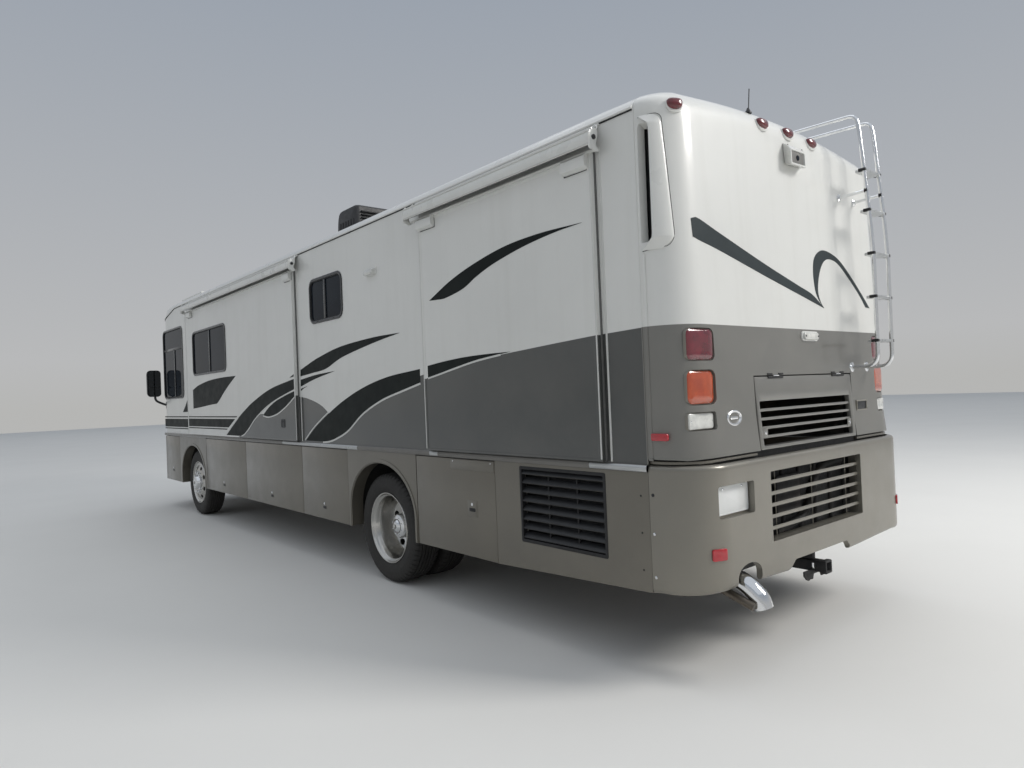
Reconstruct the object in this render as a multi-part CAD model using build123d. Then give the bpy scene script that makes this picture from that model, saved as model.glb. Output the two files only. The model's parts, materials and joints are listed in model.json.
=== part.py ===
from build123d import *
import os
import math

# Rear-engine motorhome with two slide-out rooms on its left side.
# Millimetres. X forward, Y left, Z up. Z = 0 is the ground, X = 0 and Y = 0 the middle of the bounding box.
# Heights of the sprung body are drawn RIDE lower than they stand; save() lifts them when the parts are written.

os.makedirs("parts", exist_ok=True)

# ---------------------------------------------------------------- driving dimensions
HALF_W = 1275.0          # half of the body width
WALL_T = 45.0            # thickness of walls, roof and caps
X_REAR = -5135.0         # rear face of the cap at the belt
X_REAR_TOP = -5052.0     # rear face of the cap at roof height
X_FRONT = 5230.0         # front face of the cap
X_FRONT_TOP = 5090.0     # front face at roof height
Z_RAKE = 1450.0          # height where the front face starts to lean back
R_REAR = 225.0           # plan radius of the rear corners
R_FRONT = 420.0          # plan radius of the front corners
R_ROOF_REAR = 150.0      # side-view radius, rear top corner
R_ROOF_FRONT = 700.0     # side-view radius, front top corner
R_EAVE = 90.0            # section radius where wall meets roof
Z_EAVE = 3112.0          # eave height before rounding
Z_CROWN = 3215.0         # roof height on the centre line
X_SEAM_R = -4858.0       # seam between side wall and rear cap
X_SEAM_F = 4962.0        # seam between side wall and front cap
Z_SKIRT = 382.0          # bottom edge of the skirts
Z_SKIRT_R = 436.0        # bottom edge at the rear seam
Z_SKIRT_F = 423.0        # bottom edge at the front seam
X_UPSWEEP = -3539.0      # skirts rise to the rear of here
Z_RAIL0, Z_RAIL1 = 1080.0, 1120.0   # belt rail
RAIL_PROUD = 12.0
Z_TRIM = 3040.0          # top of the side walls
GAP = 6.0                # gap round doors and hatches
PANEL_T = 36.0           # thickness of doors

WHEEL_X_F, WHEEL_X_R = 3480.0, -1953.0
TYRE_OD, TYRE_W, RIM_R = 929.0, 255.0, 298.0
WHEEL_Z = TYRE_OD / 2
TRACK_Y = 1090.0         # centre of the outer tyres
DUAL_STEP = 306.0        # distance between the twin tyres
KINGPIN_Y = 950.0
ARCH_F = (3500.0, 560.0, 965.0)     # centre X, half width, top Z of the front arch
ARCH_R = (-1960.0, 545.0, 990.0)

RIDE = 45.0              # ride height: everything on the springs stands this much above its drawn height
UNSPRUNG = ("front_axle", "rear_axle", "knuckle_left", "knuckle_right", "tie_rod", "front_left_tyre", "front_right_tyre", "front_left_rim",
            "front_right_rim", "rear_left_tyres", "rear_right_tyres", "rear_left_rims", "rear_right_rims")
RAIL_Y = 430.0           # chassis rails
FLOOR_Z0, FLOOR_Z1 = 1040.0, 1100.0

SLIDE_T = 35.0           # thickness of slide-room walls
SLIDE_DEPTH = 640.0      # depth of a slide room inside the coach
SLIDES = [  # name, X rear, X front, Z bottom, Z top
    dict(name="front", x0=-352.0, x1=3515.0, z0=1127.0, z1=2880.0),
    dict(name="rear", x0=-4570.0, x1=-2770.0, z0=1127.0, z1=2880.0),
]
FLANGE_LAP = 32.0        # how far the slide's face laps the wall
FACE_Y0, FACE_Y1 = 1282.0, 1314.0

WINDOWS = [  # side, X rear, X front, Z bottom, Z top, corner radius
    dict(side=1, x0=3834.0, x1=4912.0, z0=1663.0, z1=2729.0, r=90.0),
    dict(side=1, x0=-1388.0, x1=-698.0, z0=2301.0, z1=2719.0, r=80.0),
    dict(side=-1, x0=2750.0, x1=3800.0, z0=1850.0, z1=2640.0, r=80.0),
    dict(side=-1, x0=700.0, x1=2050.0, z0=1962.0, z1=2559.0, r=80.0),
    dict(side=-1, x0=-1388.0, x1=-698.0, z0=2301.0, z1=2719.0, r=80.0),
    dict(side=-1, x0=-3700.0, x1=-2700.0, z0=1962.0, z1=2559.0, r=80.0),
]
SLIDE_WINDOW = dict(x0=1775.0, x1=3171.0, z0=1962.0, z1=2559.0, r=80.0)

BAY_DOORS = [  # side, number, X rear, X front
    dict(side=1, n=1, x0=4155.0, x1=4962.0),
    dict(side=1, n=2, x0=1289.0, x1=2850.0),
    dict(side=1, n=3, x0=-360.0, x1=1289.0),
    dict(side=1, n=4, x0=-1374.0, x1=-360.0),
    dict(side=1, n=5, x0=-3539.0, x1=-2544.0),
    dict(side=-1, n=1, x0=1289.0, x1=2850.0),
    dict(side=-1, n=2, x0=-360.0, x1=1289.0),
    dict(side=-1, n=3, x0=-1374.0, x1=-360.0),
    dict(side=-1, n=4, x0=-3539.0, x1=-2544.0),
]
SKIRT_PANELS = [  # side, X rear, X front
    dict(side=1, x0=2850.0, x1=4155.0),
    dict(side=1, x0=-2544.0, x1=-1374.0),
    dict(side=1, x0=-4858.0, x1=-3539.0),
    dict(side=-1, x0=2850.0, x1=4142.0),
    dict(side=-1, x0=-2544.0, x1=-1374.0),
    dict(side=-1, x0=-4858.0, x1=-3539.0),
    dict(side=-1, x0=4868.0, x1=4962.0),
]
DOOR_X0, DOOR_X1, DOOR_Z0, DOOR_Z1 = 4148.0, 4862.0, 440.0, 2620.0   # entry door, right side
HATCH_Y, HATCH_Z0, HATCH_Z1 = 606.0, 1132.0, 1570.0
LOUVRE_Y, LOUVRE_Z0, LOUVRE_Z1 = 560.0, 1170.0, 1425.0
BUMPER_X, BUMPER_R = -5185.0, 262.0
BUMPER_Z1 = 1118.0
Z_CAP0 = 1150.0          # lower edge of the rear cap, above a recessed band
GRILLE_Y, GRILLE_Z0, GRILLE_Z1 = 560.0, 643.0, 1035.0
RAD_X0, RAD_X1, RAD_Z0, RAD_Z1 = -4537.0, -3807.0, 578.0, 1048.0
HITCH_SIZE, HITCH_BORE = 76.0, 51.0
HITCH_Z, HITCH_X0, HITCH_X1 = 386.0, -5195.0, -4700.0


# ---------------------------------------------------------------- helpers
def box(x0, x1, y0, y1, z0, z1):
    return Pos((x0 + x1) / 2, (y0 + y1) / 2, (z0 + z1) / 2) * Box(abs(x1 - x0), abs(y1 - y0), abs(z1 - z0))


def cyl_x(x0, x1, y, z, r):
    return Pos((x0 + x1) / 2, y, z) * Rot(0, 90, 0) * Cylinder(r, abs(x1 - x0))


def cyl_y(x, y0, y1, z, r):
    return Pos(x, (y0 + y1) / 2, z) * Rot(90, 0, 0) * Cylinder(r, abs(y1 - y0))


def cyl_z(x, y, z0, z1, r):
    return Pos(x, y, (z0 + z1) / 2) * Cylinder(r, abs(z1 - z0))


def side(y0, y1, s):
    return (y0, y1) if s > 0 else (-y1, -y0)


def rounded(x0, x1, z0, z1, r):
    sk = Pos((x0 + x1) / 2, (z0 + z1) / 2) * RectangleRounded(x1 - x0, z1 - z0, r)
    return Plane.XZ * sk


def window_prism(x0, x1, z0, z1, r, y0, y1):
    f = rounded(x0, x1, z0, z1, r)
    return Pos(0, y1, 0) * extrude(f, y1 - y0)


def tube(points, r):
    # round tube through points, built from straight runs with a ball at each joint
    out = None
    for a, b in zip(points[:-1], points[1:]):
        va, vb = Vector(*a), Vector(*b)
        d = vb - va
        c = extrude(Plane(origin=va, z_dir=d) * Circle(r), d.length)
        out = c if out is None else out + c
    for p in points[1:-1]:
        out = out + Pos(*p) * Sphere(r)
    return out


def plan_face(o, x_rear=X_REAR, r_rear=R_REAR, half_w=HALF_W):
    sk = Pos((X_FRONT + x_rear) / 2, 0) * Rectangle(X_FRONT - x_rear - 2 * o, 2 * half_w - 2 * o)
    vs = sk.vertices()
    sk = fillet([v for v in vs if v.X < 0], r_rear - o)
    sk = fillet([v for v in sk.vertices() if v.X > X_FRONT - o - 1], R_FRONT - o)
    return sk


def round_corner(a, p, b, r, n):
    """Points of an n-sided rounding of radius r at corner p between a and b, in the XZ plane."""
    def unit(u, v):
        d = math.hypot(v[0] - u[0], v[1] - u[1])
        return ((v[0] - u[0]) / d, (v[1] - u[1]) / d)
    d1, d2 = unit(p, a), unit(p, b)
    phi = math.acos(d1[0] * d2[0] + d1[1] * d2[1])
    t = r / math.tan(phi / 2)
    m = ((d1[0] + d2[0]) / 2, (d1[1] + d2[1]) / 2)
    ml = math.hypot(*m)
    c = (p[0] + m[0] / ml * r / math.sin(phi / 2), p[1] + m[1] / ml * r / math.sin(phi / 2))
    s0 = (p[0] + d1[0] * t, p[1] + d1[1] * t)
    s1 = (p[0] + d2[0] * t, p[1] + d2[1] * t)
    a0 = math.atan2(s0[1] - c[1], s0[0] - c[0])
    a1 = math.atan2(s1[1] - c[1], s1[0] - c[0])
    while a1 - a0 > math.pi:
        a1 -= 2 * math.pi
    while a0 - a1 > math.pi:
        a1 += 2 * math.pi
    return [(c[0] + r * math.cos(a0 + (a1 - a0) * i / n), c[1] + r * math.sin(a0 + (a1 - a0) * i / n)) for i in range(n + 1)]


def x_rear(z):
    return X_REAR + (X_REAR_TOP - X_REAR) * max(0.0, z - 1120) / (Z_CROWN + 6 - 1120)


def x_front(z):
    return X_FRONT + (X_FRONT_TOP - X_FRONT) * max(0.0, z - Z_RAKE) / (Z_CROWN + 6 - Z_RAKE)


def plan_at(z, o):
    xr, xf = x_rear(z) + o, x_front(z) - o
    sk = Pos((xf + xr) / 2, 0) * Rectangle(xf - xr, 2 * HALF_W - 2 * o)
    sk = fillet([v for v in sk.vertices() if v.X < 0], R_REAR - o)
    sk = fillet([v for v in sk.vertices() if v.X > xf - 1], R_FRONT - o)
    return Pos(0, 0, z) * sk


def body_solid(o):
    """The outer form of the coach, taken in by o."""
    plan = extrude(plan_at(200, o), 920)
    for za, zb in ((1120, Z_RAKE), (Z_RAKE, 3400)):
        plan = plan + loft([plan_at(za, o), plan_at(zb, o)], ruled=True)
    zt = Z_CROWN + 6 - o
    top_r, top_f = (x_rear(Z_CROWN + 6) + o, zt), (x_front(Z_CROWN + 6) - o, zt)
    back = round_corner((x_rear(1120) + o, 1120), top_r, (0, zt), R_ROOF_REAR - o, 2)
    brow = round_corner((0, zt), top_f, (X_FRONT - o, Z_RAKE), R_ROOF_FRONT - o, 9)
    prof = make_face(Polyline([back[2]] + brow + [(5400, brow[-1][1]), (5400, 200), (-5400, 200), (-5400, back[0][1]), back[0]])
                     + ThreePointArc(back[0], back[1], back[2]))
    prof = extrude(Plane.XZ * prof, 2000, both=True)
    hw = HALF_W - o
    sec = make_face(Polyline([(-hw, Z_EAVE - o), (-hw, 200), (hw, 200), (hw, Z_EAVE - o)])
                    + ThreePointArc((-hw, Z_EAVE - o), (0, Z_CROWN - o), (hw, Z_EAVE - o)))
    sec = fillet([v for v in sec.vertices() if v.Y > 3000], R_EAVE - o)
    sec = extrude(Plane.YZ * sec, 6000, both=True)
    return plan & prof & sec


def save(shape, name):
    if name not in UNSPRUNG:
        moved = [Pos(0, 0, RIDE) * q for q in shape.solids()]
        shape = moved[0] if len(moved) == 1 else Compound(children=moved)
    export_step(shape, "parts/" + name + ".step")
    bb = shape.bounding_box()
    print("%-20s solids %d  X %8.1f %8.1f  Y %8.1f %8.1f  Z %8.1f %8.1f" % (
        name, len(shape.solids()), bb.min.X, bb.max.X, bb.min.Y, bb.max.Y, bb.min.Z, bb.max.Z))


def bottom_z(x):
    # bottom edge of the skirts along the length
    if x < X_UPSWEEP:
        return Z_SKIRT + (Z_SKIRT_R - Z_SKIRT) * (X_UPSWEEP - x) / (X_UPSWEEP - X_SEAM_R)
    if x > 4155:
        return Z_SKIRT + (Z_SKIRT_F - Z_SKIRT) * (x - 4155) / (X_SEAM_F - 4155)
    return Z_SKIRT


def side_panel(x0, x1, y0, y1, z1):
    # flat panel whose lower edge follows the skirt line
    pts = [(x0, bottom_z(x0)), (x1, bottom_z(x1)), (x1, z1), (x0, z1), (x0, bottom_z(x0))]
    return Pos(0, y1, 0) * extrude(Plane.XZ * make_face(Polyline(pts)), y1 - y0)


def arch_prism(arch, y0, y1, grow=0.0):
    cx, hw, top = arch
    hw, top = hw + grow, top + grow
    h = 430.0
    pts_top = Ellipse(hw, h + grow)
    sk = Pos(cx, top - h - grow) * pts_top
    sk = sk + Pos(cx, (top - h - grow) / 2 - 100) * Rectangle(2 * hw, top - h - grow + 200)
    return Pos(0, y1, 0) * extrude(Plane.XZ * sk, y1 - y0)


outer = body_solid(0)
inner = body_solid(WALL_T)
skin = outer - inner

# ---------------------------------------------------------------- walls, roof, caps
roof_zone = extrude(Plane.XZ * make_face(Polyline([(X_SEAM_R, Z_TRIM), (4200, Z_TRIM), (X_SEAM_F, 2890), (X_SEAM_F, 3400), (X_SEAM_R, 3400), (X_SEAM_R, Z_TRIM)])), 1400, both=True)
roof = (outer & roof_zone) - inner
walls = {}
for s in (1, -1):
    y0, y1 = side(HALF_W - WALL_T, HALF_W, s)
    w = box(X_SEAM_R, X_SEAM_F, y0, y1, Z_RAIL0, Z_TRIM)
    w = (w & outer) - roof_zone
    ya, yb = side(1100, 1400, s)
    for q in WINDOWS:
        if q["side"] == s:
            w = w - window_prism(q["x0"], q["x1"], q["z0"], q["z1"], q["r"], ya, yb)
    if s > 0:
        for q in SLIDES:
            w = w - box(q["x0"] + FLANGE_LAP, q["x1"] - FLANGE_LAP, ya, yb, Z_RAIL0 + 38, q["z1"] - FLANGE_LAP)
    else:
        w = w - box(DOOR_X0 - GAP, DOOR_X1 + GAP, ya, yb, 300, DOOR_Z1 + GAP)
    walls[s] = w

front_cap = skin & box(X_SEAM_F, 5400, -1400, 1400, Z_SKIRT_F + 20, 3400)
shield_box = box(5000, 5400, -1120, 1120, 1500, 2760)
front_cap = front_cap - shield_box
windshield = (body_solid(8) - body_solid(20)) & box(5000, 5400, -1112, 1112, 1508, 2752)
windshield = windshield - box(5000, 5400, -18, 18, 1400, 2800)
# bumper bar low on the front cap
front_bar = extrude(Pos(0, 0, 470) * (plan_face(-18) - plan_face(2)), 330) & box(5000, 5400, -1400, 1400, 400, 900)
front_bar = front_bar & box(5000, X_FRONT + 75, -1400, 1400, 400, 900)
front_cap = front_cap + front_bar
front_cap = front_cap + box(X_FRONT - 5, 5305, -620, 620, 500, 620)

rear_cap = skin & box(-5400, X_SEAM_R, -1400, 1400, Z_CAP0, 3400)
rear_cap = rear_cap + ((body_solid(22) - inner) & box(-5400, X_SEAM_R, -1400, 1400, BUMPER_Z1, Z_CAP0 + 1))
rear_cap = rear_cap - box(-5400, -4950, -HATCH_Y - GAP, HATCH_Y + GAP, 1000, HATCH_Z1 + GAP)
for s in (1, -1):
    scoop = (body_solid(-36) - body_solid(10)) & box(-5250, -4880, *side(1060, 1400, s), 2258, 2990)
    rear_cap = rear_cap + scoop
# camera housing under the middle marker lamp
rear_cap = rear_cap + box(-5160, -5040, -240, 60, 2920, 3045)

# ---------------------------------------------------------------- rear bumper
bo = extrude(Pos(0, 0, 400) * plan_face(0, BUMPER_X, BUMPER_R, HALF_W + 4), BUMPER_Z1 - 400)
bo = fillet(bo.edges().group_by(Axis.Z)[-1], 16)
bi = extrude(Pos(0, 0, 300) * plan_face(38, BUMPER_X, BUMPER_R, HALF_W + 4), 1000)
rear_bumper = (bo - bi) & box(-5400, X_SEAM_R - 2, -1400, 1400, 300, 1400)
under = make_face(Polyline([(1400, 468), (1400, 200), (-1400, 200), (-1400, 468)]) + ThreePointArc((-1400, 468), (0, 438), (1400, 468)))
rear_bumper = rear_bumper - extrude(Plane.YZ * under, 6000, both=True)
rear_bumper = rear_bumper - box(-5400, -4900, -GRILLE_Y, GRILLE_Y, GRILLE_Z0, GRILLE_Z1)
slat_n = 7
for i in range(slat_n):
    z = GRILLE_Z0 + (i + 0.5) * (GRILLE_Z1 - GRILLE_Z0) / slat_n
    rear_bumper = rear_bumper + Pos(-5160, 0, z) * Rot(0, 28, 0) * Box(44, 2 * GRILLE_Y + 10, 14)
pipe_cut = Pos(858, 400) * Rectangle(233, 210) + Pos(858, 505) * Ellipse(116.5, 68)
rear_bumper = rear_bumper - Pos(-5400, 0, 0) * extrude(Plane.YZ * pipe_cut, 500)
hitch_cut = make_face(Polyline([(452, 300), (452, 442), (372, 502), (-276, 502), (-316, 459), (-316, 300), (452, 300)]))
rear_bumper = rear_bumper - Pos(-5400, 0, 0) * extrude(Plane.YZ * hitch_cut, 500)
PLATE_Y = 945.0
rear_bumper = rear_bumper - box(-5400, BUMPER_X + 24, PLATE_Y - 160, PLATE_Y + 160, 835, 1007)
for dy in (-88.9, 88.9):
    rear_bumper = rear_bumper - cyl_x(-5300, -5000, PLATE_Y + dy, 985, 3.5)

# ---------------------------------------------------------------- skirts
skirts = {1: None, -1: None}
for q in SKIRT_PANELS:
    s = q["side"]
    y0, y1 = side(HALF_W - WALL_T, HALF_W, s)
    p = side_panel(q["x0"] + 2, q["x1"] - 2, y0, y1, Z_RAIL0 - 2)
    for a in (ARCH_F, ARCH_R):
        if q["x0"] < a[0] < q["x1"]:
            ya, yb = side(1100, 1400, s)
            p = p - arch_prism(a, ya, yb)
            yc, yd = side(HALF_W - 120, HALF_W + 6, s)
            ring = arch_prism(a, yc, yd, 26.0) - arch_prism(a, yc - 5, yd + 5, 0.0)
            ring = ring & box(q["x0"] + 2, q["x1"] - 2, -1400, 1400, Z_SKIRT, 1070)
            p = p + ring
    if s > 0 and q["x0"] < -4000:
        p = p - box(RAD_X0, RAD_X1, 1100, 1400, RAD_Z0, RAD_Z1)
        n = 8
        for i in range(n):
            z = RAD_Z0 + (i + 0.5) * (RAD_Z1 - RAD_Z0) / n
            p = p + Pos((RAD_X0 + RAD_X1) / 2, HALF_W - 24, z) * Rot(-28, 0, 0) * Box(RAD_X1 - RAD_X0 + 8, 40, 12)
    skirts[s] = p if skirts[s] is None else skirts[s] + p

belt = None
for s in (1, -1):
    y0, y1 = side(HALF_W, HALF_W + RAIL_PROUD, s)
    b = box(X_SEAM_R + 2, X_SEAM_F - 2, y0, y1, Z_RAIL0 + 2, Z_RAIL1)
    if s < 0:
        b = b - box(DOOR_X0 - GAP, DOOR_X1 + GAP, -1400, -1200, 1000, 1200)
    belt = b if belt is None else belt + b

# ---------------------------------------------------------------- glass
glass = []
for q in WINDOWS:
    s = q["side"]
    ya, yb = side(HALF_W - 30, HALF_W - 18, s)
    yc, yd = side(HALF_W - 30, HALF_W + 7, s)
    pane = window_prism(q["x0"] + 2, q["x1"] - 2, q["z0"] + 2, q["z1"] - 2, q["r"] - 2, ya, yb)
    ring = window_prism(q["x0"] + 2, q["x1"] - 2, q["z0"] + 2, q["z1"] - 2, q["r"] - 2, yc, yd)
    ring = ring - window_prism(q["x0"] + 30, q["x1"] - 30, q["z0"] + 30, q["z1"] - 30, q["r"] - 30, yc - 5, yd + 5)
    glass.append(pane + ring)
side_windows = Compound(children=[g.solids()[0] for g in glass])

# ---------------------------------------------------------------- slide rooms
rooms, toppers = {}, {}
for q in SLIDES:
    x0, x1, z0, z1 = q["x0"], q["x1"], q["z0"], q["z1"]
    bx0, bx1 = x0 + FLANGE_LAP + 8, x1 - FLANGE_LAP - 8
    bz0, bz1 = z0 + 2, z1 - FLANGE_LAP - 8
    yin = FACE_Y1 - SLIDE_DEPTH
    shell = box(bx0, bx1, yin, FACE_Y0 + 1, bz0, bz1) - box(bx0 + SLIDE_T, bx1 - SLIDE_T, yin - 10, FACE_Y0 - 5, bz0 + SLIDE_T, bz1 - SLIDE_T)
    face = box(x0, x1, FACE_Y0, FACE_Y1, z0, z1)
    r = shell + face
    if q["name"] == "front":
        w = SLIDE_WINDOW
        r = r - window_prism(w["x0"], w["x1"], w["z0"], w["z1"], w["r"], 1200, 1400)
        pane = window_prism(w["x0"] + 2, w["x1"] - 2, w["z0"] + 2, w["z1"] - 2, w["r"] - 2, FACE_Y1 - 26, FACE_Y1 - 14)
        ring = window_prism(w["x0"] + 2, w["x1"] - 2, w["z0"] + 2, w["z1"] - 2, w["r"] - 2, FACE_Y1 - 30, FACE_Y1 + 7)
        ring = ring - window_prism(w["x0"] + 30, w["x1"] - 30, w["z0"] + 30, w["z1"] - 30, w["r"] - 30, FACE_Y1 - 40, FACE_Y1 + 20)
        slide_window = pane + ring
    rooms[q["name"]] = r
    # roller of the rain cover above the room
    tz = 2930.0
    hx = (x0 - 110, x1 - 60) if q["name"] == "front" else (x0 - 60, x1 + 90)
    hood = cyl_x(hx[0], hx[1], FACE_Y1 + 40, tz, 38)
    hood = hood + box(hx[0], hx[1], FACE_Y1 + 0.5, FACE_Y1 + 40, tz - 10, tz + 50)
    arms = box(x0 + 60, x0 + 100, FACE_Y1, FACE_Y1 + 36, 2840, tz) + box(x1 - 100, x1 - 60, FACE_Y1, FACE_Y1 + 36, 2840, tz)
    toppers[q["name"]] = hood + arms

# ---------------------------------------------------------------- doors
doors = {}
for q in BAY_DOORS:
    s = q["side"]
    y0, y1 = side(HALF_W - PANEL_T, HALF_W, s)
    d = side_panel(q["x0"] + GAP / 2, q["x1"] - GAP / 2, y0, y1, Z_RAIL0 - GAP)
    doors[(s, q["n"])] = d
y0, y1 = -HALF_W, -HALF_W + WALL_T
entry_door = box(DOOR_X0, DOOR_X1, y0, y1, DOOR_Z0, DOOR_Z1)
entry_door = entry_door - window_prism(DOOR_X0 + 110, DOOR_X1 - 110, 1700, 2450, 60, -1300, -HALF_W + 12)
entry_door = entry_door + box(DOOR_X0 + 40, DOOR_X0 + 70, -HALF_W - 32, -HALF_W, 1350, 1550)

zr = HATCH_Z1
hx0 = X_REAR + 2
engine_hatch = (body_solid(0) - body_solid(30)) & box(-5400, -4950, -HATCH_Y, HATCH_Y, HATCH_Z0, HATCH_Z1)
engine_hatch = engine_hatch - box(-5400, -4950, -LOUVRE_Y, LOUVRE_Y, LOUVRE_Z0, LOUVRE_Z1)
for i in range(6):
    z = LOUVRE_Z0 + (i + 0.5) * (LOUVRE_Z1 - LOUVRE_Z0) / 6
    engine_hatch = engine_hatch + Pos(-5112, 0, z) * Rot(0, 28, 0) * Box(30, 2 * LOUVRE_Y + 8, 10)

# ---------------------------------------------------------------- chassis
def gather(solids):
    return Compound(children=[q for p in solids for q in p.solids()])


rails = []
for s in (1, -1):
    y0, y1 = side(RAIL_Y - 40, RAIL_Y + 40, s)
    r = box(-4700, 4750, y0, y1, 660, 900)
    rails.append(r - box(-4800, 4800, *side(RAIL_Y - 60, RAIL_Y + 32, s), 668, 892))
chassis_rails = gather(rails)
cross = []
for x in (-4600, -3400, -2700, -1300, -300, 700, 1700, 2700, 4000, 4700):
    cross.append(box(x - 40, x + 40, -RAIL_Y + 40, RAIL_Y - 40, 700, 780))
for x, yr in ((-4650, -1180), (-3440, -1180), (-2500, -1180), (-1300, -1180), (-300, -1180), (700, -1180), (1700, -1180),
              (2700, -1180), (4050, -1180), (4700, -700)):
    cross.append(box(x - 30, x + 30, yr, 1180, 900, FLOOR_Z0))
chassis_crossmembers = gather(cross)

# floor plates with the stair well left out at the entry door, and the raised deck over the engine
inner_fit = body_solid(WALL_T + 2)
coach_floor = gather([p & inner_fit for p in (
    box(-3640, DOOR_X0 - 30, -1228, 1228, FLOOR_Z0, FLOOR_Z1),
    box(DOOR_X0 - 30, 4900, -740, 1228, FLOOR_Z0, FLOOR_Z1),
    box(-4700, -3640, 600, 1228, FLOOR_Z0, FLOOR_Z1),
    box(-5050, -3640, -1228, 560, 1630, 1670),
    box(-3640, -3600, -1228, 560, FLOOR_Z1, 1670),
    box(-4700, -3640, 560, 600, FLOOR_Z0, 1670),
)])
entry_steps = gather([
    box(DOOR_X0 - 25, DOOR_X1 + 30, -1225, -985, 560, 590),
    box(DOOR_X0 - 25, DOOR_X1 + 30, -985, -960, 560, 800),
    box(DOOR_X0 - 25, DOOR_X1 + 30, -985, -742, 800, 830),
    box(DOOR_X0 - 25, DOOR_X1 + 30, -767, -742, 830, FLOOR_Z0),
])

basements = {}
for s in (1, -1):
    t = []
    for x0, x1 in [(-1374.0, 2850.0), (-3539.0, -2544.0)]:
        y0, y1 = side(545, 1205, s)
        t += [box(x0 + 20, x1 - 20, y0, y1, 430, 455), box(x0 + 20, x1 - 20, *side(520, 545, s), 430, 890)]
        cuts = [x0 + 20, x1 - 45]
        if x0 > -2000:
            cuts += [-372.0, 1277.0]
        for c in cuts:
            t.append(box(c, c + 25, y0, y1, 455, 890))
    basements[s] = gather(t)

engine = box(-4550, -3490, -340, 340, 480, 690) + box(-4550, -3680, -340, 340, 690, 1000) + box(-4500, -3680, -300, 300, 990, 1300)
radiator = box(RAD_X0 + 10, RAD_X1 - 10, 1010, 1160, RAD_Z0 - 40, 1030)
fuel_tank = box(1750, 2650, -350, 350, 430, 640)
exhaust_pipe = tube([(-3700, 420, 560), (-4300, 700, 500), (-4800, 850, 490)], 42)
exhaust_pipe = exhaust_pipe + tube([(-4790, 850, 490), (-5080, 862, 484), (-5165, 860, 445), (-5246, 847, 366)], 54) \
    - tube([(-5079, 862, 484), (-5165, 860, 445), (-5246, 847, 366), (-5320, 835, 294)], 49)
hitch = box(HITCH_X0, HITCH_X1, -HITCH_SIZE / 2, HITCH_SIZE / 2, HITCH_Z - HITCH_SIZE / 2, HITCH_Z + HITCH_SIZE / 2)
hitch = hitch + box(-4790, -4700, -480, 480, HITCH_Z - 30, HITCH_Z + 50) + box(-4790, -4700, 400, 480, HITCH_Z, 664) + box(-4790, -4700, -480, -400, HITCH_Z, 664)
hitch = hitch - box(HITCH_X0 - 10, -4850, -HITCH_BORE / 2, HITCH_BORE / 2, HITCH_Z - HITCH_BORE / 2, HITCH_Z + HITCH_BORE / 2)
HITCH_PIN_X = HITCH_X0 + 65
hitch = hitch - cyl_y(HITCH_PIN_X, -60, 60, HITCH_Z, 8)

# ---------------------------------------------------------------- axles and steering
front_axle = box(WHEEL_X_F - 45, WHEEL_X_F + 45, -770, 770, WHEEL_Z - 130, WHEEL_Z - 50)
for s in (1, -1):
    front_axle = front_axle + box(WHEEL_X_F - 60, WHEEL_X_F + 60, *side(380, 480, s), WHEEL_Z - 60, 655 + RIDE)
    front_axle = front_axle + box(WHEEL_X_F - 38, WHEEL_X_F + 38, *side(765, 800, s), WHEEL_Z - 130, WHEEL_Z + 100)
    for za, zb in ((WHEEL_Z + 62, WHEEL_Z + 100), (WHEEL_Z - 130, WHEEL_Z - 97)):
        front_axle = front_axle + cyl_z(WHEEL_X_F, s * KINGPIN_Y, za, zb, 38) + box(WHEEL_X_F - 38, WHEEL_X_F + 38, *side(799, KINGPIN_Y, s), za, zb)

rear_axle = cyl_y(WHEEL_X_R, -TRACK_Y - 35, TRACK_Y + 35, WHEEL_Z, 62)
rear_axle = rear_axle + Pos(WHEEL_X_R, 0, WHEEL_Z) * Sphere(190) + cyl_x(WHEEL_X_R - 330, WHEEL_X_R, 0, WHEEL_Z, 70)
for s in (1, -1):
    rear_axle = rear_axle + box(WHEEL_X_R - 60, WHEEL_X_R + 60, *side(390, 470, s), WHEEL_Z, 655 + RIDE)

ARM_X, ARM_Y = WHEEL_X_F - 240, KINGPIN_Y - 75
knuckles = {}
for s in (1, -1):
    k = cyl_z(WHEEL_X_F, s * KINGPIN_Y, WHEEL_Z - 90, WHEEL_Z + 55, 34)
    k = k + cyl_y(WHEEL_X_F, *side(KINGPIN_Y, KINGPIN_Y + 185, s), WHEEL_Z, 40)
    # steering arm to the rear
    k = k + tube([(WHEEL_X_F, s * KINGPIN_Y, WHEEL_Z - 70), (ARM_X, s * ARM_Y, WHEEL_Z - 70)], 15)
    k = k + cyl_z(ARM_X, s * ARM_Y, WHEEL_Z - 86, WHEEL_Z - 54, 26)
    knuckles[s] = k
tie_rod = cyl_y(ARM_X, -ARM_Y + 30, ARM_Y, WHEEL_Z - 115, 16) + cyl_z(ARM_X, ARM_Y, WHEEL_Z - 135, WHEEL_Z - 92, 26)
tie_rod = tie_rod + cyl_y(ARM_X, -ARM_Y, -ARM_Y + 40, WHEEL_Z - 115, 16)


def revolve_y(points, yc):
    # points are (offset along the axle from yc, radius)
    f = make_face(Polyline(points + [points[0]]))
    # local x -> Y, local y -> Z, turned about the Y axis through the wheel centre
    f = Plane.YZ * f
    return Pos(0, yc, 0) * revolve(f, Axis.Y, 360)


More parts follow.
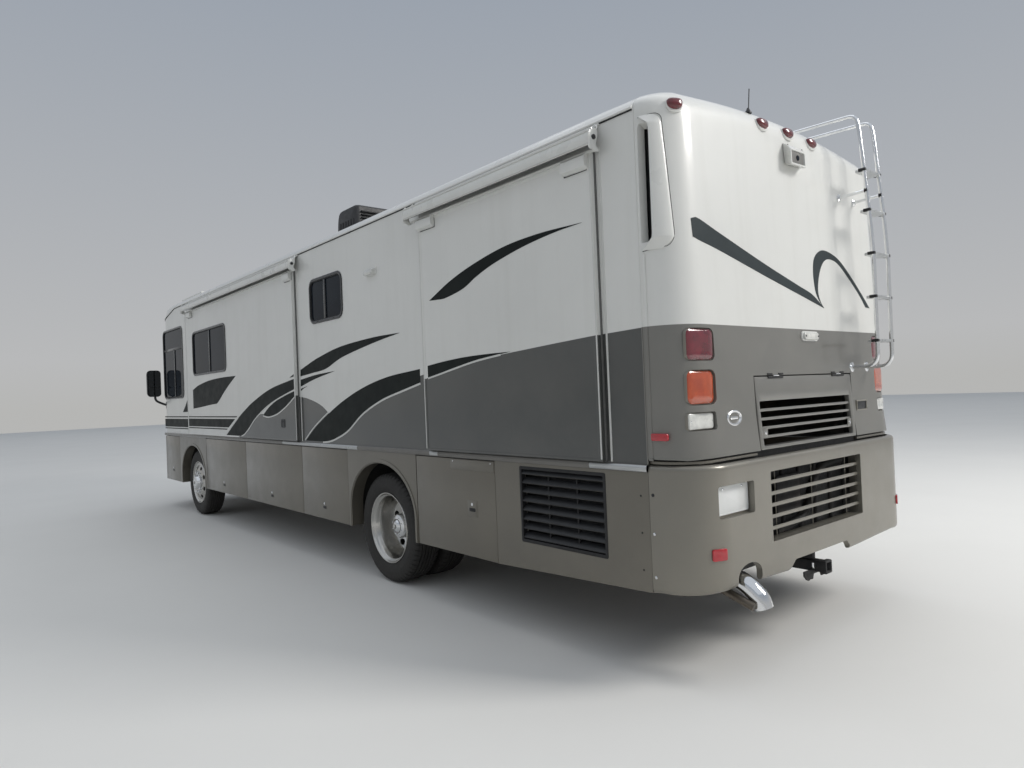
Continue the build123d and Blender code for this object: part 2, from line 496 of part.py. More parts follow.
def tyre(xc, yc, s):
    h, ro = TYRE_W / 2, TYRE_OD / 2
    pts = [(-h + 28, RIM_R + 1), (-h + 8, RIM_R + 18), (-h, RIM_R + 85), (-h + 6, ro - 45), (-h + 28, ro - 12), (-h + 62, ro),
           (h - 62, ro), (h - 28, ro - 12), (h - 6, ro - 45), (h, RIM_R + 85), (h - 8, RIM_R + 18), (h - 28, RIM_R + 1),
           (h - 40, RIM_R + 8), (-h + 40, RIM_R + 8)]
    return Pos(xc, 0, WHEEL_Z) * revolve_y(pts, yc)


def rim(xc, yc, s, disc, hub, bore=60):
    # disc: offset of the wheel disc from the middle plane, positive is outboard
    h = TYRE_W / 2 - 32
    pts = [(-h, RIM_R - 1), (-h, RIM_R - 22), (-h + 40, RIM_R - 30), (h - 40, RIM_R - 30), (h, RIM_R - 22), (h, RIM_R - 1),
           (h - 10, RIM_R - 10), (-h + 10, RIM_R - 10)]
    r = revolve_y(pts, yc)
    d = s * disc
    disc_pts = [(d - 8, bore), (d - 8, RIM_R - 40), (d, RIM_R - 25), (d + 8, RIM_R - 40), (d + 8, bore)]
    r = r + revolve_y(disc_pts, yc)
    if hub:
        a, b = sorted((s * hub[0], s * hub[1]))
        r = r + revolve_y([(a, 46), (a, 105), (b, 90), (b, 46)] if s > 0 else [(a, 46), (a, 90), (b, 105), (b, 46)], yc)
    return Pos(xc, 0, WHEEL_Z) * r


wheels = {}
for s, nm in ((1, "left"), (-1, "right")):
    wheels["front_%s_tyre" % nm] = tyre(WHEEL_X_F, s * TRACK_Y, s)
    wheels["front_%s_rim" % nm] = rim(WHEEL_X_F, s * TRACK_Y, s, 60, (-40, 105))
    t2 = tyre(WHEEL_X_R, s * TRACK_Y, s)
    t1 = tyre(WHEEL_X_R, s * (TRACK_Y - DUAL_STEP), s)
    wheels["rear_%s_tyres" % nm] = Compound(children=t2.solids() + t1.solids())
    r2 = rim(WHEEL_X_R, s * TRACK_Y, s, -140, None, 68)
    r1 = rim(WHEEL_X_R, s * (TRACK_Y - DUAL_STEP), s, 150, None, 68)
    hubr = Pos(WHEEL_X_R, 0, WHEEL_Z) * revolve_y([(-180, 68), (-180, 130), (45, 108), (45, 68)] if s > 0 else [(-45, 68), (-45, 108), (180, 130), (180, 68)], s * TRACK_Y)
    wheels["rear_%s_rims" % nm] = r2 + r1 + hubr

# ---------------------------------------------------------------- cab
dashboard = box(4560, 4960, -700, 1180, 1105, 1700) - box(4500, 4800, 350, 950, 1000, 1500)
seats = None
for y in (650.0, -420.0):
    st = box(3650, 4150, y - 260, y + 260, 1450, 1570) + box(3560, 3680, y - 250, y + 250, 1500, 2250) + box(3780, 4020, y - 130, y + 130, 1100, 1460)
    seats = st if seats is None else seats + st
SW_POS = (4430.0, 650.0, 1700.0)
SW_TILT = 50.0
sw = Torus(215, 16) + Cylinder(50, 40) + Box(400, 40, 14) + Pos(0, -100, 0) * Box(40, 200, 14)
steering_wheel = Pos(*SW_POS) * Rot(0, -SW_TILT, 0) * sw

# ---------------------------------------------------------------- outside equipment
roof_eq = [
    Pos(0, 700, 0) * extrude(Plane.XZ * make_face(Polyline([(-660, 3196), (-165, 3196), (-170, 3250), (-190, 3483), (-247, 3600), (-660, 3600), (-660, 3196)])), 680) - outer,
    box(480, 760, 420, 700, 3190, 3300) - outer,
    box(-3200, -2840, -180, 180, 3190, 3300) - outer,
    cyl_z(-4995, 350, 3150, 3330, 5) - outer,
]
rt = tube([(3560, 1040, 3215), (4560, 1040, 3215)], 20) + (box(3640, 3680, 1020, 1060, 3100, 3215) - outer) + (box(4440, 4480, 1020, 1060, 3080, 3215) - outer)
roof_eq.append(rt)
roof_equipment = Compound(children=[q for p in roof_eq for q in p.solids()])

LAD_X, LAD_Y0, LAD_Y1, LAD_R = -5292.0, -640.0, -868.0, 13.0
lad = None
def rail_x(z):
    """X of the leaning ladder rails at height z."""
    pts = [(1600, -5280), (2350, LAD_X), (2620, -5278), (3200, -5230), (3318, -5214)]
    for (z0, x0), (z1, x1) in zip(pts, pts[1:]):
        if z <= z1:
            return x0 + (x1 - x0) * (z - z0) / (z1 - z0)
    return pts[-1][1]


for y in (LAD_Y0, LAD_Y1):
    t = tube([(-5080, y, 1615), (rail_x(1615), y, 1615), (rail_x(2350), y, 2350), (rail_x(2620), y, 2620), (rail_x(3200), y, 3200),
              (rail_x(3318), y, 3318), (-4660, y, 3338), (-4470, y, 3170)], LAD_R)
    lad = t if lad is None else lad + t
for z in (1785, 2080, 2370, 2662, 2938):
    lad = lad + box(rail_x(z) - 8, rail_x(z) + 62, LAD_Y1 - 6, LAD_Y0 + 6, z - 12, z + 12)
for y in (LAD_Y0, LAD_Y1):
    lad = lad + tube([(-5040, y, 2785), (rail_x(2785), y, 2785)], 10)
ladder = lad - outer

mir = []
for s in (1, -1):
    head = box(4960, 5080, *side(1315, 1520, s), 1700, 2125)
    arm = tube([(5020, s * 1330, 1760), (5020, s * 1330, 1600), (5060, s * 1190, 1560)], 18)
    arm = arm - outer
    mir.append(head + arm)
mirrors = Compound(children=[q for p in mir for q in p.solids()])

LAMPS = [  # Y centre, Z low, Z high, half width
    dict(y=1082.0, z0=1664.0, z1=1837.0, h=122.0),
    dict(y=1096.0, z0=1430.0, z1=1615.0, h=112.0),
    dict(y=1107.0, z0=1299.0, z1=1393.0, h=112.0),
]
lam = []
shell_out = body_solid(-14) - body_solid(0)
for s in (1, -1):
    for q in LAMPS:
        y0, y1 = side(q["y"] - q["h"], q["y"] + q["h"], s)
        lam.append(shell_out & box(-5250, -4900, y0, y1, q["z0"], q["z1"]))
for y, z in ((-302.0, 3100.0), (0.0, 3104.0), (302.0, 3100.0), (-1140.0, 3015.0), (1140.0, 3015.0)):
    lam.append(shell_out & box(-5250, -4960, y - 42, y + 42, z - 22, z + 22))
rear_lamps = Compound(children=[max(p.solids(), key=lambda v: v.volume) for p in lam])

fl = []
shell_f = body_solid(-12) - body_solid(0)
for s in (1, -1):
    fl.append(shell_f & box(5000, 5400, *side(700, 1060, s), 900, 1120))
front_lamps = Compound(children=[max(p.solids(), key=lambda v: v.volume) for p in fl])

awn = cyl_x(-1400, 3300, -HALF_W - 60, 2960, 50) + box(-1400, 3300, -HALF_W - 60, -HALF_W, 2950, 3010)
patio_awning = awn

# ---------------------------------------------------------------- export
out = {
    "chassis_rails": chassis_rails, "chassis_crossmembers": chassis_crossmembers, "coach_floor": coach_floor, "entry_steps": entry_steps, "left_basement": basements[1], "right_basement": basements[-1],
    "engine": engine, "radiator": radiator, "fuel_tank": fuel_tank, "exhaust_pipe": exhaust_pipe, "hitch_receiver": hitch,
    "left_wall": walls[1], "right_wall": walls[-1], "roof": roof, "front_cap": front_cap, "rear_cap": rear_cap,
    "rear_bumper": rear_bumper, "left_skirt": skirts[1], "right_skirt": skirts[-1], "belt_rails": belt,
    "windshield": windshield, "side_windows": side_windows, "roof_equipment": roof_equipment, "ladder": ladder,
    "mirrors": mirrors, "rear_lamps": rear_lamps, "front_lamps": front_lamps, "dashboard": dashboard, "cab_seats": seats,
    "patio_awning": patio_awning, "front_axle": front_axle, "rear_axle": rear_axle,
    "knuckle_left": knuckles[1], "knuckle_right": knuckles[-1], "tie_rod": tie_rod, "steering_wheel": steering_wheel,
    "entry_door": entry_door, "engine_hatch": engine_hatch,
    "front_slide_room": rooms["front"], "front_slide_window": slide_window, "front_slide_topper": toppers["front"],
    "rear_slide_room": rooms["rear"], "rear_slide_topper": toppers["rear"],
}
out.update(wheels)
for (s, n), d in doors.items():
    out["%s_bay_door_%d" % ("left" if s > 0 else "right", n)] = d
for k, v in out.items():
    save(v, k)
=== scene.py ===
import bpy, bmesh, math, json, random
import numpy as np
from mathutils import Vector, Matrix

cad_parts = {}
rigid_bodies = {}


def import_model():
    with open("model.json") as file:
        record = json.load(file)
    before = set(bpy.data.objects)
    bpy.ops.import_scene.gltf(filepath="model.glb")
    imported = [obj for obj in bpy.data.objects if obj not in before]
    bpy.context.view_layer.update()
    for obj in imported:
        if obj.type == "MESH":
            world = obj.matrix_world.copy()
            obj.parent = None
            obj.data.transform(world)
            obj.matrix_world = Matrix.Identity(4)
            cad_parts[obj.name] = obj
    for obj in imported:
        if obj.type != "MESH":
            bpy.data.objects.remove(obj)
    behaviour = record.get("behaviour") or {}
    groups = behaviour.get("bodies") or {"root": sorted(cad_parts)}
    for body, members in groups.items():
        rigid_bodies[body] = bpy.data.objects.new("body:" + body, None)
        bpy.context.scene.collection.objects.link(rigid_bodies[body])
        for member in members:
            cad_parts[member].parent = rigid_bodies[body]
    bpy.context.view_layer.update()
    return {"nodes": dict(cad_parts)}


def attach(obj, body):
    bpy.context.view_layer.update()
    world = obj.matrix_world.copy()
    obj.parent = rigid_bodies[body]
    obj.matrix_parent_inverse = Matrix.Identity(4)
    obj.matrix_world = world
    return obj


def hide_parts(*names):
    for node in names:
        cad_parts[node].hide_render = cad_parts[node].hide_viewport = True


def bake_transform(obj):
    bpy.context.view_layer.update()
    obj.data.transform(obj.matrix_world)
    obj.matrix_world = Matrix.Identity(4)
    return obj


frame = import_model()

N = frame["nodes"]
random.seed(7)
rng = np.random.default_rng(7)

# Rear-engine motorhome. Metres, X forward, Y left, Z up.

# ------------------------------------------------------------------ materials
RIDE = 0.045    # the sprung body is built this much lower and lifted at the end


def _node(nt, kind, **kw):
    n = nt.nodes.new(kind)
    for k, v in kw.items():
        setattr(n, k, v)
    return n


def _noise(nt, vec, scale, detail=4.0, rough=0.55, stretch=None):
    src = vec
    if stretch:
        mp = _node(nt, "ShaderNodeMapping")
        mp.inputs["Scale"].default_value = stretch
        nt.links.new(vec, mp.inputs["Vector"])
        src = mp.outputs["Vector"]
    n = _node(nt, "ShaderNodeTexNoise")
    n.inputs["Scale"].default_value = scale
    n.inputs["Detail"].default_value = detail
    n.inputs["Roughness"].default_value = rough
    nt.links.new(src, n.inputs["Vector"])
    return n.outputs["Fac"]


def _range(nt, val, a, b, c, d):
    m = _node(nt, "ShaderNodeMapRange")
    m.inputs["From Min"].default_value = a
    m.inputs["From Max"].default_value = b
    m.inputs["To Min"].default_value = c
    m.inputs["To Max"].default_value = d
    nt.links.new(val, m.inputs["Value"])
    return m.outputs["Result"]


def _mixc(nt, fac, a, b):
    m = _node(nt, "ShaderNodeMix", data_type="RGBA")
    for sock, v in ((m.inputs[0], fac), (m.inputs[6], a), (m.inputs[7], b)):
        if isinstance(v, (int, float)):
            sock.default_value = v
        elif isinstance(v, tuple):
            sock.default_value = (v[0], v[1], v[2], 1.0)
        else:
            nt.links.new(v, sock)
    return m.outputs[2]


def _math(nt, op, a, b=None):
    m = _node(nt, "ShaderNodeMath", operation=op)
    for i, v in enumerate((a, b)):
        if v is None:
            continue
        if isinstance(v, (int, float)):
            m.inputs[i].default_value = v
        else:
            nt.links.new(v, m.inputs[i])
    return m.outputs[0]


def M(name, col, rough=0.5, metal=0.0, coat=0.0, coat_rough=0.06, spec=0.5, var=0.05, vscale=3.0, rvar=0.06,
      bump=0.0, bscale=60.0, bdist=0.001, stretch=None, dirt=0.0, dirt_col=(0.30, 0.26, 0.20), dirt_z=(0.35, 1.1),
      col2=None, col2_scale=20.0, col2_amt=0.5, sheen=0.0, trans=0.0, ior=1.45, alpha=1.0, emit=0.0, fleck=0.0, streak=0.0):
    m = bpy.data.materials.new(name)
    m.use_nodes = True
    nt = m.node_tree
    bs = nt.nodes["Principled BSDF"]
    tc = _node(nt, "ShaderNodeTexCoord")
    vec = tc.outputs["Object"]
    hi = tuple(min(1.0, c * (1 + var)) for c in col)
    lo = tuple(c * (1 - var) for c in col)
    c = _mixc(nt, _range(nt, _noise(nt, vec, vscale), 0.3, 0.7, 0, 1), lo, hi)
    if col2:
        f = _range(nt, _noise(nt, vec, col2_scale, 6.0, 0.6, stretch), 0.42, 0.62, 0, col2_amt)
        c = _mixc(nt, f, c, tuple(col2))
    if streak:
        f = _range(nt, _noise(nt, vec, 1.0, 5.0, 0.6, (9.0, 9.0, 0.7)), 0.45, 0.75, 0, streak)
        c = _mixc(nt, f, c, tuple(x * 0.72 for x in col))
    if fleck:
        f = _range(nt, _noise(nt, vec, 900.0, 2.0, 0.7), 0.35, 0.65, -fleck, fleck)
        br = _node(nt, "ShaderNodeBrightContrast")
        nt.links.new(c, br.inputs["Color"])
        nt.links.new(f, br.inputs["Bright"])
        c = br.outputs["Color"]
    if dirt:
        sp = _node(nt, "ShaderNodeSeparateXYZ")
        nt.links.new(vec, sp.inputs["Vector"])
        g = _range(nt, sp.outputs["Z"], dirt_z[0] + RIDE, dirt_z[1] + RIDE, 1.0, 0.15)
        d = _math(nt, "MULTIPLY", _math(nt, "MULTIPLY", g, dirt), _range(nt, _noise(nt, vec, 2.2, 6.0, 0.65), 0.35, 0.7, 0.25, 1.0))
        c = _mixc(nt, d, c, dirt_col)
    nt.links.new(c, bs.inputs["Base Color"])
    r = _range(nt, _noise(nt, vec, vscale * 3.1, 5.0), 0.3, 0.7, max(0.02, rough - rvar), min(1.0, rough + rvar))
    nt.links.new(r, bs.inputs["Roughness"])
    bs.inputs["Metallic"].default_value = metal
    bs.inputs["Coat Weight"].default_value = coat
    bs.inputs["Coat Roughness"].default_value = coat_rough
    bs.inputs["Specular IOR Level"].default_value = spec
    bs.inputs["Sheen Weight"].default_value = sheen
    bs.inputs["Transmission Weight"].default_value = trans
    bs.inputs["IOR"].default_value = ior
    bs.inputs["Alpha"].default_value = alpha
    if emit:
        bs.inputs["Emission Color"].default_value = (col[0], col[1], col[2], 1)
        bs.inputs["Emission Strength"].default_value = emit
    if bump:
        b = _node(nt, "ShaderNodeBump")
        b.inputs["Strength"].default_value = bump
        b.inputs["Distance"].default_value = bdist
        nt.links.new(_noise(nt, vec, bscale, 5.0, 0.6, stretch), b.inputs["Height"])
        nt.links.new(b.outputs["Normal"], bs.inputs["Normal"])
    return m


LIGHT = (0.70, 0.70, 0.67)
CHAR = (0.070, 0.073, 0.071)
# one pewter paint in two copies: this colour is darkened with painted shade, as on the shaded sides; the rear carries a
# lighter copy with painted light
PEWTER_SHADED = (0.150, 0.138, 0.113)


def catmull(pts, n):
    """Points along a smooth curve through pts."""
    p = np.array(pts, float)
    if len(p) == 2:
        t = np.linspace(0, 1, n)[:, None]
        return p[0] * (1 - t) + p[1] * t
    p = np.vstack([2 * p[0] - p[1], p, 2 * p[-1] - p[-2]])
    out = []
    for i in range(1, len(p) - 2):
        t = np.linspace(0, 1, 40, endpoint=False)[:, None]
        a, b, c, d = p[i - 1], p[i], p[i + 1], p[i + 2]
        out.append(0.5 * ((2 * b) + (-a + c) * t + (2 * a - 5 * b + 4 * c - d) * t ** 2 + (-a + 3 * b - 3 * c + d) * t ** 3))
    out.append(p[-2][None])
    q = np.vstack(out)
    s = np.concatenate([[0], np.cumsum(np.linalg.norm(np.diff(q, axis=0), axis=1))])
    u = np.linspace(0, s[-1], n)
    return np.stack([np.interp(u, s, q[:, k]) for k in range(q.shape[1])], 1)


def two_tone(name, bound, dirt=0.10, dark=CHAR):
    """Coach paint, light above and charcoal below a line given as (X, Z) points."""
    m = bpy.data.materials.new(name)
    m.use_nodes = True
    nt = m.node_tree
    bs = nt.nodes["Principled BSDF"]
    tc = _node(nt, "ShaderNodeTexCoord")
    vec = tc.outputs["Object"]
    sp = _node(nt, "ShaderNodeSeparateXYZ")
    nt.links.new(vec, sp.inputs["Vector"])
    if len(bound) == 1:
        zb = bound[0][1] + RIDE
        d = _math(nt, "SUBTRACT", sp.outputs["Z"], zb)
    else:
        b = sorted(bound)
        x0, x1 = b[0][0], b[-1][0]
        fc = _node(nt, "ShaderNodeFloatCurve")
        cu = fc.mapping.curves[0]
        while len(cu.points) < len(b):
            cu.points.new(0.5, 0.5)
        for pt, (x, z) in zip(cu.points, b):
            pt.location = ((x - x0) / (x1 - x0), (z + RIDE) / 3.6)
            pt.handle_type = "VECTOR"
        fc.mapping.update()
        nt.links.new(_range(nt, sp.outputs["X"], x0, x1, 0, 1), fc.inputs["Value"])
        d = _math(nt, "SUBTRACT", sp.outputs["Z"], _math(nt, "MULTIPLY", fc.outputs["Value"], 3.6))
    mask = _range(nt, d, -0.0006, 0.0006, 0, 1)
    cloud = _range(nt, _noise(nt, vec, 1.3, 5.0), 0.3, 0.7, 0, 1)
    light = _mixc(nt, cloud, tuple(c * 0.965 for c in LIGHT), tuple(min(1, c * 1.025) for c in LIGHT))
    f = _range(nt, _noise(nt, vec, 1.0, 5.0, 0.6, (7.0, 7.0, 0.5)), 0.5, 0.8, 0, 0.25)
    light = _mixc(nt, f, light, (0.55, 0.545, 0.50))
    char = _mixc(nt, cloud, tuple(c * 0.93 for c in dark), tuple(c * 1.07 for c in dark))
    fl = _range(nt, _noise(nt, vec, 1400.0, 2.0, 0.7), 0.35, 0.65, -0.012, 0.012)
    br = _node(nt, "ShaderNodeBrightContrast")
    nt.links.new(char, br.inputs["Color"])
    nt.links.new(fl, br.inputs["Bright"])
    c = _mixc(nt, mask, br.outputs["Color"], light)
    g = _range(nt, sp.outputs["Z"], 1.0, 2.6, 1.0, 0.1)
    dd = _math(nt, "MULTIPLY", _math(nt, "MULTIPLY", g, dirt), _range(nt, _noise(nt, vec, 2.5, 6.0, 0.65), 0.4, 0.7, 0.2, 1.0))
    c = _mixc(nt, dd, c, (0.34, 0.31, 0.26))
    nt.links.new(c, bs.inputs["Base Color"])
    nt.links.new(_range(nt, mask, 0, 1, 0.42, 0.0), bs.inputs["Metallic"])
    nt.links.new(_range(nt, _noise(nt, vec, 5.0, 5.0), 0.3, 0.7, 0.30, 0.42), bs.inputs["Roughness"])
    bs.inputs["Coat Weight"].default_value = 0.7
    bs.inputs["Coat Roughness"].default_value = 0.12
    b = _node(nt, "ShaderNodeBump")
    b.inputs["Strength"].default_value = 0.06
    b.inputs["Distance"].default_value = 0.0006
    nt.links.new(_noise(nt, vec, 130.0, 3.0), b.inputs["Height"])
    nt.links.new(b.outputs["Normal"], bs.inputs["Normal"])
    return m


# lower edge of the light paint, by side and slide-out
B_FSLIDE = [(3.6, 1.0), (1.46, 1.0), (1.40, 1.135), (1.174, 1.178), (0.878, 1.330), (0.70, 1.405), (0.585, 1.412), (0.50, 1.378),
            (0.356, 1.380), (0.158, 1.405), (-0.008, 1.458), (-0.17, 1.52), (-0.325, 1.585), (-0.36, 1.600)]
B_MID = [(-0.30, 1.590), (-0.391, 1.580), (-0.52, 1.566), (-0.668, 1.539), (-0.80, 1.507), (-0.902, 1.473), (-1.013, 1.416), (-1.07, 1.38),
         (-1.20, 1.33), (-1.45, 1.41), (-1.706, 1.52), (-2.049, 1.605), (-2.393, 1.66), (-2.647, 1.695), (-2.80, 1.715)]
B_RSLIDE = [(-2.75, 1.660), (-2.825, 1.672), (-3.0, 1.70), (-3.169, 1.724), (-3.43, 1.762), (-3.6, 1.782), (-3.799, 1.795), (-4.194, 1.820), (-4.51, 1.838), (-4.60, 1.842)]
B_WALL = [(5.2, 1.0), (3.4, 1.0), (-0.25, 1.59)] + B_MID[1:] + [(-2.9, 1.70), (-4.40, 1.838), (-4.473, 1.842), (-4.849, 1.856), (-5.2, 1.86)]
B_RIGHT = [(5.2, 1.0), (1.46, 1.0)] + B_FSLIDE[2:] + B_MID[2:] + [(-3.169, 1.724), (-3.43, 1.762), (-3.799, 1.795), (-4.194, 1.820), (-4.51, 1.838), (-4.849, 1.856), (-5.2, 1.86)]

m_fslide = two_tone("paint_front_slide", B_FSLIDE)
m_rslide = two_tone("paint_rear_slide", B_RSLIDE)
m_lwall = two_tone("paint_left_wall", B_WALL)
m_rwall = two_tone("paint_right_wall", B_RIGHT)
# the lower tone of the rear cap is the pewter paint in its lighter copy, with painted light
m_cap = two_tone("paint_rear_cap", [(0, 1.858)], dark=(0.190, 0.186, 0.170))
m_fcap = two_tone("paint_front_cap", [(0, 1.0)])
m_white = M("paint_white", LIGHT, 0.30, coat=0.6, coat_rough=0.12, var=0.03, vscale=1.5, streak=0.12, bump=0.05, bscale=140, bdist=0.0006)
m_roof = M("roof_membrane", (0.74, 0.74, 0.71), 0.55, var=0.05, vscale=2.0, col2=(0.52, 0.50, 0.45), col2_scale=3.0, col2_amt=0.35, bump=0.15, bscale=90, bdist=0.001)
m_line = M("stripe_light", (0.60, 0.60, 0.57), 0.38, coat=0.5, var=0.04, vscale=6)
m_black = M("stripe_black", (0.007, 0.010, 0.0095), 0.46, spec=0.14, var=0.25, vscale=2.5, col2=(0.012, 0.016, 0.014), col2_scale=2.0, col2_amt=0.5)
m_slate = M("stripe_slate", (0.034, 0.043, 0.046), 0.46, spec=0.16, var=0.10, vscale=3)
# the first pewter material is the darker copy with painted shade, for sides, skirts and front; the second is the
# lighter copy with painted light, for the rear bumper, hatch and cap fittings
m_pewter_shaded = M("pewter_paint", PEWTER_SHADED, 0.36, metal=0.45, coat=0.6, coat_rough=0.16, var=0.05, vscale=1.6, fleck=0.010, dirt=0.35, dirt_col=(0.25, 0.225, 0.18), dirt_z=(0.38, 1.05), bump=0.05, bscale=120, bdist=0.0006)
m_pewter_lit = M("pewter_rear", (0.215, 0.202, 0.172), 0.36, metal=0.45, coat=0.5, coat_rough=0.14, var=0.05, vscale=1.6, fleck=0.010, dirt=0.22, dirt_col=(0.31, 0.28, 0.22), dirt_z=(0.40, 1.1), bump=0.05, bscale=120, bdist=0.0006)
m_alu = M("trim_aluminium", (0.52, 0.53, 0.53), 0.34, metal=0.85, var=0.06, vscale=8, rvar=0.10, bump=0.10, bscale=30, bdist=0.0005, stretch=(2, 60, 60))
m_railgrey = M("trim_grey", (0.16, 0.155, 0.145), 0.38, metal=0.35, coat=0.3, var=0.06, vscale=6, dirt=0.2, dirt_z=(1.0, 1.2))
m_bright = M("bright_alloy", (0.78, 0.79, 0.80), 0.16, metal=1.0, var=0.04, vscale=12, rvar=0.07, bump=0.05, bscale=80, bdist=0.0004)
m_alloy = M("polished_alloy", (0.52, 0.51, 0.485), 0.22, metal=1.0, var=0.05, vscale=4, rvar=0.05, dirt=0.12, dirt_col=(0.26, 0.23, 0.19), dirt_z=(0.1, 0.9), bump=0.012, bscale=40, bdist=0.0003)
m_mirror = M("mirror_glass", (0.13, 0.14, 0.15), 0.05, metal=1.0, var=0.06, vscale=5, rvar=0.03, dirt=0.15, dirt_col=(0.3, 0.28, 0.25), dirt_z=(1.6, 2.3))
m_chrome = M("chrome", (0.80, 0.81, 0.82), 0.09, metal=1.0, var=0.04, vscale=10, rvar=0.05, dirt=0.20, dirt_col=(0.25, 0.22, 0.18), dirt_z=(0.1, 0.9), bump=0.04, bscale=40, bdist=0.0005)
m_blk = M("black_rubber", (0.014, 0.014, 0.015), 0.55, var=0.2, vscale=12, bump=0.2, bscale=220, bdist=0.0005)
m_rubgrey = M("seal_grey", (0.13, 0.13, 0.125), 0.6, var=0.12, vscale=10, bump=0.15, bscale=200, bdist=0.0004)
m_blkgloss = M("black_frame", (0.010, 0.011, 0.013), 0.26, coat=0.4, var=0.15, vscale=8, rvar=0.08, bump=0.03, bscale=160, bdist=0.0004)
m_plastic = M("black_plastic", (0.022, 0.023, 0.025), 0.45, var=0.15, vscale=9, bump=0.18, bscale=300, bdist=0.0004)
m_glass = M("dark_glass", (0.006, 0.010, 0.016), 0.05, spec=0.10, var=0.25, vscale=1.5, rvar=0.02, alpha=1.0, col2=(0.020, 0.026, 0.034), col2_scale=0.8, col2_amt=0.6)
m_tyre = M("tyre_rubber", (0.022, 0.021, 0.020), 0.72, var=0.18, vscale=14, bump=0.30, bscale=180, bdist=0.0008, dirt=0.40, dirt_col=(0.060, 0.055, 0.047), dirt_z=(-0.1, 1.2))
m_under = M("chassis_black", (0.018, 0.018, 0.018), 0.62, var=0.25, vscale=7, bump=0.3, bscale=60, bdist=0.001, col2=(0.055, 0.048, 0.040), col2_scale=5.0, col2_amt=0.5)
m_liner = M("arch_liner", (0.014, 0.014, 0.014), 0.85, var=0.2, vscale=8, bump=0.3, bscale=45, bdist=0.002, col2=(0.04, 0.036, 0.03), col2_scale=4.0, col2_amt=0.4)
m_cast = M("cast_steel", (0.07, 0.065, 0.06), 0.65, metal=0.5, var=0.2, vscale=12, bump=0.4, bscale=90, bdist=0.001, col2=(0.14, 0.075, 0.04), col2_scale=14, col2_amt=0.45)
m_brown = M("stained_pipe", (0.15, 0.13, 0.105), 0.38, metal=0.8, var=0.12, vscale=14, rvar=0.10, bump=0.12, bscale=50, bdist=0.0006, col2=(0.09, 0.075, 0.06), col2_scale=12, col2_amt=0.6)
m_bay = M("bay_lining", (0.17, 0.17, 0.17), 0.85, var=0.1, vscale=10, bump=0.5, bscale=380, bdist=0.001, sheen=0.1)
m_floor = M("floor_vinyl", (0.30, 0.22, 0.15), 0.5, var=0.12, vscale=3, col2=(0.20, 0.14, 0.09), col2_scale=6, col2_amt=0.6, stretch=(1, 8, 8), bump=0.08, bscale=40, bdist=0.0006)
m_interior = M("interior_panel", (0.48, 0.45, 0.39), 0.6, var=0.05, vscale=4, bump=0.08, bscale=150, bdist=0.0005)
m_red = M("lens_red", (0.115, 0.007, 0.016), 0.12, coat=1.0, coat_rough=0.04, spec=0.7, var=0.18, vscale=18, col2=(0.20, 0.013, 0.024), col2_scale=9, col2_amt=0.5, bump=0.25, bscale=110, bdist=0.0012)
m_mark = M("lens_marker", (0.12, 0.008, 0.012), 0.2, coat=1.0, coat_rough=0.06, var=0.15, vscale=30, bump=0.2, bscale=260, bdist=0.0008)
m_reflex = M("lens_reflector", (0.42, 0.012, 0.022), 0.14, coat=1.0, var=0.12, vscale=50, bump=0.4, bscale=420, bdist=0.0008)
m_amber = M("lens_amber", (0.44, 0.068, 0.015), 0.12, coat=1.0, coat_rough=0.04, spec=0.7, var=0.2, vscale=14, col2=(0.30, 0.036, 0.010), col2_scale=8, col2_amt=0.6, bump=0.25, bscale=110, bdist=0.0012)
m_clear = M("lens_clear", (0.66, 0.66, 0.62), 0.12, coat=1.0, coat_rough=0.04, spec=0.8, var=0.12, vscale=14, col2=(0.48, 0.48, 0.46), col2_scale=22, col2_amt=0.5, bump=0.3, bscale=170, bdist=0.0015)
m_fabric = M("cover_fabric", (0.62, 0.62, 0.60), 0.75, var=0.05, vscale=9, bump=0.35, bscale=520, bdist=0.0006, sheen=0.15, streak=0.15)
m_seat = M("seat_leather", (0.36, 0.30, 0.225), 0.48, var=0.08, vscale=6, bump=0.35, bscale=230, bdist=0.0012, sheen=0.05, col2=(0.27, 0.22, 0.165), col2_scale=5, col2_amt=0.4)
m_stitch = M("seat_stitch", (0.16, 0.13, 0.10), 0.7, var=0.1, vscale=60, bump=0.4, bscale=900, bdist=0.0006)
m_dash = M("dash_plastic", (0.09, 0.088, 0.085), 0.55, var=0.08, vscale=5, bump=0.3, bscale=420, bdist=0.0006)
m_plate = M("plate_white", (0.72, 0.73, 0.72), 0.35, metal=0.1, coat=0.3, var=0.03, vscale=9, bump=0.05, bscale=60, bdist=0.0004)
m_core = M("radiator_core", (0.035, 0.035, 0.036), 0.55, metal=0.6, var=0.2, vscale=30, bump=0.8, bscale=260, bdist=0.002, stretch=(1, 1, 8))


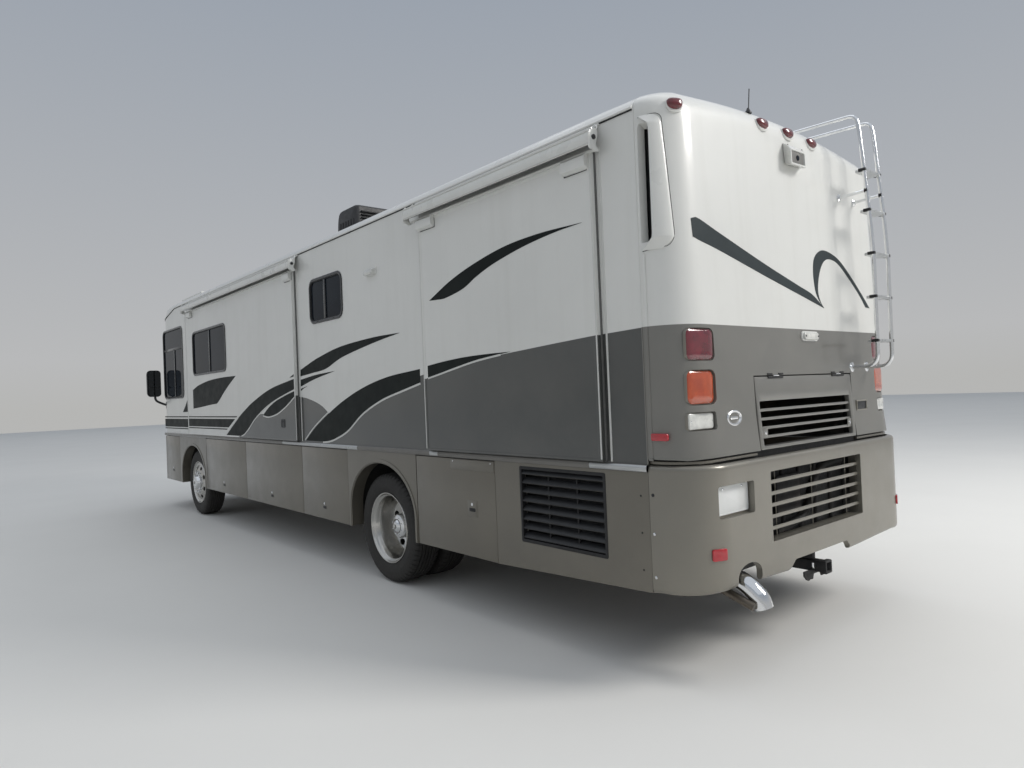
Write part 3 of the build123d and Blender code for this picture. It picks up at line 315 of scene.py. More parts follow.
# ------------------------------------------------------------------ geometry
class P:
    """Collects parts of one piece, then makes the object."""
    def __init__(self, name, body, slot, *mats):
        self.name, self.body, self.slotname, self.mats = name, body, slot, mats
        self.v, self.f, self.m = [], [], []

    def raw(self, v, f, mi=0):
        b = len(self.v)
        self.v += [tuple(map(float, p)) for p in v]
        self.f += [tuple(int(i) + b for i in q) for q in f]
        self.m += [mi] * len(f)
        return self

    def bm(self, bm, mi=0, mat=None):
        bm.verts.index_update()
        vs = [(mat @ v.co) if mat is not None else v.co.copy() for v in bm.verts]
        fs = [[v.index for v in q.verts] for q in bm.faces]
        bm.free()
        return self.raw(vs, fs, mi)

    def box(self, x0, x1, y0, y1, z0, z1, mi=0, bev=0.003, seg=2, mat=None):
        bm = bmesh.new()
        bmesh.ops.create_cube(bm, size=1.0)
        for v in bm.verts:
            v.co = Vector(((x0 + x1) / 2 + v.co.x * (x1 - x0), (y0 + y1) / 2 + v.co.y * (y1 - y0), (z0 + z1) / 2 + v.co.z * (z1 - z0)))
        if bev:
            bmesh.ops.bevel(bm, geom=bm.edges[:], offset=bev, segments=seg, profile=0.5, affect="EDGES", clamp_overlap=True)
        return self.bm(bm, mi, mat)

    def prism(self, pts, axis, a, b, mi=0, bev=0.0, seg=2, mat=None):
        """pts in the plane across axis: x -> (y, z), y -> (x, z), z -> (x, y)."""
        def at(p, t):
            return {"x": (t, p[0], p[1]), "y": (p[0], t, p[1]), "z": (p[0], p[1], t)}[axis]
        bm = bmesh.new()
        lo = [bm.verts.new(at(p, a)) for p in pts]
        hi = [bm.verts.new(at(p, b)) for p in pts]
        n = len(pts)
        bm.faces.new(lo[::-1])
        bm.faces.new(hi)
        for i in range(n):
            bm.faces.new((lo[i], lo[(i + 1) % n], hi[(i + 1) % n], hi[i]))
        bmesh.ops.recalc_face_normals(bm, faces=bm.faces[:])
        if bev:
            es = [e for e in bm.edges if e.calc_face_angle(0) > 0.6]
            bmesh.ops.bevel(bm, geom=es, offset=bev, segments=seg, profile=0.5, affect="EDGES", clamp_overlap=True)
        return self.bm(bm, mi, mat)

    def ring(self, outer, inner, axis, a, b, mi=0, crown=0.0):
        """Closed frame between two loops of the same count; crown raises the middle of the face at b."""
        def at(p, t):
            return {"x": (t, p[0], p[1]), "y": (p[0], t, p[1]), "z": (p[0], p[1], t)}[axis]
        n = len(outer)
        o, i_ = np.array(outer), np.array(inner)
        loops = [[at(p, a) for p in o], [at(p, b - crown) for p in o]]
        if crown:
            loops += [[at(p, b) for p in o * 0.75 + i_ * 0.25], [at(p, b) for p in o * 0.25 + i_ * 0.75]]
        loops += [[at(p, b - crown) for p in i_], [at(p, a) for p in i_]]
        return self.loft(loops, mi, wrap=True)

    def loft(self, loops, mi=0, wrap=False, caps=False, closed=True):
        n = len(loops[0])
        v = [p for lp in loops for p in lp]
        f = []
        L = len(loops)
        for k in range(L if wrap else L - 1):
            k2 = (k + 1) % L
            for i in range(n if closed else n - 1):
                j = (i + 1) % n
                f.append((k * n + i, k * n + j, k2 * n + j, k2 * n + i))
        if caps:
            f.append(tuple(range(n))[::-1])
            f.append(tuple((L - 1) * n + i for i in range(n)))
        return self.raw(v, f, mi)

    def tube(self, pts, r, mi=0, n=12, closed=False, caps=True):
        p = np.array(pts, float)
        m = len(p)
        rs = np.full(m, r) if np.isscalar(r) else np.array(r)
        tan = np.zeros_like(p)
        for i in range(m):
            a = p[(i - 1) % m] if (closed or i > 0) else p[i]
            b = p[(i + 1) % m] if (closed or i < m - 1) else p[i]
            tan[i] = (b - a) / (np.linalg.norm(b - a) + 1e-12)
        up = np.array([0, 0, 1.0]) if abs(tan[0][2]) < 0.9 else np.array([1.0, 0, 0])
        loops = []
        u = np.cross(tan[0], up)
        u /= np.linalg.norm(u)
        for i in range(m):
            u = u - tan[i] * np.dot(u, tan[i])
            u /= np.linalg.norm(u)
            w = np.cross(tan[i], u)
            loops.append([tuple(p[i] + rs[i] * (u * math.cos(t) + w * math.sin(t))) for t in np.linspace(0, 2 * math.pi, n, endpoint=False)])
        return self.loft(loops, mi, wrap=closed, caps=(caps and not closed))

    def lathe(self, prof, c, axis="y", mi=0, n=48, closed=True):
        """prof: (along axis, radius) points, a closed outline, turned about an axis through c."""
        loops = []
        for k in range(n):
            t = 2 * math.pi * k / n
            lp = []
            for a, r in prof:
                if axis == "y":
                    lp.append((c[0] + r * math.cos(t), c[1] + a, c[2] + r * math.sin(t)))
                elif axis == "x":
                    lp.append((c[0] + a, c[1] + r * math.cos(t), c[2] + r * math.sin(t)))
                else:
                    lp.append((c[0] + r * math.cos(t), c[1] + r * math.sin(t), c[2] + a))
            loops.append(lp)
        return self.loft(loops, mi, wrap=True, closed=closed)

    def done(self, angle=32, rep=(), weld=1e-5):
        me = bpy.data.meshes.new(self.name)
        me.from_pydata(self.v, [], self.f)
        for q in self.mats:
            me.materials.append(q)
        me.polygons.foreach_set("material_index", self.m)
        bm = bmesh.new()
        bm.from_mesh(me)
        bmesh.ops.remove_doubles(bm, verts=bm.verts[:], dist=weld)
        bmesh.ops.dissolve_degenerate(bm, edges=bm.edges[:], dist=weld)
        bmesh.ops.recalc_face_normals(bm, faces=bm.faces[:])
        shade(bm, angle)
        bm.to_mesh(me)
        bm.free()
        ob = bpy.data.objects.new(self.name, me)
        bpy.context.scene.collection.objects.link(ob)
        if self.body:
            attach(ob, self.body)
        if rep:
            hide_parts(*rep)
        return ob


def shade(bm, angle):
    lim = math.radians(angle)
    for q in bm.faces:
        q.smooth = True
    for e in bm.edges:
        e.smooth = not (len(e.link_faces) != 2 or e.calc_face_angle(0) > lim)


def rrect(a0, a1, b0, b1, r, n=6):
    """Loop of a rounded rectangle."""
    out = []
    for (cx, cy, t0) in ((a1 - r, b1 - r, 0), (a0 + r, b1 - r, 90), (a0 + r, b0 + r, 180), (a1 - r, b0 + r, 270)):
        for k in range(n + 1):
            t = math.radians(t0 + 90 * k / n)
            out.append((cx + r * math.cos(t), cy + r * math.sin(t)))
    return out


def soft(pts, r, n=6):
    """Path with rounded corners."""
    p = [np.array(q, float) for q in pts]
    out = [p[0]]
    for i in range(1, len(p) - 1):
        a, b, c = p[i - 1], p[i], p[i + 1]
        d1, d2 = a - b, c - b
        t = min(r, np.linalg.norm(d1) * 0.49, np.linalg.norm(d2) * 0.49)
        s, e = b + d1 / np.linalg.norm(d1) * t, b + d2 / np.linalg.norm(d2) * t
        for k in range(n + 1):
            u = k / n
            out.append(s * (1 - u) ** 2 + b * 2 * u * (1 - u) + e * u * u)
    out.append(p[-1])
    return out


def apply_mods(ob, angle=32):
    dg = bpy.context.evaluated_depsgraph_get()
    dg.update()
    me = bpy.data.meshes.new_from_object(ob.evaluated_get(dg))
    ob.modifiers.clear()
    old = ob.data
    ob.data = me
    bpy.data.meshes.remove(old)
    bm = bmesh.new()
    bm.from_mesh(me)
    bmesh.ops.remove_doubles(bm, verts=bm.verts[:], dist=1e-6)
    shade(bm, angle)
    bm.to_mesh(me)
    bm.free()


def cut(ob, cutters, angle=32):
    """Takes the cutter pieces out of ob, then removes them."""
    for c in cutters:
        md = ob.modifiers.new("cut", "BOOLEAN")
        md.operation, md.solver, md.object = "DIFFERENCE", "EXACT", c
    apply_mods(ob, angle)
    for c in cutters:
        me = c.data
        bpy.data.objects.remove(c)
        bpy.data.meshes.remove(me)


def paint(node, *mats):
    ob = N[node]
    ob.data.materials.clear()
    for q in mats:
        ob.data.materials.append(q)


# ------------------------------------------------------------------ outer form of the coach
HW = 1.275


def x_rear(z):
    # nearly straight, then kicked out towards the bumper
    return np.interp(z, [1.0, 1.12, 1.18, 1.24, 1.30, 1.36, 1.45, 1.60, 3.221, 3.6], [-5.139, -5.135, -5.1295, -5.1225, -5.1165, -5.1125, -5.1095, -5.106, -5.052, -5.039])


def x_front(z):
    return 5.230 - 0.140 * np.clip(z - 1.45, 0, None) / 1.771


def z_crown(y):
    return 3.215 - (7.943 - np.sqrt(7.943 ** 2 - np.minimum(np.abs(y), 1.4) ** 2))


def form(p, o=0.0):
    """Distance outside the coach's outer form, taken in by o."""
    x, y, z = p[:, 0], p[:, 1], p[:, 2]
    rear = x < 0
    qx = np.where(rear, x_rear(z) - x, x - x_front(z)) + o
    qy = np.abs(y) - HW + o
    R = np.where(rear, 0.225, 0.42) - o
    u, v = np.maximum(qx + R, 0), np.maximum(qy + R, 0)
    d1 = np.minimum(np.maximum(qx, qy), -R) + np.hypot(u, v)
    s = np.clip((qx - qy + 0.30) / 0.60, 0, 1)
    s = s * s * (3 - 2 * s)
    rt = 0.09 + (np.where(rear, 0.15, 0.70) - 0.09) * s - o
    d2 = z - z_crown(y) + o
    back = np.minimum(np.maximum(d1, d2), -rt) + np.hypot(np.maximum(d1 + rt, 0), np.maximum(d2 + rt, 0))
    # front: a brow of 0.70 right across, and a small rounding where it meets the sides and corners
    B = 0.70 - o
    bx, bz = np.maximum(qx + B, 0), np.maximum(d2 + B, 0)
    brow = np.minimum(np.maximum(qx, d2), -B) + np.hypot(bx, bz)
    w = np.clip(np.arctan2(v, u + 1e-9) / 1.05, 0, 1)
    w = w * w * (3 - 2 * w)
    k = np.clip(np.arctan2(bx, bz + 1e-9) / 0.52, 0, 1)
    k = k * k * (3 - 2 * k)
    re = (0.09 - 0.055 * k) * w
    re = np.maximum(re - o * w, 0)
    ahead = np.minimum(np.maximum(d1, brow), -re) + np.hypot(np.maximum(d1 + re, 0), np.maximum(brow + re, 0))
    return np.where(rear, back, ahead)


def grad(p, o=0.0):
    h = 1e-4
    g = np.stack([(form(p + np.eye(3)[k] * h, o) - form(p - np.eye(3)[k] * h, o)) / (2 * h) for k in range(3)], 1)
    return g / (np.linalg.norm(g, axis=1)[:, None] + 1e-9)


def onto(p, o=0.0):
    p = np.array(p, float).reshape(-1, 3).copy()
    for _ in range(14):
        p -= form(p, o)[:, None] * grad(p, o) * 0.9
    return p


def at_yz(y, z, o=0.0, rear=True):
    """X of the outer form at (y, z)."""
    y, z = np.broadcast_arrays(np.atleast_1d(np.asarray(y, float)), np.atleast_1d(np.asarray(z, float)))
    lo = np.full(y.shape, -5.4 if rear else 5.5)
    hi = np.full(y.shape, -4.0 if rear else 4.0)
    for _ in range(34):
        mid = (lo + hi) / 2
        out = form(np.stack([mid, y, z], 1), o) > 0
        lo = np.where(out, mid, lo)
        hi = np.where(out, hi, mid)
    return (lo + hi) / 2


def side_y(x, z, o=0.0):
    """Half width of the outer form at (x, z)."""
    lo, hi = 0.6, 1.4
    for _ in range(34):
        mid = (lo + hi) / 2
        if form(np.array([[x, mid, z]]), o)[0] > 0:
            hi = mid
        else:
            lo = mid
    return (lo + hi) / 2


def at_top(x, y, o=0.0):
    """Height of the outer form at (x, y)."""
    lo, hi = 2.0, 3.6
    for _ in range(34):
        mid = (lo + hi) / 2
        if form(np.array([[x, y, mid]]), o)[0] > 0:
            hi = mid
        else:
            lo = mid
    return (lo + hi) / 2


def seam_base(p, k, target):
    """Moves coordinate k of base points until the point they land on has that coordinate at target."""
    p = np.array(p, float).copy()
    goal = np.full(len(p), float(target))
    val = goal.copy()
    for _ in range(12):
        p[:, k] = val
        q = onto(p)
        val = val + (goal - q[:, k]) * 0.9
    return val


def shell(name, xs, ys, zs, keep, end, mats, body, thick=0.030, rep=(), midx=None, o=0.0, z_low=None):
    """Part of the outer form on a box-like grid, as a closed shell.
    end is 'rear', 'front' or None; xs run along the sides, ys across, zs up. keep(patch, i, j, centre) picks cells."""
    v, f = [], []

    def patch(tag, A, B, fn):
        base = len(v)
        for a in A:
            for b in B:
                v.append(fn(a, b))
        nb = len(B)
        for i in range(len(A) - 1):
            for j in range(len(B) - 1):
                q = (base + i * nb + j, base + (i + 1) * nb + j, base + (i + 1) * nb + j + 1, base + i * nb + j + 1)
                c = np.mean([v[k] for k in q], axis=0)
                if keep(tag, c):
                    f.append(q)
    zt = 3.215
    if end == "rear":
        patch("end", ys, zs, lambda y, z: (float(x_rear(z)), y, min(z, float(z_crown(y)))))
        xe = lambda z: float(x_rear(z))
    elif end == "front":
        patch("end", ys, zs, lambda y, z: (float(x_front(z)), y, min(z, float(z_crown(y)))))
        xe = lambda z: float(x_front(z))
    else:
        xe = None
    for s in (1, -1):
        def side_pt(x, z, s=s):
            z2 = min(z, float(z_crown(HW)))
            if xe is not None and x == "end":
                return (xe(z), s * HW, z2)
            if callable(x):
                x = x(s * HW, z2)
            if z_low is not None and z == zs[0]:
                z2 = z_low(x)
            return (x, s * HW, z2)
        patch("side", xs + (["end"] if xe else []), zs, side_pt)

    def top_pt(x, y):
        z = float(z_crown(y))
        if x == "end":
            return (xe(z), y, z)
        return (x(y, z) if callable(x) else x, y, z)
    patch("top", xs + (["end"] if xe else []), ys, top_pt)
    bm = bmesh.new()
    pv = onto(np.array(v), o)
    vs = [bm.verts.new(p) for p in pv]
    for q in f:
        try:
            bm.faces.new([vs[k] for k in q])
        except ValueError:
            pass
    bmesh.ops.remove_doubles(bm, verts=bm.verts[:], dist=2e-4)
    bmesh.ops.dissolve_degenerate(bm, edges=bm.edges[:], dist=1e-4)
    for _ in range(3):
        extra = {min(e.link_faces, key=lambda q: q.calc_area()) for e in bm.edges if len(e.link_faces) > 2}
        if not extra:
            break
        bmesh.ops.delete(bm, geom=list(extra), context="FACES")
    loose = [x for x in bm.verts if not x.link_faces]
    bmesh.ops.delete(bm, geom=loose, context="VERTS")
    bmesh.ops.recalc_face_normals(bm, faces=bm.faces[:])
    big = max(bm.faces, key=lambda q: q.calc_area())
    g = grad(np.array([big.calc_center_median()]))[0]
    if np.dot(g, np.array(big.normal)) < 0:
        bmesh.ops.reverse_faces(bm, faces=bm.faces[:])
    # inner skin and rim
    outer_f = bm.faces[:]
    co = np.array([x.co for x in bm.verts])
    nn = grad(co)
    inner = co - nn * thick
    old = list(bm.verts)
    twin = {}
    for q, c in zip(old, inner):
        twin[q] = bm.verts.new(c)
    for q in outer_f:
        bm.faces.new([twin[x] for x in reversed(q.verts)])
    for e in [e for e in bm.edges if len(e.link_faces) == 1 and all(x in twin for x in e.verts)]:
        lp = e.link_loops[0]
        a, b = lp.vert, lp.link_loop_next.vert
        bm.faces.new([b, a, twin[a], twin[b]])
    for q in bm.faces:
        q.material_index = 0
    if midx:
        for q in bm.faces:
            q.material_index = midx(q.calc_center_median(), q.normal)
    shade(bm, 30)
    me = bpy.data.meshes.new(name)
    bm.to_mesh(me)
    bm.free()
    for q in mats:
        me.materials.append(q)
    ob = bpy.data.objects.new(name, me)
    bpy.context.scene.collection.objects.link(ob)
    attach(ob, body)
    if rep:
        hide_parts(*rep)
    return ob


def lin(a, b, n):
    return list(np.linspace(a, b, n))


def uniq(vals):
    out = []
    for q in sorted(vals):
        if not out or q - out[-1] > 1e-6:
            out.append(float(q))
    return out


XS_R, XS_F = -4.858, 4.962
Y_EDGE = [1.275, 1.262, 1.245, 1.225, 1.2, 1.17, 1.14, 1.105, 1.07, 1.03]
# base lines of the front seam, moved so that the seam lands on XS_F
_y = np.array(uniq([-q for q in Y_EDGE] + Y_EDGE + lin(-0.95, 0.95, 21)))


def seam_x(y, z):
    p = np.array([[XS_F, y, z]])
    return float(seam_base(p, 0, XS_F)[0])


_sy = [-1.275, -1.15, -1.0, -0.8, -0.5, 0, 0.5, 0.8, 1.0, 1.15, 1.275]
_sv = [seam_x(q, float(z_crown(q))) for q in _sy]
_sz = [0.4, 2.2, 2.6, 2.8, 2.9, 3.0, 3.05, 3.1, 3.112]
_szv = [seam_x(HW, q) for q in _sz]


def seam(y, z):
    if abs(abs(y) - HW) < 1e-9:
        return float(np.interp(z, _sz, _szv))
    return float(np.interp(y, _sy, _sv))


def z_trim(x):
    return 3.04 if x < 4.2 else 3.04 - 0.15 * (x - 4.2) / 0.762


# ---- roof
roof_x = [XS_R + 0.001] + lin(-4.6, 4.0, 24) + lin(4.1, 4.75, 10) + [lambda y, z: seam(y, z) - 0.001]
roof_y = uniq(list(_y))
roof_z = [3.04, 3.06, 3.075, 3.09, 3.10, 3.112]
roof_ob = shell("roof_skin", roof_x, roof_y, roof_z, lambda t, c: True, None, [m_roof, m_white], "coach", thick=0.045,
                rep=("roof",), midx=lambda c, n: 0 if abs(c.y) < 1.12 else 1, z_low=z_trim)

# ---- rear cap
HY, HZ = 0.612, 1.576
cap_y = uniq([-q for q in Y_EDGE] + Y_EDGE + lin(-0.98, -HY, 5) + lin(-HY, HY, 11) + lin(HY, 0.98, 5))
cap_z = uniq([1.150, 1.156, 1.168, 1.19] + lin(1.25, HZ, 4) + lin(1.65, 2.95, 14) + [3.0, 3.03, 3.05, 3.07, 3.09, 3.105, 3.13, 3.16, 3.19, 3.215])
cap_x = [XS_R - 0.001, -4.90, -4.94, -4.975, -5.0, -5.02, -5.035, -5.045]


def keep_cap(t, c):
    return not (t == "end" and abs(c[1]) < HY - 0.001 and c[2] < HZ - 0.001)


def cap_side(x):
    # side columns are spread between the seam and the leaning rear face
    k = (x - (XS_R - 0.001)) / (-5.052 - (XS_R - 0.001))
    return lambda y, z: (XS_R - 0.001) + k * (float(x_rear(z)) - (XS_R - 0.001))


rear_cap = shell("rear_cap_skin", [cap_x[0]] + [cap_side(x) for x in cap_x[1:]], cap_y, cap_z, keep_cap, "rear", [m_cap], "coach",
                 thick=0.045, rep=("rear_cap",))
# ------------------------------------------------------------------ helpers on the rear outline
def rear_line(xr, R, hw, x_seam, na=12, ns=3, nr=24):
    """Plan line from the left seam round the rear to the right seam, with outward normals."""
    out = []
    for x in np.linspace(x_seam, xr + R, ns + 1)[:-1]:
        out.append((x, hw, 0.0, 1.0))
    for k in range(na + 1):
        t = math.pi / 2 + math.pi / 2 * k / na
        out.append((xr + R + R * math.cos(t), hw - R + R * math.sin(t), math.cos(t), math.sin(t)))
    for y in np.linspace(hw - R, -(hw - R), nr + 1)[1:-1]:
        out.append((xr, y, -1.0, 0.0))
    for k in range(na + 1):
        t = math.pi + math.pi / 2 * k / na
        out.append((xr + R + R * math.cos(t), -(hw - R) + R * math.sin(t), math.cos(t), math.sin(t)))
    for x in np.linspace(xr + R, x_seam, ns + 1)[1:]:
        out.append((x, -hw, 0.0, -1.0))
    return out


def band(p, line, rows, mi=0):
    """Sweeps a closed section, (inset, z) or a function of y giving that, along a plan line."""
    loops = []
    for (x, y, nx, ny) in line:
        r = rows(x, y) if callable(rows) else rows
        loops.append([(x - nx * o, y - ny * o, z) for o, z in r])
    return p.loft(loops, mi, caps=True)


def x_cutter(pts, x0, x1, fx=None):
    q = P("cutter", None, None)
    lo = [(x0, y, z) for y, z in pts]
    hi = [((fx(y, z) if fx else x1), y, z) for y, z in pts]
    q.loft([lo, hi], caps=True)
    return q.done()


# ------------------------------------------------------------------ rear bumper
BX, BR = -5.185, 0.262
bline = rear_line(BX, BR, 1.279, -4.861, na=16, ns=3, nr=40)


def bump_low(x, y):
    if x > -4.93:
        return 0.436 + 0.008 * (-4.861 - x) / 0.07
    return float(np.interp(abs(y), [0, 0.35, 0.46, 0.74, 0.98, 1.10, 1.19, 1.262, 1.279], [0.443, 0.443, 0.446, 0.457, 0.465, 0.460, 0.452, 0.446, 0.444]))


def bump_rows(x, y):
    b = bump_low(x, y)
    rows = [(0.036, b + 0.012), (0.030, b + 0.001), (0.020, b), (0.010, b + 0.003), (0.004, b + 0.010), (0.0, b + 0.024)]
    rows += [(0.0, z) for z in (0.56, 0.68, 0.80, 0.92, 1.02, 1.085)]
    rows += [(0.0005, 1.095), (0.003, 1.105), (0.008, 1.112), (0.016, 1.1165), (0.026, 1.118), (0.036, 1.118), (0.036, 1.10)]
    return rows


p = P("rear_bumper_skin", "coach", "pewter_paint", m_pewter_lit)
band(p, bline, bump_rows)
bumper = p.done(rep=("rear_bumper",))
GYA, GYB, GZ0, GZ1 = -0.522, 0.612, 0.643, 1.035
cuts = [x_cutter(rrect(GYA, GYB, GZ0, GZ1, 0.008, 3), -5.3, -5.0)]
arch = [(0.7415, 0.30), (0.7415, 0.505)] + [(0.858 - 0.1165 * math.cos(t), 0.505 + 0.068 * math.sin(t)) for t in np.linspace(0, math.pi, 17)[1:-1]] + [(0.9745, 0.505), (0.9745, 0.30)]
cuts.append(x_cutter(arch, -5.3, -5.0))
hc = [(0.452, 0.30), (0.452, 0.440), (0.445, 0.450), (0.380, 0.498), (0.368, 0.502), (-0.268, 0.502), (-0.280, 0.498), (-0.312, 0.466), (-0.316, 0.455), (-0.316, 0.30)]
cuts.append(x_cutter(hc, -5.3, -5.0))
PKY0, PKY1, PKZ0, PKZ1 = 0.785, 1.103, 0.835, 1.007
cuts.append(x_cutter(rrect(PKY0, PKY1, PKZ0, PKZ1, 0.016, 4), -5.3, -5.0))
cut(bumper, cuts, 30)



def blade(p, x, z, y0, y1, face, deep, drop, mi):
    """Louvre blade: an upright rounded front edge and a plate running in and down behind it."""
    h = face / 2
    sec = [(x, z - h), (x - 0.0018, z - h + 0.003), (x - 0.0018, z + h - 0.003), (x, z + h), (x + 0.003, z + h), (x + 0.006, z + h - 0.002),
           (x + deep, z + h - 0.002 - drop), (x + deep, z + h - 0.005 - drop), (x + 0.006, z + h - 0.006), (x + 0.003, z - h + 0.001)]
    p.prism(sec, "y", y0, y1, mi)


p = P("bumper_grille", "coach", "pewter_paint", m_pewter_lit, m_plastic, m_core)
n = 5
for i in range(n):
    z = GZ0 + (i + 1) * (GZ1 - GZ0) / (n + 1)
    blade(p, -5.160, z, GYA - 0.004, GYB + 0.004, 0.021, 0.036, 0.016, 0)
for y in (0.456, 0.024, -0.434):
    p.tube([(-5.118, y, GZ0 - 0.02), (-5.118, y, GZ1 + 0.02)], 0.0035, 0, n=8)
p.ring(rrect(GYA - 0.012, GYB + 0.012, GZ0 - 0.012, GZ1 + 0.012, 0.014, 3), rrect(GYA + 0.001, GYB - 0.001, GZ0 + 0.001, GZ1 - 0.001, 0.008, 3), "x", -5.147, -5.105, 0)
p.done()

p = P("engine_screen", "coach", "chassis_black", m_core, m_under)
p.box(-5.07, -5.05, -0.62, 0.66, 0.60, 1.08, 0, bev=0.004)
for y in np.linspace(-0.5, 0.5, 6):
    p.tube([(-5.075, y, 0.61), (-5.075, y, 1.07)], 0.012, 1, n=10)
p.tube(soft([(-5.09, -0.45, 1.0), (-5.09, -0.1, 0.98), (-5.09, 0.05, 0.70), (-5.09, 0.42, 0.66)], 0.12), 0.024, 1)
p.box(-5.10, -5.07, 0.12, 0.40, 0.74, 0.98, 1, bev=0.02)
p.done()

# plate, its pocket liner and screws
p = P("number_plate", "coach", "clear_lens", m_plate, m_bright, m_pewter_lit)
PY = 0.944
p.ring(rrect(PKY0 - 0.010, PKY1 + 0.008, PKZ0 - 0.010, PKZ1 + 0.010, 0.020, 4), rrect(PKY0 + 0.0005, PKY1 - 0.0005, PKZ0 + 0.0005, PKZ1 - 0.0005, 0.016, 4), "x", -5.128, -5.154, 2)
p.box(-5.1435, -5.128, PKY0 - 0.004, PKY1 + 0.004, PKZ0 - 0.004, PKZ1 + 0.004, 2, bev=0.002)
p.prism(rrect(PY - 0.1525, PY + 0.1525, 0.846, 0.998, 0.010, 4), "x", -5.1475, -5.1445, 0, bev=0.0012)
p.ring(rrect(PY - 0.1505, PY + 0.1505, 0.848, 0.996, 0.009, 4), rrect(PY - 0.1445, PY + 0.1445, 0.854, 0.990, 0.006, 4), "x", -5.1475, -5.1492, 0)
for dy in (-0.0889, 0.0889):
    p.lathe([(0, 0), (0, 0.0075), (-0.0025, 0.0072), (-0.0045, 0.004), (-0.005, 0)], (-5.1475, PY + dy, 0.985), "x", 1, n=14, closed=False)
p.done()

p = P("bumper_details", "coach", "pewter_paint", m_pewter_lit, m_reflex, m_bright, m_plastic, m_clear)
for s in (1, -1):
    yc = 1.112 * s
    xc = float(-5.185 + 0.262 - math.sqrt(0.262 ** 2 - max(0, abs(yc) - 1.017) ** 2))
    rot = Matrix.Translation((xc, yc, 0.657)) @ Matrix.Rotation(-s * math.asin((abs(yc) - 1.017) / 0.262), 4, "Z")
    p.prism(rrect(-0.044, 0.044, -0.031, 0.031, 0.010, 4), "x", 0.004, -0.009, 1, bev=0.003, mat=rot)
    for z in (0.525, 0.754, 0.961):
        p.lathe([(0, 0), (0, 0.009), (0.003, 0.0085), (0.0055, 0.005), (0.006, 0)] if s > 0 else [(0, 0), (0, 0.009), (-0.003, 0.0085), (-0.0055, 0.005), (-0.006, 0)],
                (-4.886, s * 1.279, z), "y", 3 if z > 0.9 else 2, n=14, closed=False)
p.done()

# recessed strip between bumper and cap; the strip takes the darker pewter copy as painted shade, and its black backing
# shows in the gaps as dark lines of painted shade
p = P("cap_groove", "coach", "pewter_paint", m_blk, m_pewter_shaded)
cl = rear_line(-5.135, 0.225, 1.275, -4.861, na=14, ns=3, nr=30)
band(p, cl, [(0.040, 1.098), (0.030, 1.098), (0.030, 1.168), (0.040, 1.168)], 0)
side_l = [q for q in cl if q[1] > 0.62]
side_r = [q for q in cl if q[1] < -0.62]
for part in (side_l, side_r):
    band(p, part, [(0.032, 1.1225), (0.017, 1.1225), (0.014, 1.125), (0.014, 1.1375), (0.017, 1.140), (0.032, 1.140)], 1)
p.done()

# ------------------------------------------------------------------ pockets and lamps in the rear cap
LAMPS = [  # y0, y1, z0, z1, corner radius, lens
    (0.980, 1.193, 1.663, 1.838, 0.038, 0),
    (0.988, 1.199, 1.430, 1.616, 0.040, 1),
    (1.002, 1.203, 1.297, 1.393, 0.020, 2),
]


def floor_x(y, z=0.0):
    # the lamps' seat is upright and turned a little outwards
    return -5.079 + 0.11 * (abs(y) - 0.98)


cuts = []
for s in (1, -1):
    for (y0, y1, z0, z1, r, _) in LAMPS:
        a, b = (y0, y1) if s > 0 else (-y1, -y0)
        cuts.append(x_cutter(rrect(a, b, z0, z1, r, 6), -5.3, 0, fx=floor_x))
LK = (0.836, 1.348)
cuts.append(x_cutter([(LK[0] + 0.064 * math.cos(t), LK[1] + 0.036 * math.sin(t)) for t in np.linspace(0, 2 * math.pi, 32, endpoint=False)], -5.3, -5.112))
# throats in front of the corner scoops: a ramp down to a slot
for s in (1, -1):
    q = P("cutter", None, None)
    loops = []
    for z in (2.305, 2.325, 2.920, 2.945):
        k = 0.15 if z in (2.305, 2.945) else 1.0
        loops.append([(-4.876, s * 1.290, z), (-4.876, s * 1.2752, z), (-4.8868, s * (1.275 - 0.030 * k), z), (-4.890, s * (1.275 - 0.064 * k), z), (-4.970, s * (1.275 - 0.064 * k), z), (-4.972, s * 1.290, z)])
    q.loft(loops, caps=True)
    cuts.append(q.done())
cut(rear_cap, cuts, 30)

p = P("rear_lamp_lenses", "coach", "lamp_lens", m_red, m_amber, m_clear, m_pewter_lit, m_bright)
for s in (1, -1):
    for (y0, y1, z0, z1, r, mi) in LAMPS:
        a, b = (y0, y1) if s > 0 else (-y1, -y0)

        def lp(inset, out, a=a, b=b, z0=z0, z1=z1, r=r):
            return [(floor_x(y, z) - out, y, z) for y, z in rrect(a + inset, b - inset, z0 + inset, z1 - inset, max(0.004, r - inset), 6)]
        hgt = 0.018
        k = 0.36 * (z1 - z0)
        p.loft([lp(0.0050, 0.0), lp(0.0050, hgt - 0.004), lp(0.0060, hgt - 0.001), lp(0.0095, hgt + 0.001), lp(0.25 * k, hgt + 0.0035), lp(0.55 * k, hgt + 0.0060), lp(0.85 * k, hgt + 0.0070)], mi, caps=True)
        p.loft([lp(0.0005, 0.0), lp(0.0005, 0.013), lp(0.0025, 0.017), lp(0.0035, 0.017), lp(0.0049, 0.014), lp(0.0049, 0.0)], 3, wrap=True)
# screws that hold the lenses
for s in (1, -1):
    for (y0, y1, z0, z1, r, mi) in LAMPS[2:]:
        for y in (y0 + 0.022, y1 - 0.022):
            p.lathe([(0, 0), (0, 0.0055), (-0.0025, 0.005), (-0.0035, 0)], (floor_x(y) - 0.0215, s * y, (z0 + z1) / 2), "x", 4, n=12, closed=False)
p.done(rep=("rear_lamps",))

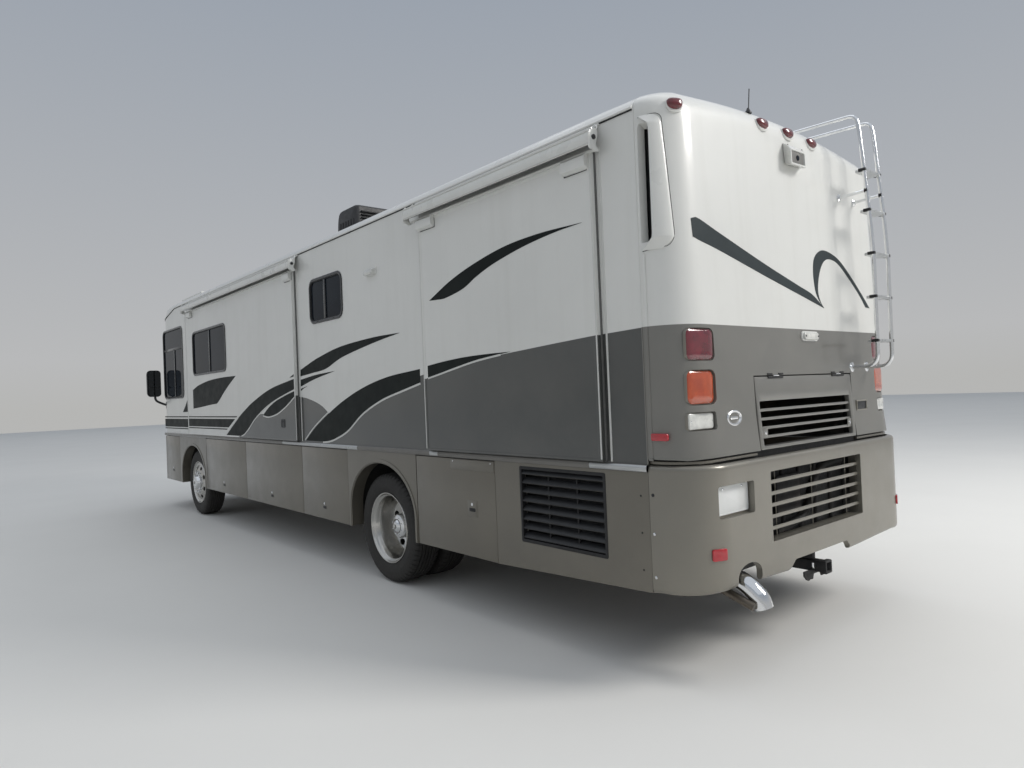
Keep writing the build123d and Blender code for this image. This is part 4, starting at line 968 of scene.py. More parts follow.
p = P("cap_markers", "coach", "lamp_lens", m_mark, m_white, m_reflex, m_clear, m_plastic)
for y, z in ((-0.302, 3.100), (0.003, 3.104), (0.305, 3.100), (-1.125, 3.026), (1.147, 3.028)):
    c = onto([[float(at_yz(y, z)[0]), y, z]])[0]
    g = grad(np.array([c]))[0]
    nrm = Vector(g)
    side_v = Vector((0, 0, 1)).cross(nrm).normalized()
    upv = nrm.cross(side_v)
    fr = Matrix((( side_v.x, upv.x, nrm.x, c[0]), (side_v.y, upv.y, nrm.y, c[1]), (side_v.z, upv.z, nrm.z, c[2]), (0, 0, 0, 1)))

    kw = 0.74 if abs(y) > 1 else 0.92

    def drop(w, h, o, n=28):
        w, h = w * kw, h * 1.08
        # teardrop outline, rounded below, flatter above
        out = []
        for k in range(n):
            t = 2 * math.pi * k / n
            cx, sz = math.cos(t), math.sin(t)
            out.append((w * math.copysign(abs(cx) ** (0.6 if sz > 0 else 0.85), cx), h * math.copysign(abs(sz) ** (0.6 if sz > 0 else 0.9), sz) * (0.70 if sz > 0 else 1.0), o))
        return out
    base = [drop(0.066, 0.044, -0.006), drop(0.066, 0.044, 0.003), drop(0.062, 0.040, 0.006)]
    p.loft([[tuple(fr @ Vector(q)) for q in lp] for lp in base], 1, caps=True)
    lens = [drop(0.060, 0.034, 0.004), drop(0.060, 0.034, 0.012), drop(0.056, 0.031, 0.020), drop(0.044, 0.024, 0.027), drop(0.024, 0.013, 0.031)]
    up = Vector((0, 0.004, 0))
    p.loft([[tuple(fr @ (Vector(q) + up)) for q in lp] for lp in lens], 0, caps=True)
# side markers on the cap
for s in (1, -1):
    a, b = (s * 1.272, s * 1.288)
    p.prism(rrect(-5.003, -4.894, 1.250, 1.290, 0.010, 4), "y", min(a, b), max(a, b), 2, bev=0.004)
# small oval lamp in the middle
xo = float(x_rear(1.815))
p.prism(rrect(-0.176, 0.030, 1.784, 1.846, 0.026, 7), "x", xo - 0.009, xo + 0.003, 1, bev=0.003)
p.prism(rrect(-0.166, 0.020, 1.792, 1.838, 0.021, 7), "x", xo - 0.022, xo - 0.006, 3, bev=0.006, seg=3)
for y in (-0.152, 0.006):
    p.lathe([(0, 0), (0, 0.006), (-0.003, 0.0055), (-0.004, 0)], (xo - 0.0215, y, 1.815), "x", 4, n=12, closed=False)
p.done()

# latch in its round bezel
p = P("fill_latch", "coach", "trim_aluminium", m_bright, m_blkgloss, m_pewter_lit)
lx = float(x_rear(LK[1]))


def oval(ry, rz, x, n=44):
    return [(x, LK[0] + ry * math.cos(2 * math.pi * k / n), LK[1] + rz * math.sin(2 * math.pi * k / n)) for k in range(n)]


p.loft([oval(0.0645, 0.0365, lx + 0.020), oval(0.072, 0.044, lx - 0.0005), oval(0.071, 0.043, lx - 0.004), oval(0.066, 0.038, lx - 0.0065), oval(0.058, 0.031, lx - 0.005), oval(0.052, 0.027, lx + 0.002), oval(0.051, 0.0265, lx + 0.020)], 0, wrap=True)
p.loft([oval(0.0515, 0.027, lx + 0.022), oval(0.0515, 0.027, lx + 0.010), oval(0.045, 0.022, lx + 0.006), oval(0.02, 0.01, lx + 0.005)], 1, caps=True)
p.prism(rrect(LK[0] - 0.034, LK[0] + 0.034, LK[1] - 0.0085, LK[1] + 0.0085, 0.008, 5), "x", lx - 0.004, lx + 0.010, 0, bev=0.0025)
p.done()
# plain pad on the cap
p = P("cap_pad", "coach", "pewter_paint", m_pewter_lit, m_plastic)
bx = float(x_rear(1.353))
p.ring(rrect(-0.818, -0.660, 1.314, 1.388, 0.008, 3), rrect(-0.808, -0.670, 1.324, 1.378, 0.005, 3), "x", bx + 0.002, bx - 0.005, 0, crown=0.0015)
p.prism(rrect(-0.809, -0.669, 1.323, 1.379, 0.005, 3), "x", bx - 0.0025, bx + 0.002, 1, bev=0.001)
p.done()

# ------------------------------------------------------------------ engine hatch
p = P("hatch_panel", "engine_hatch", "pewter_paint", m_cap, m_pewter_lit, m_blk, m_bright)


def rear_plate(p, outer, inner, o_out, o_in, mi, bev=0.004):
    """Frame-like plate on the leaning rear face; o is depth behind the face."""
    def at(lp, o):
        return [(float(x_rear(z)) + o, y, z) for y, z in lp]
    o2 = [(y, z) for y, z in outer]
    c = np.mean(outer, axis=0)

    def shrink(lp, d):
        out = []
        n = len(lp)
        for k in range(n):
            a, b = np.array(lp[k - 1]), np.array(lp[(k + 1) % n])
            t = b - a
            t /= np.linalg.norm(t) + 1e-9
            nn = np.array([t[1], -t[0]])
            q = np.array(lp[k]) - nn * d
            out.append(tuple(q))
        return out
    loops = [at(outer, o_in), at(outer, o_out + bev), at(shrink(outer, bev * 0.3), o_out + bev * 0.3), at(shrink(outer, bev), o_out)]
    if inner is not None:
        loops += [at(shrink(inner, -bev), o_out), at(shrink(inner, -bev * 0.3), o_out + bev * 0.3), at(inner, o_out + bev), at(inner, o_in)]
        p.loft(loops, mi, wrap=True)
    else:
        p.loft(loops, mi, caps=True)


HZ0, HZ1, HYY = 1.150, 1.569, 0.605
LY, LZ0, LZ1 = 0.565, 1.170, 1.427
rear_plate(p, rrect(-HYY, HYY, HZ0, HZ1, 0.012, 5), rrect(-LY, LY, LZ0, LZ1, 0.012, 5), 0.0, 0.030, 0)
ns = 4
for i in range(ns):
    z = LZ0 + (i + 1) * (LZ1 - LZ0) / (ns + 1)
    blade(p, float(x_rear(z)) + 0.008, z, -LY - 0.003, LY + 0.003, 0.016, 0.030, 0.012, 0)
for y in (-LY + 0.030, LY - 0.030):
    z = LZ0 + 0.078
    xx = float(x_rear(z))
    p.box(xx + 0.001, xx + 0.006, y - 0.028, y + 0.028, z - 0.030, z + 0.022, 0, bev=0.002)
    p.lathe([(0, 0), (0, 0.010), (-0.004, 0.009), (-0.006, 0)], (xx + 0.001, y, z - 0.004), "x", 3, n=16, closed=False)
for y in (0.375, -0.418):
    xx = float(x_rear(1.565))
    p.box(xx - 0.006, xx + 0.004, y - 0.085, y + 0.085, 1.557, 1.572, 2, bev=0.003)
    p.tube([(xx - 0.004, y - 0.030, 1.5735), (xx - 0.004, y + 0.030, 1.5735)], 0.0042, 3, n=10)
p.box(-5.100, -5.088, -LY - 0.02, LY + 0.02, LZ0 - 0.012, LZ0 + 0.002, 2, bev=0.002)
p.done(rep=("engine_hatch",))
p = P("hatch_hinges", "coach", "black_plastic", m_blk, m_bright)
for y in (0.375, -0.418):
    for dy in (-0.062, 0.062):
        xx = float(x_rear(1.58))
        p.box(xx - 0.0055, xx + 0.01, y + dy - 0.026, y + dy + 0.026, 1.5775, 1.588, 0, bev=0.002)
p.done()
# dark well behind the hatch and the frame round it
p = P("hatch_frame", "coach", "chassis_black", m_blk)
fx = lambda z, o: float(x_rear(z)) + o
p.ring(rrect(-0.64, 0.64, 1.10, 1.60, 0.01, 2), rrect(-0.575, 0.575, 1.155, 1.535, 0.01, 2), "x", -5.078, -5.060, 0)
p.done()

# ------------------------------------------------------------------ corner scoops
def cap_line(t, z, o):
    """Point and normal on the rear cap, t metres behind X = -4.88 along the side and round the corner."""
    xe = float(x_rear(z)) + 0.225
    L1 = -4.88 - xe
    if t < L1:
        q = (-4.88 - t, 1.275, 0.0, 1.0)
    else:
        a = (t - L1) / 0.225
        q = (xe - 0.225 * math.sin(a), 1.05 + 0.225 * math.cos(a), -math.sin(a), math.cos(a))
    return (q[0] + q[2] * o, q[1] + q[3] * o, z)


p = P("corner_scoops", "coach", "body_paint", m_white, m_blk)
for s in (1, -1):
    zs_ = [2.262, 2.272, 2.285, 2.30, 2.312, 2.320, 2.326, 2.34] + lin(2.38, 2.88, 12) + [2.905, 2.918, 2.926, 2.934, 2.944, 2.955, 2.966, 2.976, 2.982]
    ks = [0.0, 0.01, 0.03, 0.06, 0.10, 0.16, 0.24, 0.33, 0.42, 0.52, 0.62, 0.71, 0.79, 0.86, 0.91, 0.95, 0.98, 1.0]
    outer, inner = [], []
    for z in zs_:
        xe = float(x_rear(z)) + 0.225
        L1 = -4.88 - xe
        ang = math.radians(np.interp(z, [2.26, 2.30, 2.322, 2.684, 2.93, 2.95, 2.968, 2.982], [33.0, 47.0, 51.0, 47.2, 44.2, 43.0, 39.5, 33.0]))
        t1 = L1 + 0.225 * ang
        # the lip runs forward along the sloping foot and head of the scoop
        t0 = float(np.interp(z, [2.262, 2.318, 2.34, 2.90, 2.930, 2.982], [0.004, 0.066, 0.069, 0.066, 0.060, 0.006]))
        ra, rb_ = [], []
        for k in ks:
            t = t0 + (t1 - t0) * k
            foot = min(1.0, max(0.0, (z - 2.258) / 0.062))
            head = min(1.0, max(0.0, (2.986 - z) / 0.056)) ** 0.8
            lip = min(1.0, 0.80 + 0.20 * (k / 0.06)) if k < 0.06 else 1.0
            fall = (1 - k) ** 0.55 if k > 0.0 else 1.0
            h = 0.0045 + 0.034 * foot * head * lip * fall
            if k == 1.0:
                h = 0.003
            ra.append(cap_line(t, z, h))
            rb_.append(cap_line(t, z, -0.004 if not (2.30 < z < 2.95) or k > 0.02 else -0.012))
        outer.append([(a[0], s * a[1], a[2]) for a in ra])
        inner.append([(a[0], s * a[1], a[2]) for a in rb_])
    nt_, nz = len(ks), len(zs_)
    v = [c for r in outer for c in r] + [c for r in inner for c in r]
    off = nt_ * nz
    f = []
    for i in range(nz - 1):
        for j in range(nt_ - 1):
            a = i * nt_ + j
            f.append((a, a + 1, a + nt_ + 1, a + nt_))
            f.append((off + a, off + a + nt_, off + a + nt_ + 1, off + a + 1))
    for j in range(nt_ - 1):
        f.append((j, off + j, off + j + 1, j + 1))
        a = (nz - 1) * nt_ + j
        f.append((a, a + 1, off + a + 1, off + a))
    for i in range(nz - 1):
        a = i * nt_
        f.append((a, a + nt_, off + a + nt_, off + a))
        a = i * nt_ + nt_ - 1
        f.append((a, off + a, off + a + nt_, a + nt_))
    p.raw(v, f, 0)
    # joint line along the scoop's edge
    edge = []
    for k in range(0, 7):
        edge.append(cap_line(0.006 + 0.070 * k / 6, 2.9775 + 0.008 * k / 6, 0.0004))
    for k in range(1, 8):
        a = k / 8 * math.pi / 2
        xe = float(x_rear(2.94)) + 0.225
        te = -4.88 - xe + 0.225 * math.radians(44.2) + 0.003
        edge.append(cap_line(te - 0.040 + 0.040 * math.sin(a), 2.9465 + 0.039 * math.cos(a), 0.0004))
    for z in lin(2.36, 2.94, 14)[::-1]:
        xe = float(x_rear(z)) + 0.225
        ang = math.radians(np.interp(z, [2.322, 2.684, 2.93], [51.0, 47.2, 44.2]))
        edge.append(cap_line(-4.88 - xe + 0.225 * ang + 0.003, z, 0.0004))
    xe = float(x_rear(2.30)) + 0.225
    ta = -4.88 - xe + 0.225 * math.radians(50.7) + 0.003
    for k in range(1, 9):
        a = k / 8 * math.pi / 2
        edge.append(cap_line(ta - 0.045 * (1 - math.cos(a)), 2.345 - 0.060 * math.sin(a) - 0.012 * (1 - math.cos(a)), 0.0004))
    for k in range(1, 9):
        te = ta - 0.045 - (ta - 0.045 - 0.004) * k / 8
        edge.append(cap_line(te, 2.273 - 0.014 * k / 8, 0.0004))
    p.tube([(a[0], s * a[1], a[2]) for a in edge], 0.0016, 1, n=6)
scoops = p.done(angle=38)
# black blocks in the scoop throats, by the lip and behind the cut, so the intakes read dark: painted shade
p = P("scoop_slots", "coach", "black_plastic", m_blk)
for s in (1, -1):
    a, b_ = sorted((s * 1.2455, s * 1.2600))
    p.box(-4.9690, -4.9385, a, b_, 2.322, 2.925, 0, bev=0.002)
    p.box(-4.990, -4.866, min(s * 1.185, s * 1.208), max(s * 1.185, s * 1.208), 2.290, 2.960, 0, bev=0.003)
p.done()

# ------------------------------------------------------------------ reversing camera
p = P("camera_housing", "coach", "body_paint", m_white, m_blkgloss, m_glass, m_blk, m_railgrey)


def cam_pt(y, z, o):
    return (float(x_rear(z)) - o, y, z)


def chamfer(poly, d):
    out = []
    n = len(poly)
    for k in range(n):
        c, a, b = np.array(poly[k]), np.array(poly[k - 1]), np.array(poly[(k + 1) % n])
        for q in (a, b):
            out.append(tuple(c + (q - c) / np.linalg.norm(q - c) * d))
        m = (np.array(out[-1]) + np.array(out[-2])) / 2
        out.insert(-1, tuple(m + (c - m) * 0.42))
    return out


# hood with a sloping top; its face carries a wide grey window set into a rim
rows = [
    (0.004, [(0.078, 3.030), (-0.128, 3.030), (-0.128, 2.902), (0.072, 2.898)], 0.012, 0),
    (0.012, [(0.080, 3.026), (-0.124, 3.026), (-0.122, 2.898), (0.076, 2.894)], 0.012, 0),
    (0.036, [(0.090, 3.006), (-0.104, 3.007), (-0.102, 2.889), (0.090, 2.884)], 0.010, 0),
    (0.060, [(0.100, 2.980), (-0.084, 2.982), (-0.083, 2.881), (0.104, 2.875)], 0.009, 0),
    (0.064, [(0.098, 2.976), (-0.081, 2.978), (-0.080, 2.884), (0.101, 2.879)], 0.008, 0),
    (0.064, [(0.090, 2.968), (-0.072, 2.970), (-0.072, 2.892), (0.093, 2.887)], 0.007, 0),
    (0.052, [(0.087, 2.965), (-0.069, 2.967), (-0.069, 2.895), (0.090, 2.890)], 0.006, 0),
]
p.loft([[cam_pt(y, z, o) for y, z in chamfer(q, d)] for o, q, d, _ in rows], 0, caps=True)
win = [(0.086, 2.964), (-0.068, 2.966), (-0.068, 2.896), (0.089, 2.891)]
wc = np.mean(np.array(win), axis=0)
p.loft([[cam_pt(y, z, o) for y, z in chamfer([tuple(wc + (np.array(c) - wc) * f) for c in win], 0.005)] for o, f in ((0.050, 1.0), (0.0555, 1.0), (0.0575, 0.96), (0.0585, 0.6))], 4, caps=True)
p.lathe([(0.0, 0.0), (0.0, 0.017), (-0.003, 0.0165), (-0.0035, 0.012), (-0.001, 0.0)], (float(x_rear(2.93)) - 0.0585, 0.010, 2.929), "x", 2, n=28, closed=False)
for y in (0.062, -0.112):
    p.lathe([(0, 0), (0, 0.0055), (-0.003, 0.005), (-0.004, 0)], cam_pt(y + (0.008 if y > 0 else 0.004), 3.010, 0.030), "x", 1, n=12, closed=False)
p.done(angle=28)

# ------------------------------------------------------------------ ladder
LYN, LYF = -0.640, -0.868


def lad_x(z):
    return float(np.interp(z, [1.6, 2.35, 2.60, 2.86, 3.22, 3.30], [-5.280, -5.283, -5.272, -5.253, -5.226, -5.219]))


p = P("ladder_frame", "coach", "polished_alloy", m_bright, m_blk, m_alu)
for y in (LYN, LYF):
    xb = float(x_rear(1.615))
    path = soft([(xb + 0.002, y, 1.615), (lad_x(1.615), y, 1.615), (lad_x(2.35), y, 2.35), (lad_x(2.62), y, 2.62), (lad_x(3.2), y, 3.20), (-5.212, y, 3.318), (-4.66, y, 3.338), (-4.47, y, float(z_crown(y)) + 0.001)], 0.090, 8)
    p.tube(path, 0.013, 0, n=14)
    p.lathe([(0.0, 0.0), (0.0, 0.034), (-0.004, 0.033), (-0.008, 0.020), (-0.008, 0.0)], (xb, y, 1.615), "x", 0, n=24, closed=False)
    p.lathe([(0.0, 0.0), (0.0, 0.040), (0.004, 0.039), (0.008, 0.022), (0.008, 0.0)], (-4.47, y, float(z_crown(y)) - 0.001), "z", 0, n=24, closed=False)
    xs2 = float(x_rear(2.785))
    p.tube([(xs2 + 0.002, y, 2.785), (lad_x(2.79) + 0.004, y, 2.795)], 0.0105, 0, n=12)
    p.lathe([(0.0, 0.0), (0.0, 0.026), (-0.006, 0.025), (-0.014, 0.014), (-0.014, 0.0)], (xs2, y, 2.785), "x", 0, n=20, closed=False)
    p.lathe([(-0.010, 0.0), (-0.010, 0.0165), (0.010, 0.0165), (0.010, 0.0)], (lad_x(2.795) + 0.002, y, 2.795), "x", 1, n=16, closed=False)
for z in (1.785, 2.080, 2.370, 2.662, 2.938):
    y0, y1 = LYF + 0.006, LYN - 0.006
    X = lad_x(z)
    # tread: shallow channel with ribs on top
    sec = [(X - 0.011, z - 0.010), (X + 0.060, z - 0.010), (X + 0.060, z + 0.006), (X + 0.052, z + 0.009), (X + 0.044, z + 0.007), (X + 0.036, z + 0.009), (X + 0.028, z + 0.007),
           (X + 0.020, z + 0.009), (X + 0.012, z + 0.007), (X + 0.004, z + 0.009), (X - 0.006, z + 0.009), (X - 0.011, z + 0.005)]
    p.prism(sec, "y", y0, y1, 2)
    for ya, yb in ((LYN - 0.008, LYN + 0.0155), (LYF - 0.0155, LYF + 0.004)):
        p.box(X - 0.013, X + 0.034, ya, yb, z - 0.0105, z + 0.0095, 1, bev=0.003)
p.done(angle=30, rep=("ladder",))

# ------------------------------------------------------------------ exhaust and hitch
p = P("tail_pipe", "coach", "chrome", m_chrome, m_cast, m_brown)
pipe = soft([(-3.700, 0.420, 0.560), (-4.300, 0.700, 0.500), (-4.800, 0.850, 0.490)], 0.12)
p.tube(pipe, 0.042, 1, n=18)
tip = soft([(-4.790, 0.850, 0.490), (-5.060, 0.866, 0.486), (-5.160, 0.862, 0.455), (-5.228, 0.850, 0.388), (-5.243, 0.846, 0.338)], 0.075, 8)
rr = [0.046] + [0.054] * (len(tip) - 1)
o = P("x", None, None).tube(tip, rr, n=28, caps=False)
i_ = P("x", None, None).tube(tip, [q - 0.003 for q in rr], n=28, caps=False)
nn = 28
L = len(tip)
v = o.v + i_.v
f = list(o.f) + [tuple(k + len(o.v) for k in reversed(q)) for q in i_.f]
for k in range(nn):
    j = (k + 1) % nn
    a, b = (L - 1) * nn + k, (L - 1) * nn + j
    f.append((a, b, len(o.v) + b, len(o.v) + a))
    f.append((j, k, len(o.v) + k, len(o.v) + j))
p.raw(v, f, 0)
p.tube([(-5.02, 0.856, 0.555), (-5.02, 0.856, 0.64)], 0.010, 1, n=10)
p.box(-5.035, -5.005, 0.80, 0.915, 0.535, 0.545, 1, bev=0.002)
p.tube(soft([(-4.70, 0.935, 0.47), (-4.98, 0.940, 0.455), (-5.090, 0.936, 0.412), (-5.232, 0.916, 0.356)], 0.06), 0.023, 2, n=16)
p.done(rep=("exhaust_pipe",))

p = P("hitch_bar", "coach", "chassis_black", m_under, m_bright, m_blk)
HZc, hs, hb = 0.386, 0.038, 0.0255
def sq(x, h, r=0.006):
    return [(x, y, HZc + z) for y, z in rrect(-h, h, -h, h, r, 3)]
p.loft([sq(-4.70, hs - 0.004), sq(-5.165, hs - 0.004), sq(-5.165, hs + 0.002), sq(-5.191, hs + 0.002), sq(-5.195, hs - 0.001), sq(-5.195, hb + 0.003, 0.003), sq(-5.190, hb, 0.002), sq(-4.86, hb, 0.002)], 0, caps=True)
p.box(-4.790, -4.700, -0.480, 0.480, HZc - 0.030, HZc + 0.050, 0, bev=0.006)
for y in (0.44, -0.44):
    p.box(-4.790, -4.700, y - 0.040, y + 0.040, HZc, 0.664, 0, bev=0.006)
pl = [(-0.16, 0.372), (-0.16, 0.345), (-0.13, 0.315), (-0.055, 0.310), (-0.045, 0.340), (0.045, 0.340), (0.055, 0.310), (0.13, 0.315), (0.16, 0.345), (0.16, 0.372)]
p.prism(pl, "x", -5.120, -5.108, 0, bev=0.003)
for y in (-0.105, 0.105):
    p.tube([(-5.114 + 0.0, y + 0.022 * math.cos(t), 0.335 + 0.022 * math.sin(t)) for t in np.linspace(0, 2 * math.pi, 16, endpoint=False)], 0.006, 0, n=8, closed=True)
p.box(-5.10, -4.72, -0.022, 0.022, HZc + hs - 0.002, HZc + hs + 0.045, 0, bev=0.004)
p.tube([(-5.130, -0.058, HZc), (-5.130, 0.056, HZc)], 0.0072, 1, n=14)
p.tube(soft([(-5.130, 0.056, HZc), (-5.130, 0.074, HZc), (-5.130, 0.074, HZc + 0.030)], 0.014), 0.0072, 1, n=12)
p.box(-5.02, -4.99, 0.17, 0.28, 0.452, 0.505, 2, bev=0.006)
p.tube([(-5.03, 0.225, 0.478), (-5.048, 0.225, 0.478)], 0.020, 2, n=18)
p.done(rep=("hitch_receiver",))
# ------------------------------------------------------------------ stripes
def decal(p, top, bot, y, mi, s=1, n=44, t=0.0013, smooth=True):
    """Thin closed strip between two curves of (X, z) points on the plane y."""
    a = catmull(top, n) if smooth else np.array([np.array(top[0]) + (np.array(top[-1]) - np.array(top[0])) * k / (n - 1) for k in range(n)])
    b = catmull(bot, n) if smooth else np.array([np.array(bot[0]) + (np.array(bot[-1]) - np.array(bot[0])) * k / (n - 1) for k in range(n)])
    loops = []
    for k in range(n):
        loops.append([(a[k][0], s * (y - 0.0006), a[k][1]), (a[k][0], s * (y + t), a[k][1]), (b[k][0], s * (y + t), b[k][1]), (b[k][0], s * (y - 0.0006), b[k][1])])
    return p.loft(loops, mi, caps=True)


def line_of(pts, w, side=1, n=60, taper=0.0):
    """The two edges of a band of width w beside a curve."""
    q = catmull(pts, n)
    d = np.gradient(q, axis=0)
    d /= np.linalg.norm(d, axis=1)[:, None] + 1e-12
    nn = np.stack([-d[:, 1], d[:, 0]], 1) * side
    ww = np.full(n, w)
    return q, q + nn * ww[:, None]


def light_line(p, pts, y, mi, w=0.016, side=1, s=1, n=60, t=0.0017):
    a, b = line_of(pts, w, side, n)
    loops = []
    for k in range(n):
        loops.append([(a[k][0], s * (y - 0.0006), a[k][1]), (a[k][0], s * (y + t), a[k][1]), (b[k][0], s * (y + t), b[k][1]), (b[k][0], s * (y - 0.0006), b[k][1])])
    return p.loft(loops, mi, caps=True)


LEAF_T = [(3.234, 1.758), (2.95, 1.815), (2.47, 1.863), (1.95, 1.880), (1.432, 1.879)]
LEAF_B = [(3.240, 1.492), (2.85, 1.512), (2.509, 1.534), (2.30, 1.545), (2.152, 1.562), (1.886, 1.692), (1.66, 1.79), (1.432, 1.879)]
W1_T = [(1.883, 1.135), (1.62, 1.262), (1.374, 1.371), (1.12, 1.468), (0.856, 1.555), (0.326, 1.685), (-0.347, 1.773)]
W1_B = [(1.398, 1.135), (1.29, 1.152), (1.174, 1.183), (1.02, 1.255), (0.878, 1.335), (0.68, 1.418), (0.47, 1.49), (0.24, 1.552), (-0.022, 1.607), (-0.347, 1.667)]
L2_T = [(0.574, 1.396), (0.38, 1.486), (0.158, 1.555), (-0.08, 1.603), (-0.347, 1.647)]
L2_B = [(0.574, 1.396), (0.47, 1.383), (0.356, 1.384), (0.16, 1.413), (-0.008, 1.462), (-0.17, 1.523), (-0.347, 1.600)]
MA_T = [(-0.406, 1.856), (-0.62, 1.908), (-0.85, 1.957), (-1.309, 2.025), (-1.909, 2.057), (-2.37, 2.058)]
MA_B = [(-0.401, 1.790), (-0.70, 1.812), (-1.00, 1.838), (-1.343, 1.925), (-1.905, 2.006), (-2.37, 2.056)]
MB_T = [(-0.397, 1.755), (-0.739, 1.787), (-1.000, 1.800), (-1.181, 1.807)]
MB_B = [(-0.390, 1.684), (-0.62, 1.728), (-0.833, 1.762), (-1.181, 1.806)]
MC_T = [(-0.397, 1.662), (-0.47, 1.674), (-0.555, 1.684)]
MC_B = [(-0.397, 1.640), (-0.47, 1.665), (-0.555, 1.683)]
W2_T = [(-0.481, 1.135), (-0.68, 1.252), (-0.892, 1.351), (-1.264, 1.499), (-1.685, 1.623), (-2.133, 1.706), (-2.655, 1.749)]
W2_B = [(-0.874, 1.135), (-1.03, 1.148), (-1.194, 1.184), (-1.413, 1.256), (-1.706, 1.409), (-2.049, 1.523), (-2.393, 1.593), (-2.655, 1.643)]
T2_T = [(-2.826, 1.764), (-3.05, 1.784), (-3.305, 1.799), (-3.55, 1.803), (-3.8, 1.802)]
T2_B = [(-2.826, 1.675), (-3.0, 1.702), (-3.169, 1.730), (-3.429, 1.769), (-3.8, 1.801)]
BL_T = [(-2.883, 2.250), (-3.159, 2.356), (-3.449, 2.432), (-3.782, 2.489), (-4.119, 2.506), (-4.485, 2.496)]
BL_B = [(-2.883, 2.249), (-2.99, 2.243), (-3.096, 2.242), (-3.312, 2.279), (-3.468, 2.339), (-3.663, 2.396), (-3.953, 2.451), (-4.234, 2.483), (-4.485, 2.495)]
TRI = [(3.560, 1.619), (3.776, 1.454), (3.569, 1.465)]


def edge_x(z):
    return 1.447 + (1.377 - z) * 2.34


def bars(p, x0, y, s=1, cut_end=True, x1=3.508, zs=((1.370, 1.384), (1.243, 1.350), (1.214, 1.228))):
    for z0, z1 in zs:
        if cut_end:
            decal(p, [(edge_x(z1), z1), (x1, z1)], [(edge_x(z0), z0), (x1, z0)], y, 0, s, n=3, smooth=False)
        else:
            decal(p, [(x0, z1), (x1, z1)], [(x0, z0), (x1, z0)], y, 0, s, n=3, smooth=False)


ys = 1.3140
p = P("stripes_front_slide", "front_slide", "trim_aluminium", m_black, m_line)
decal(p, LEAF_T, LEAF_B, ys, 0)
decal(p, W1_T, W1_B, ys, 0)
decal(p, L2_T, L2_B, ys, 0)
decal(p, [(-0.215, 1.787), (-0.28, 1.806), (-0.347, 1.826)], [(-0.215, 1.786), (-0.28, 1.789), (-0.347, 1.800)], ys, 0, n=12)
bars(p, 0, ys)
light_line(p, [(1.900, 1.137), (1.64, 1.262), (1.392, 1.375)], ys, 1, 0.015, 1, n=20)
light_line(p, W1_B, ys, 1, 0.015, 1)
light_line(p, L2_B, ys, 1, 0.014, 1)
p.done()
p = P("stripes_rear_slide", "rear_slide", "trim_aluminium", m_black, m_line)
decal(p, T2_T, T2_B, ys, 0)
decal(p, BL_T, BL_B, ys, 0)
light_line(p, T2_B[:-1] + [(-3.70, 1.795)], ys, 1, 0.013, 1)
p.done()
yw = 1.2750
p = P("stripes_left_wall", "coach", "trim_aluminium", m_black, m_line)
decal(p, MA_T, MA_B, yw, 0)
decal(p, MB_T, MB_B, yw, 0)
decal(p, MC_T, MC_B, yw, 0, n=10)
decal(p, W2_T, W2_B, yw, 0)
light_line(p, [(-0.462, 1.135), (-0.67, 1.256), (-0.885, 1.356), (-1.02, 1.412)], yw, 1, 0.014, -1)
light_line(p, W2_B, yw, 1, 0.016, 1)
decal(p, [(3.640, 1.652), (3.770, 1.548), (3.925, 1.443)], [(3.565, 1.640), (3.565, 1.54), (3.565, 1.450)], yw, 0, n=12)
bars(p, 3.585, yw, cut_end=False, x1=4.953, zs=((1.366, 1.382), (1.220, 1.343), (1.190, 1.205)))
p.done()
# the right side carries the same pattern, over the entry door too
p = P("stripes_right_wall", "coach", "trim_aluminium", m_black, m_line)
decal(p, LEAF_T, LEAF_B, yw, 0, -1)
decal(p, W1_T[:-1] + [(-0.40, 1.775)], W1_B[:-1] + [(-0.40, 1.675)], yw, 0, -1)
decal(p, [(-0.40, 1.775)] + MB_T[1:], [(-0.40, 1.675)] + MB_B[1:], yw, 0, -1)
decal(p, L2_T, L2_B, yw, 0, -1)
decal(p, [(-0.347, 1.647)] + MC_T[1:], [(-0.347, 1.600), (-0.42, 1.640)] + MC_B[2:], yw, 0, -1)
decal(p, [(-0.215, 1.787), (-0.35, 1.835)] + MA_T[1:], [(-0.215, 1.786), (-0.35, 1.800)] + MA_B[1:], yw, 0, -1)
decal(p, W2_T[:-1] + [(-2.74, 1.753)] + T2_T[1:], W2_B[:-1] + [(-2.74, 1.664)] + T2_B[1:], yw, 0, -1)
bars(p, 0, yw, -1, x1=4.142)
bars(p, 4.870, yw, -1, cut_end=False, x1=4.953)
light_line(p, [(1.900, 1.137), (1.64, 1.262), (1.392, 1.375)], yw, 1, 0.015, 1, -1, n=20)
light_line(p, W1_B[:-1] + [(-0.40, 1.675)] + MB_B[1:2], yw, 1, 0.015, 1, -1)
light_line(p, L2_B, yw, 1, 0.014, 1, -1)
light_line(p, W2_B[:-1] + [(-2.74, 1.664)] + T2_B[1:-1] + [(-3.70, 1.795)], yw, 1, 0.016, 1, -1)
p.done()
p = P("stripes_entry_door", "entry_door", "trim_aluminium", m_black, m_line)
bars(p, 4.156, 1.2752, -1, cut_end=False, x1=4.854)
p.done()

# swoosh on the rear face
p = P("stripe_rear", "coach", "trim_aluminium", m_slate)


def rear_decal(p, a, b, mi, n=40):
    A, B = catmull(a, n), catmull(b, n)
    loops = []
    for k in range(n):
        w = [A[k], A[k] * 0.5 + B[k] * 0.5, B[k]]
        lo, hi = [], []
        for (y, z) in w:
            x = float(at_yz(y, z)[0])
            g = grad(np.array([[x, y, z]]))[0]
            lo.append(tuple(np.array([x, y, z]) - g * 0.0006))
            hi.append(tuple(np.array([x, y, z]) + g * 0.0014))
        loops.append([lo[0], hi[0], hi[1], hi[2], lo[2], lo[1]])
    return p.loft(loops, mi, caps=True)


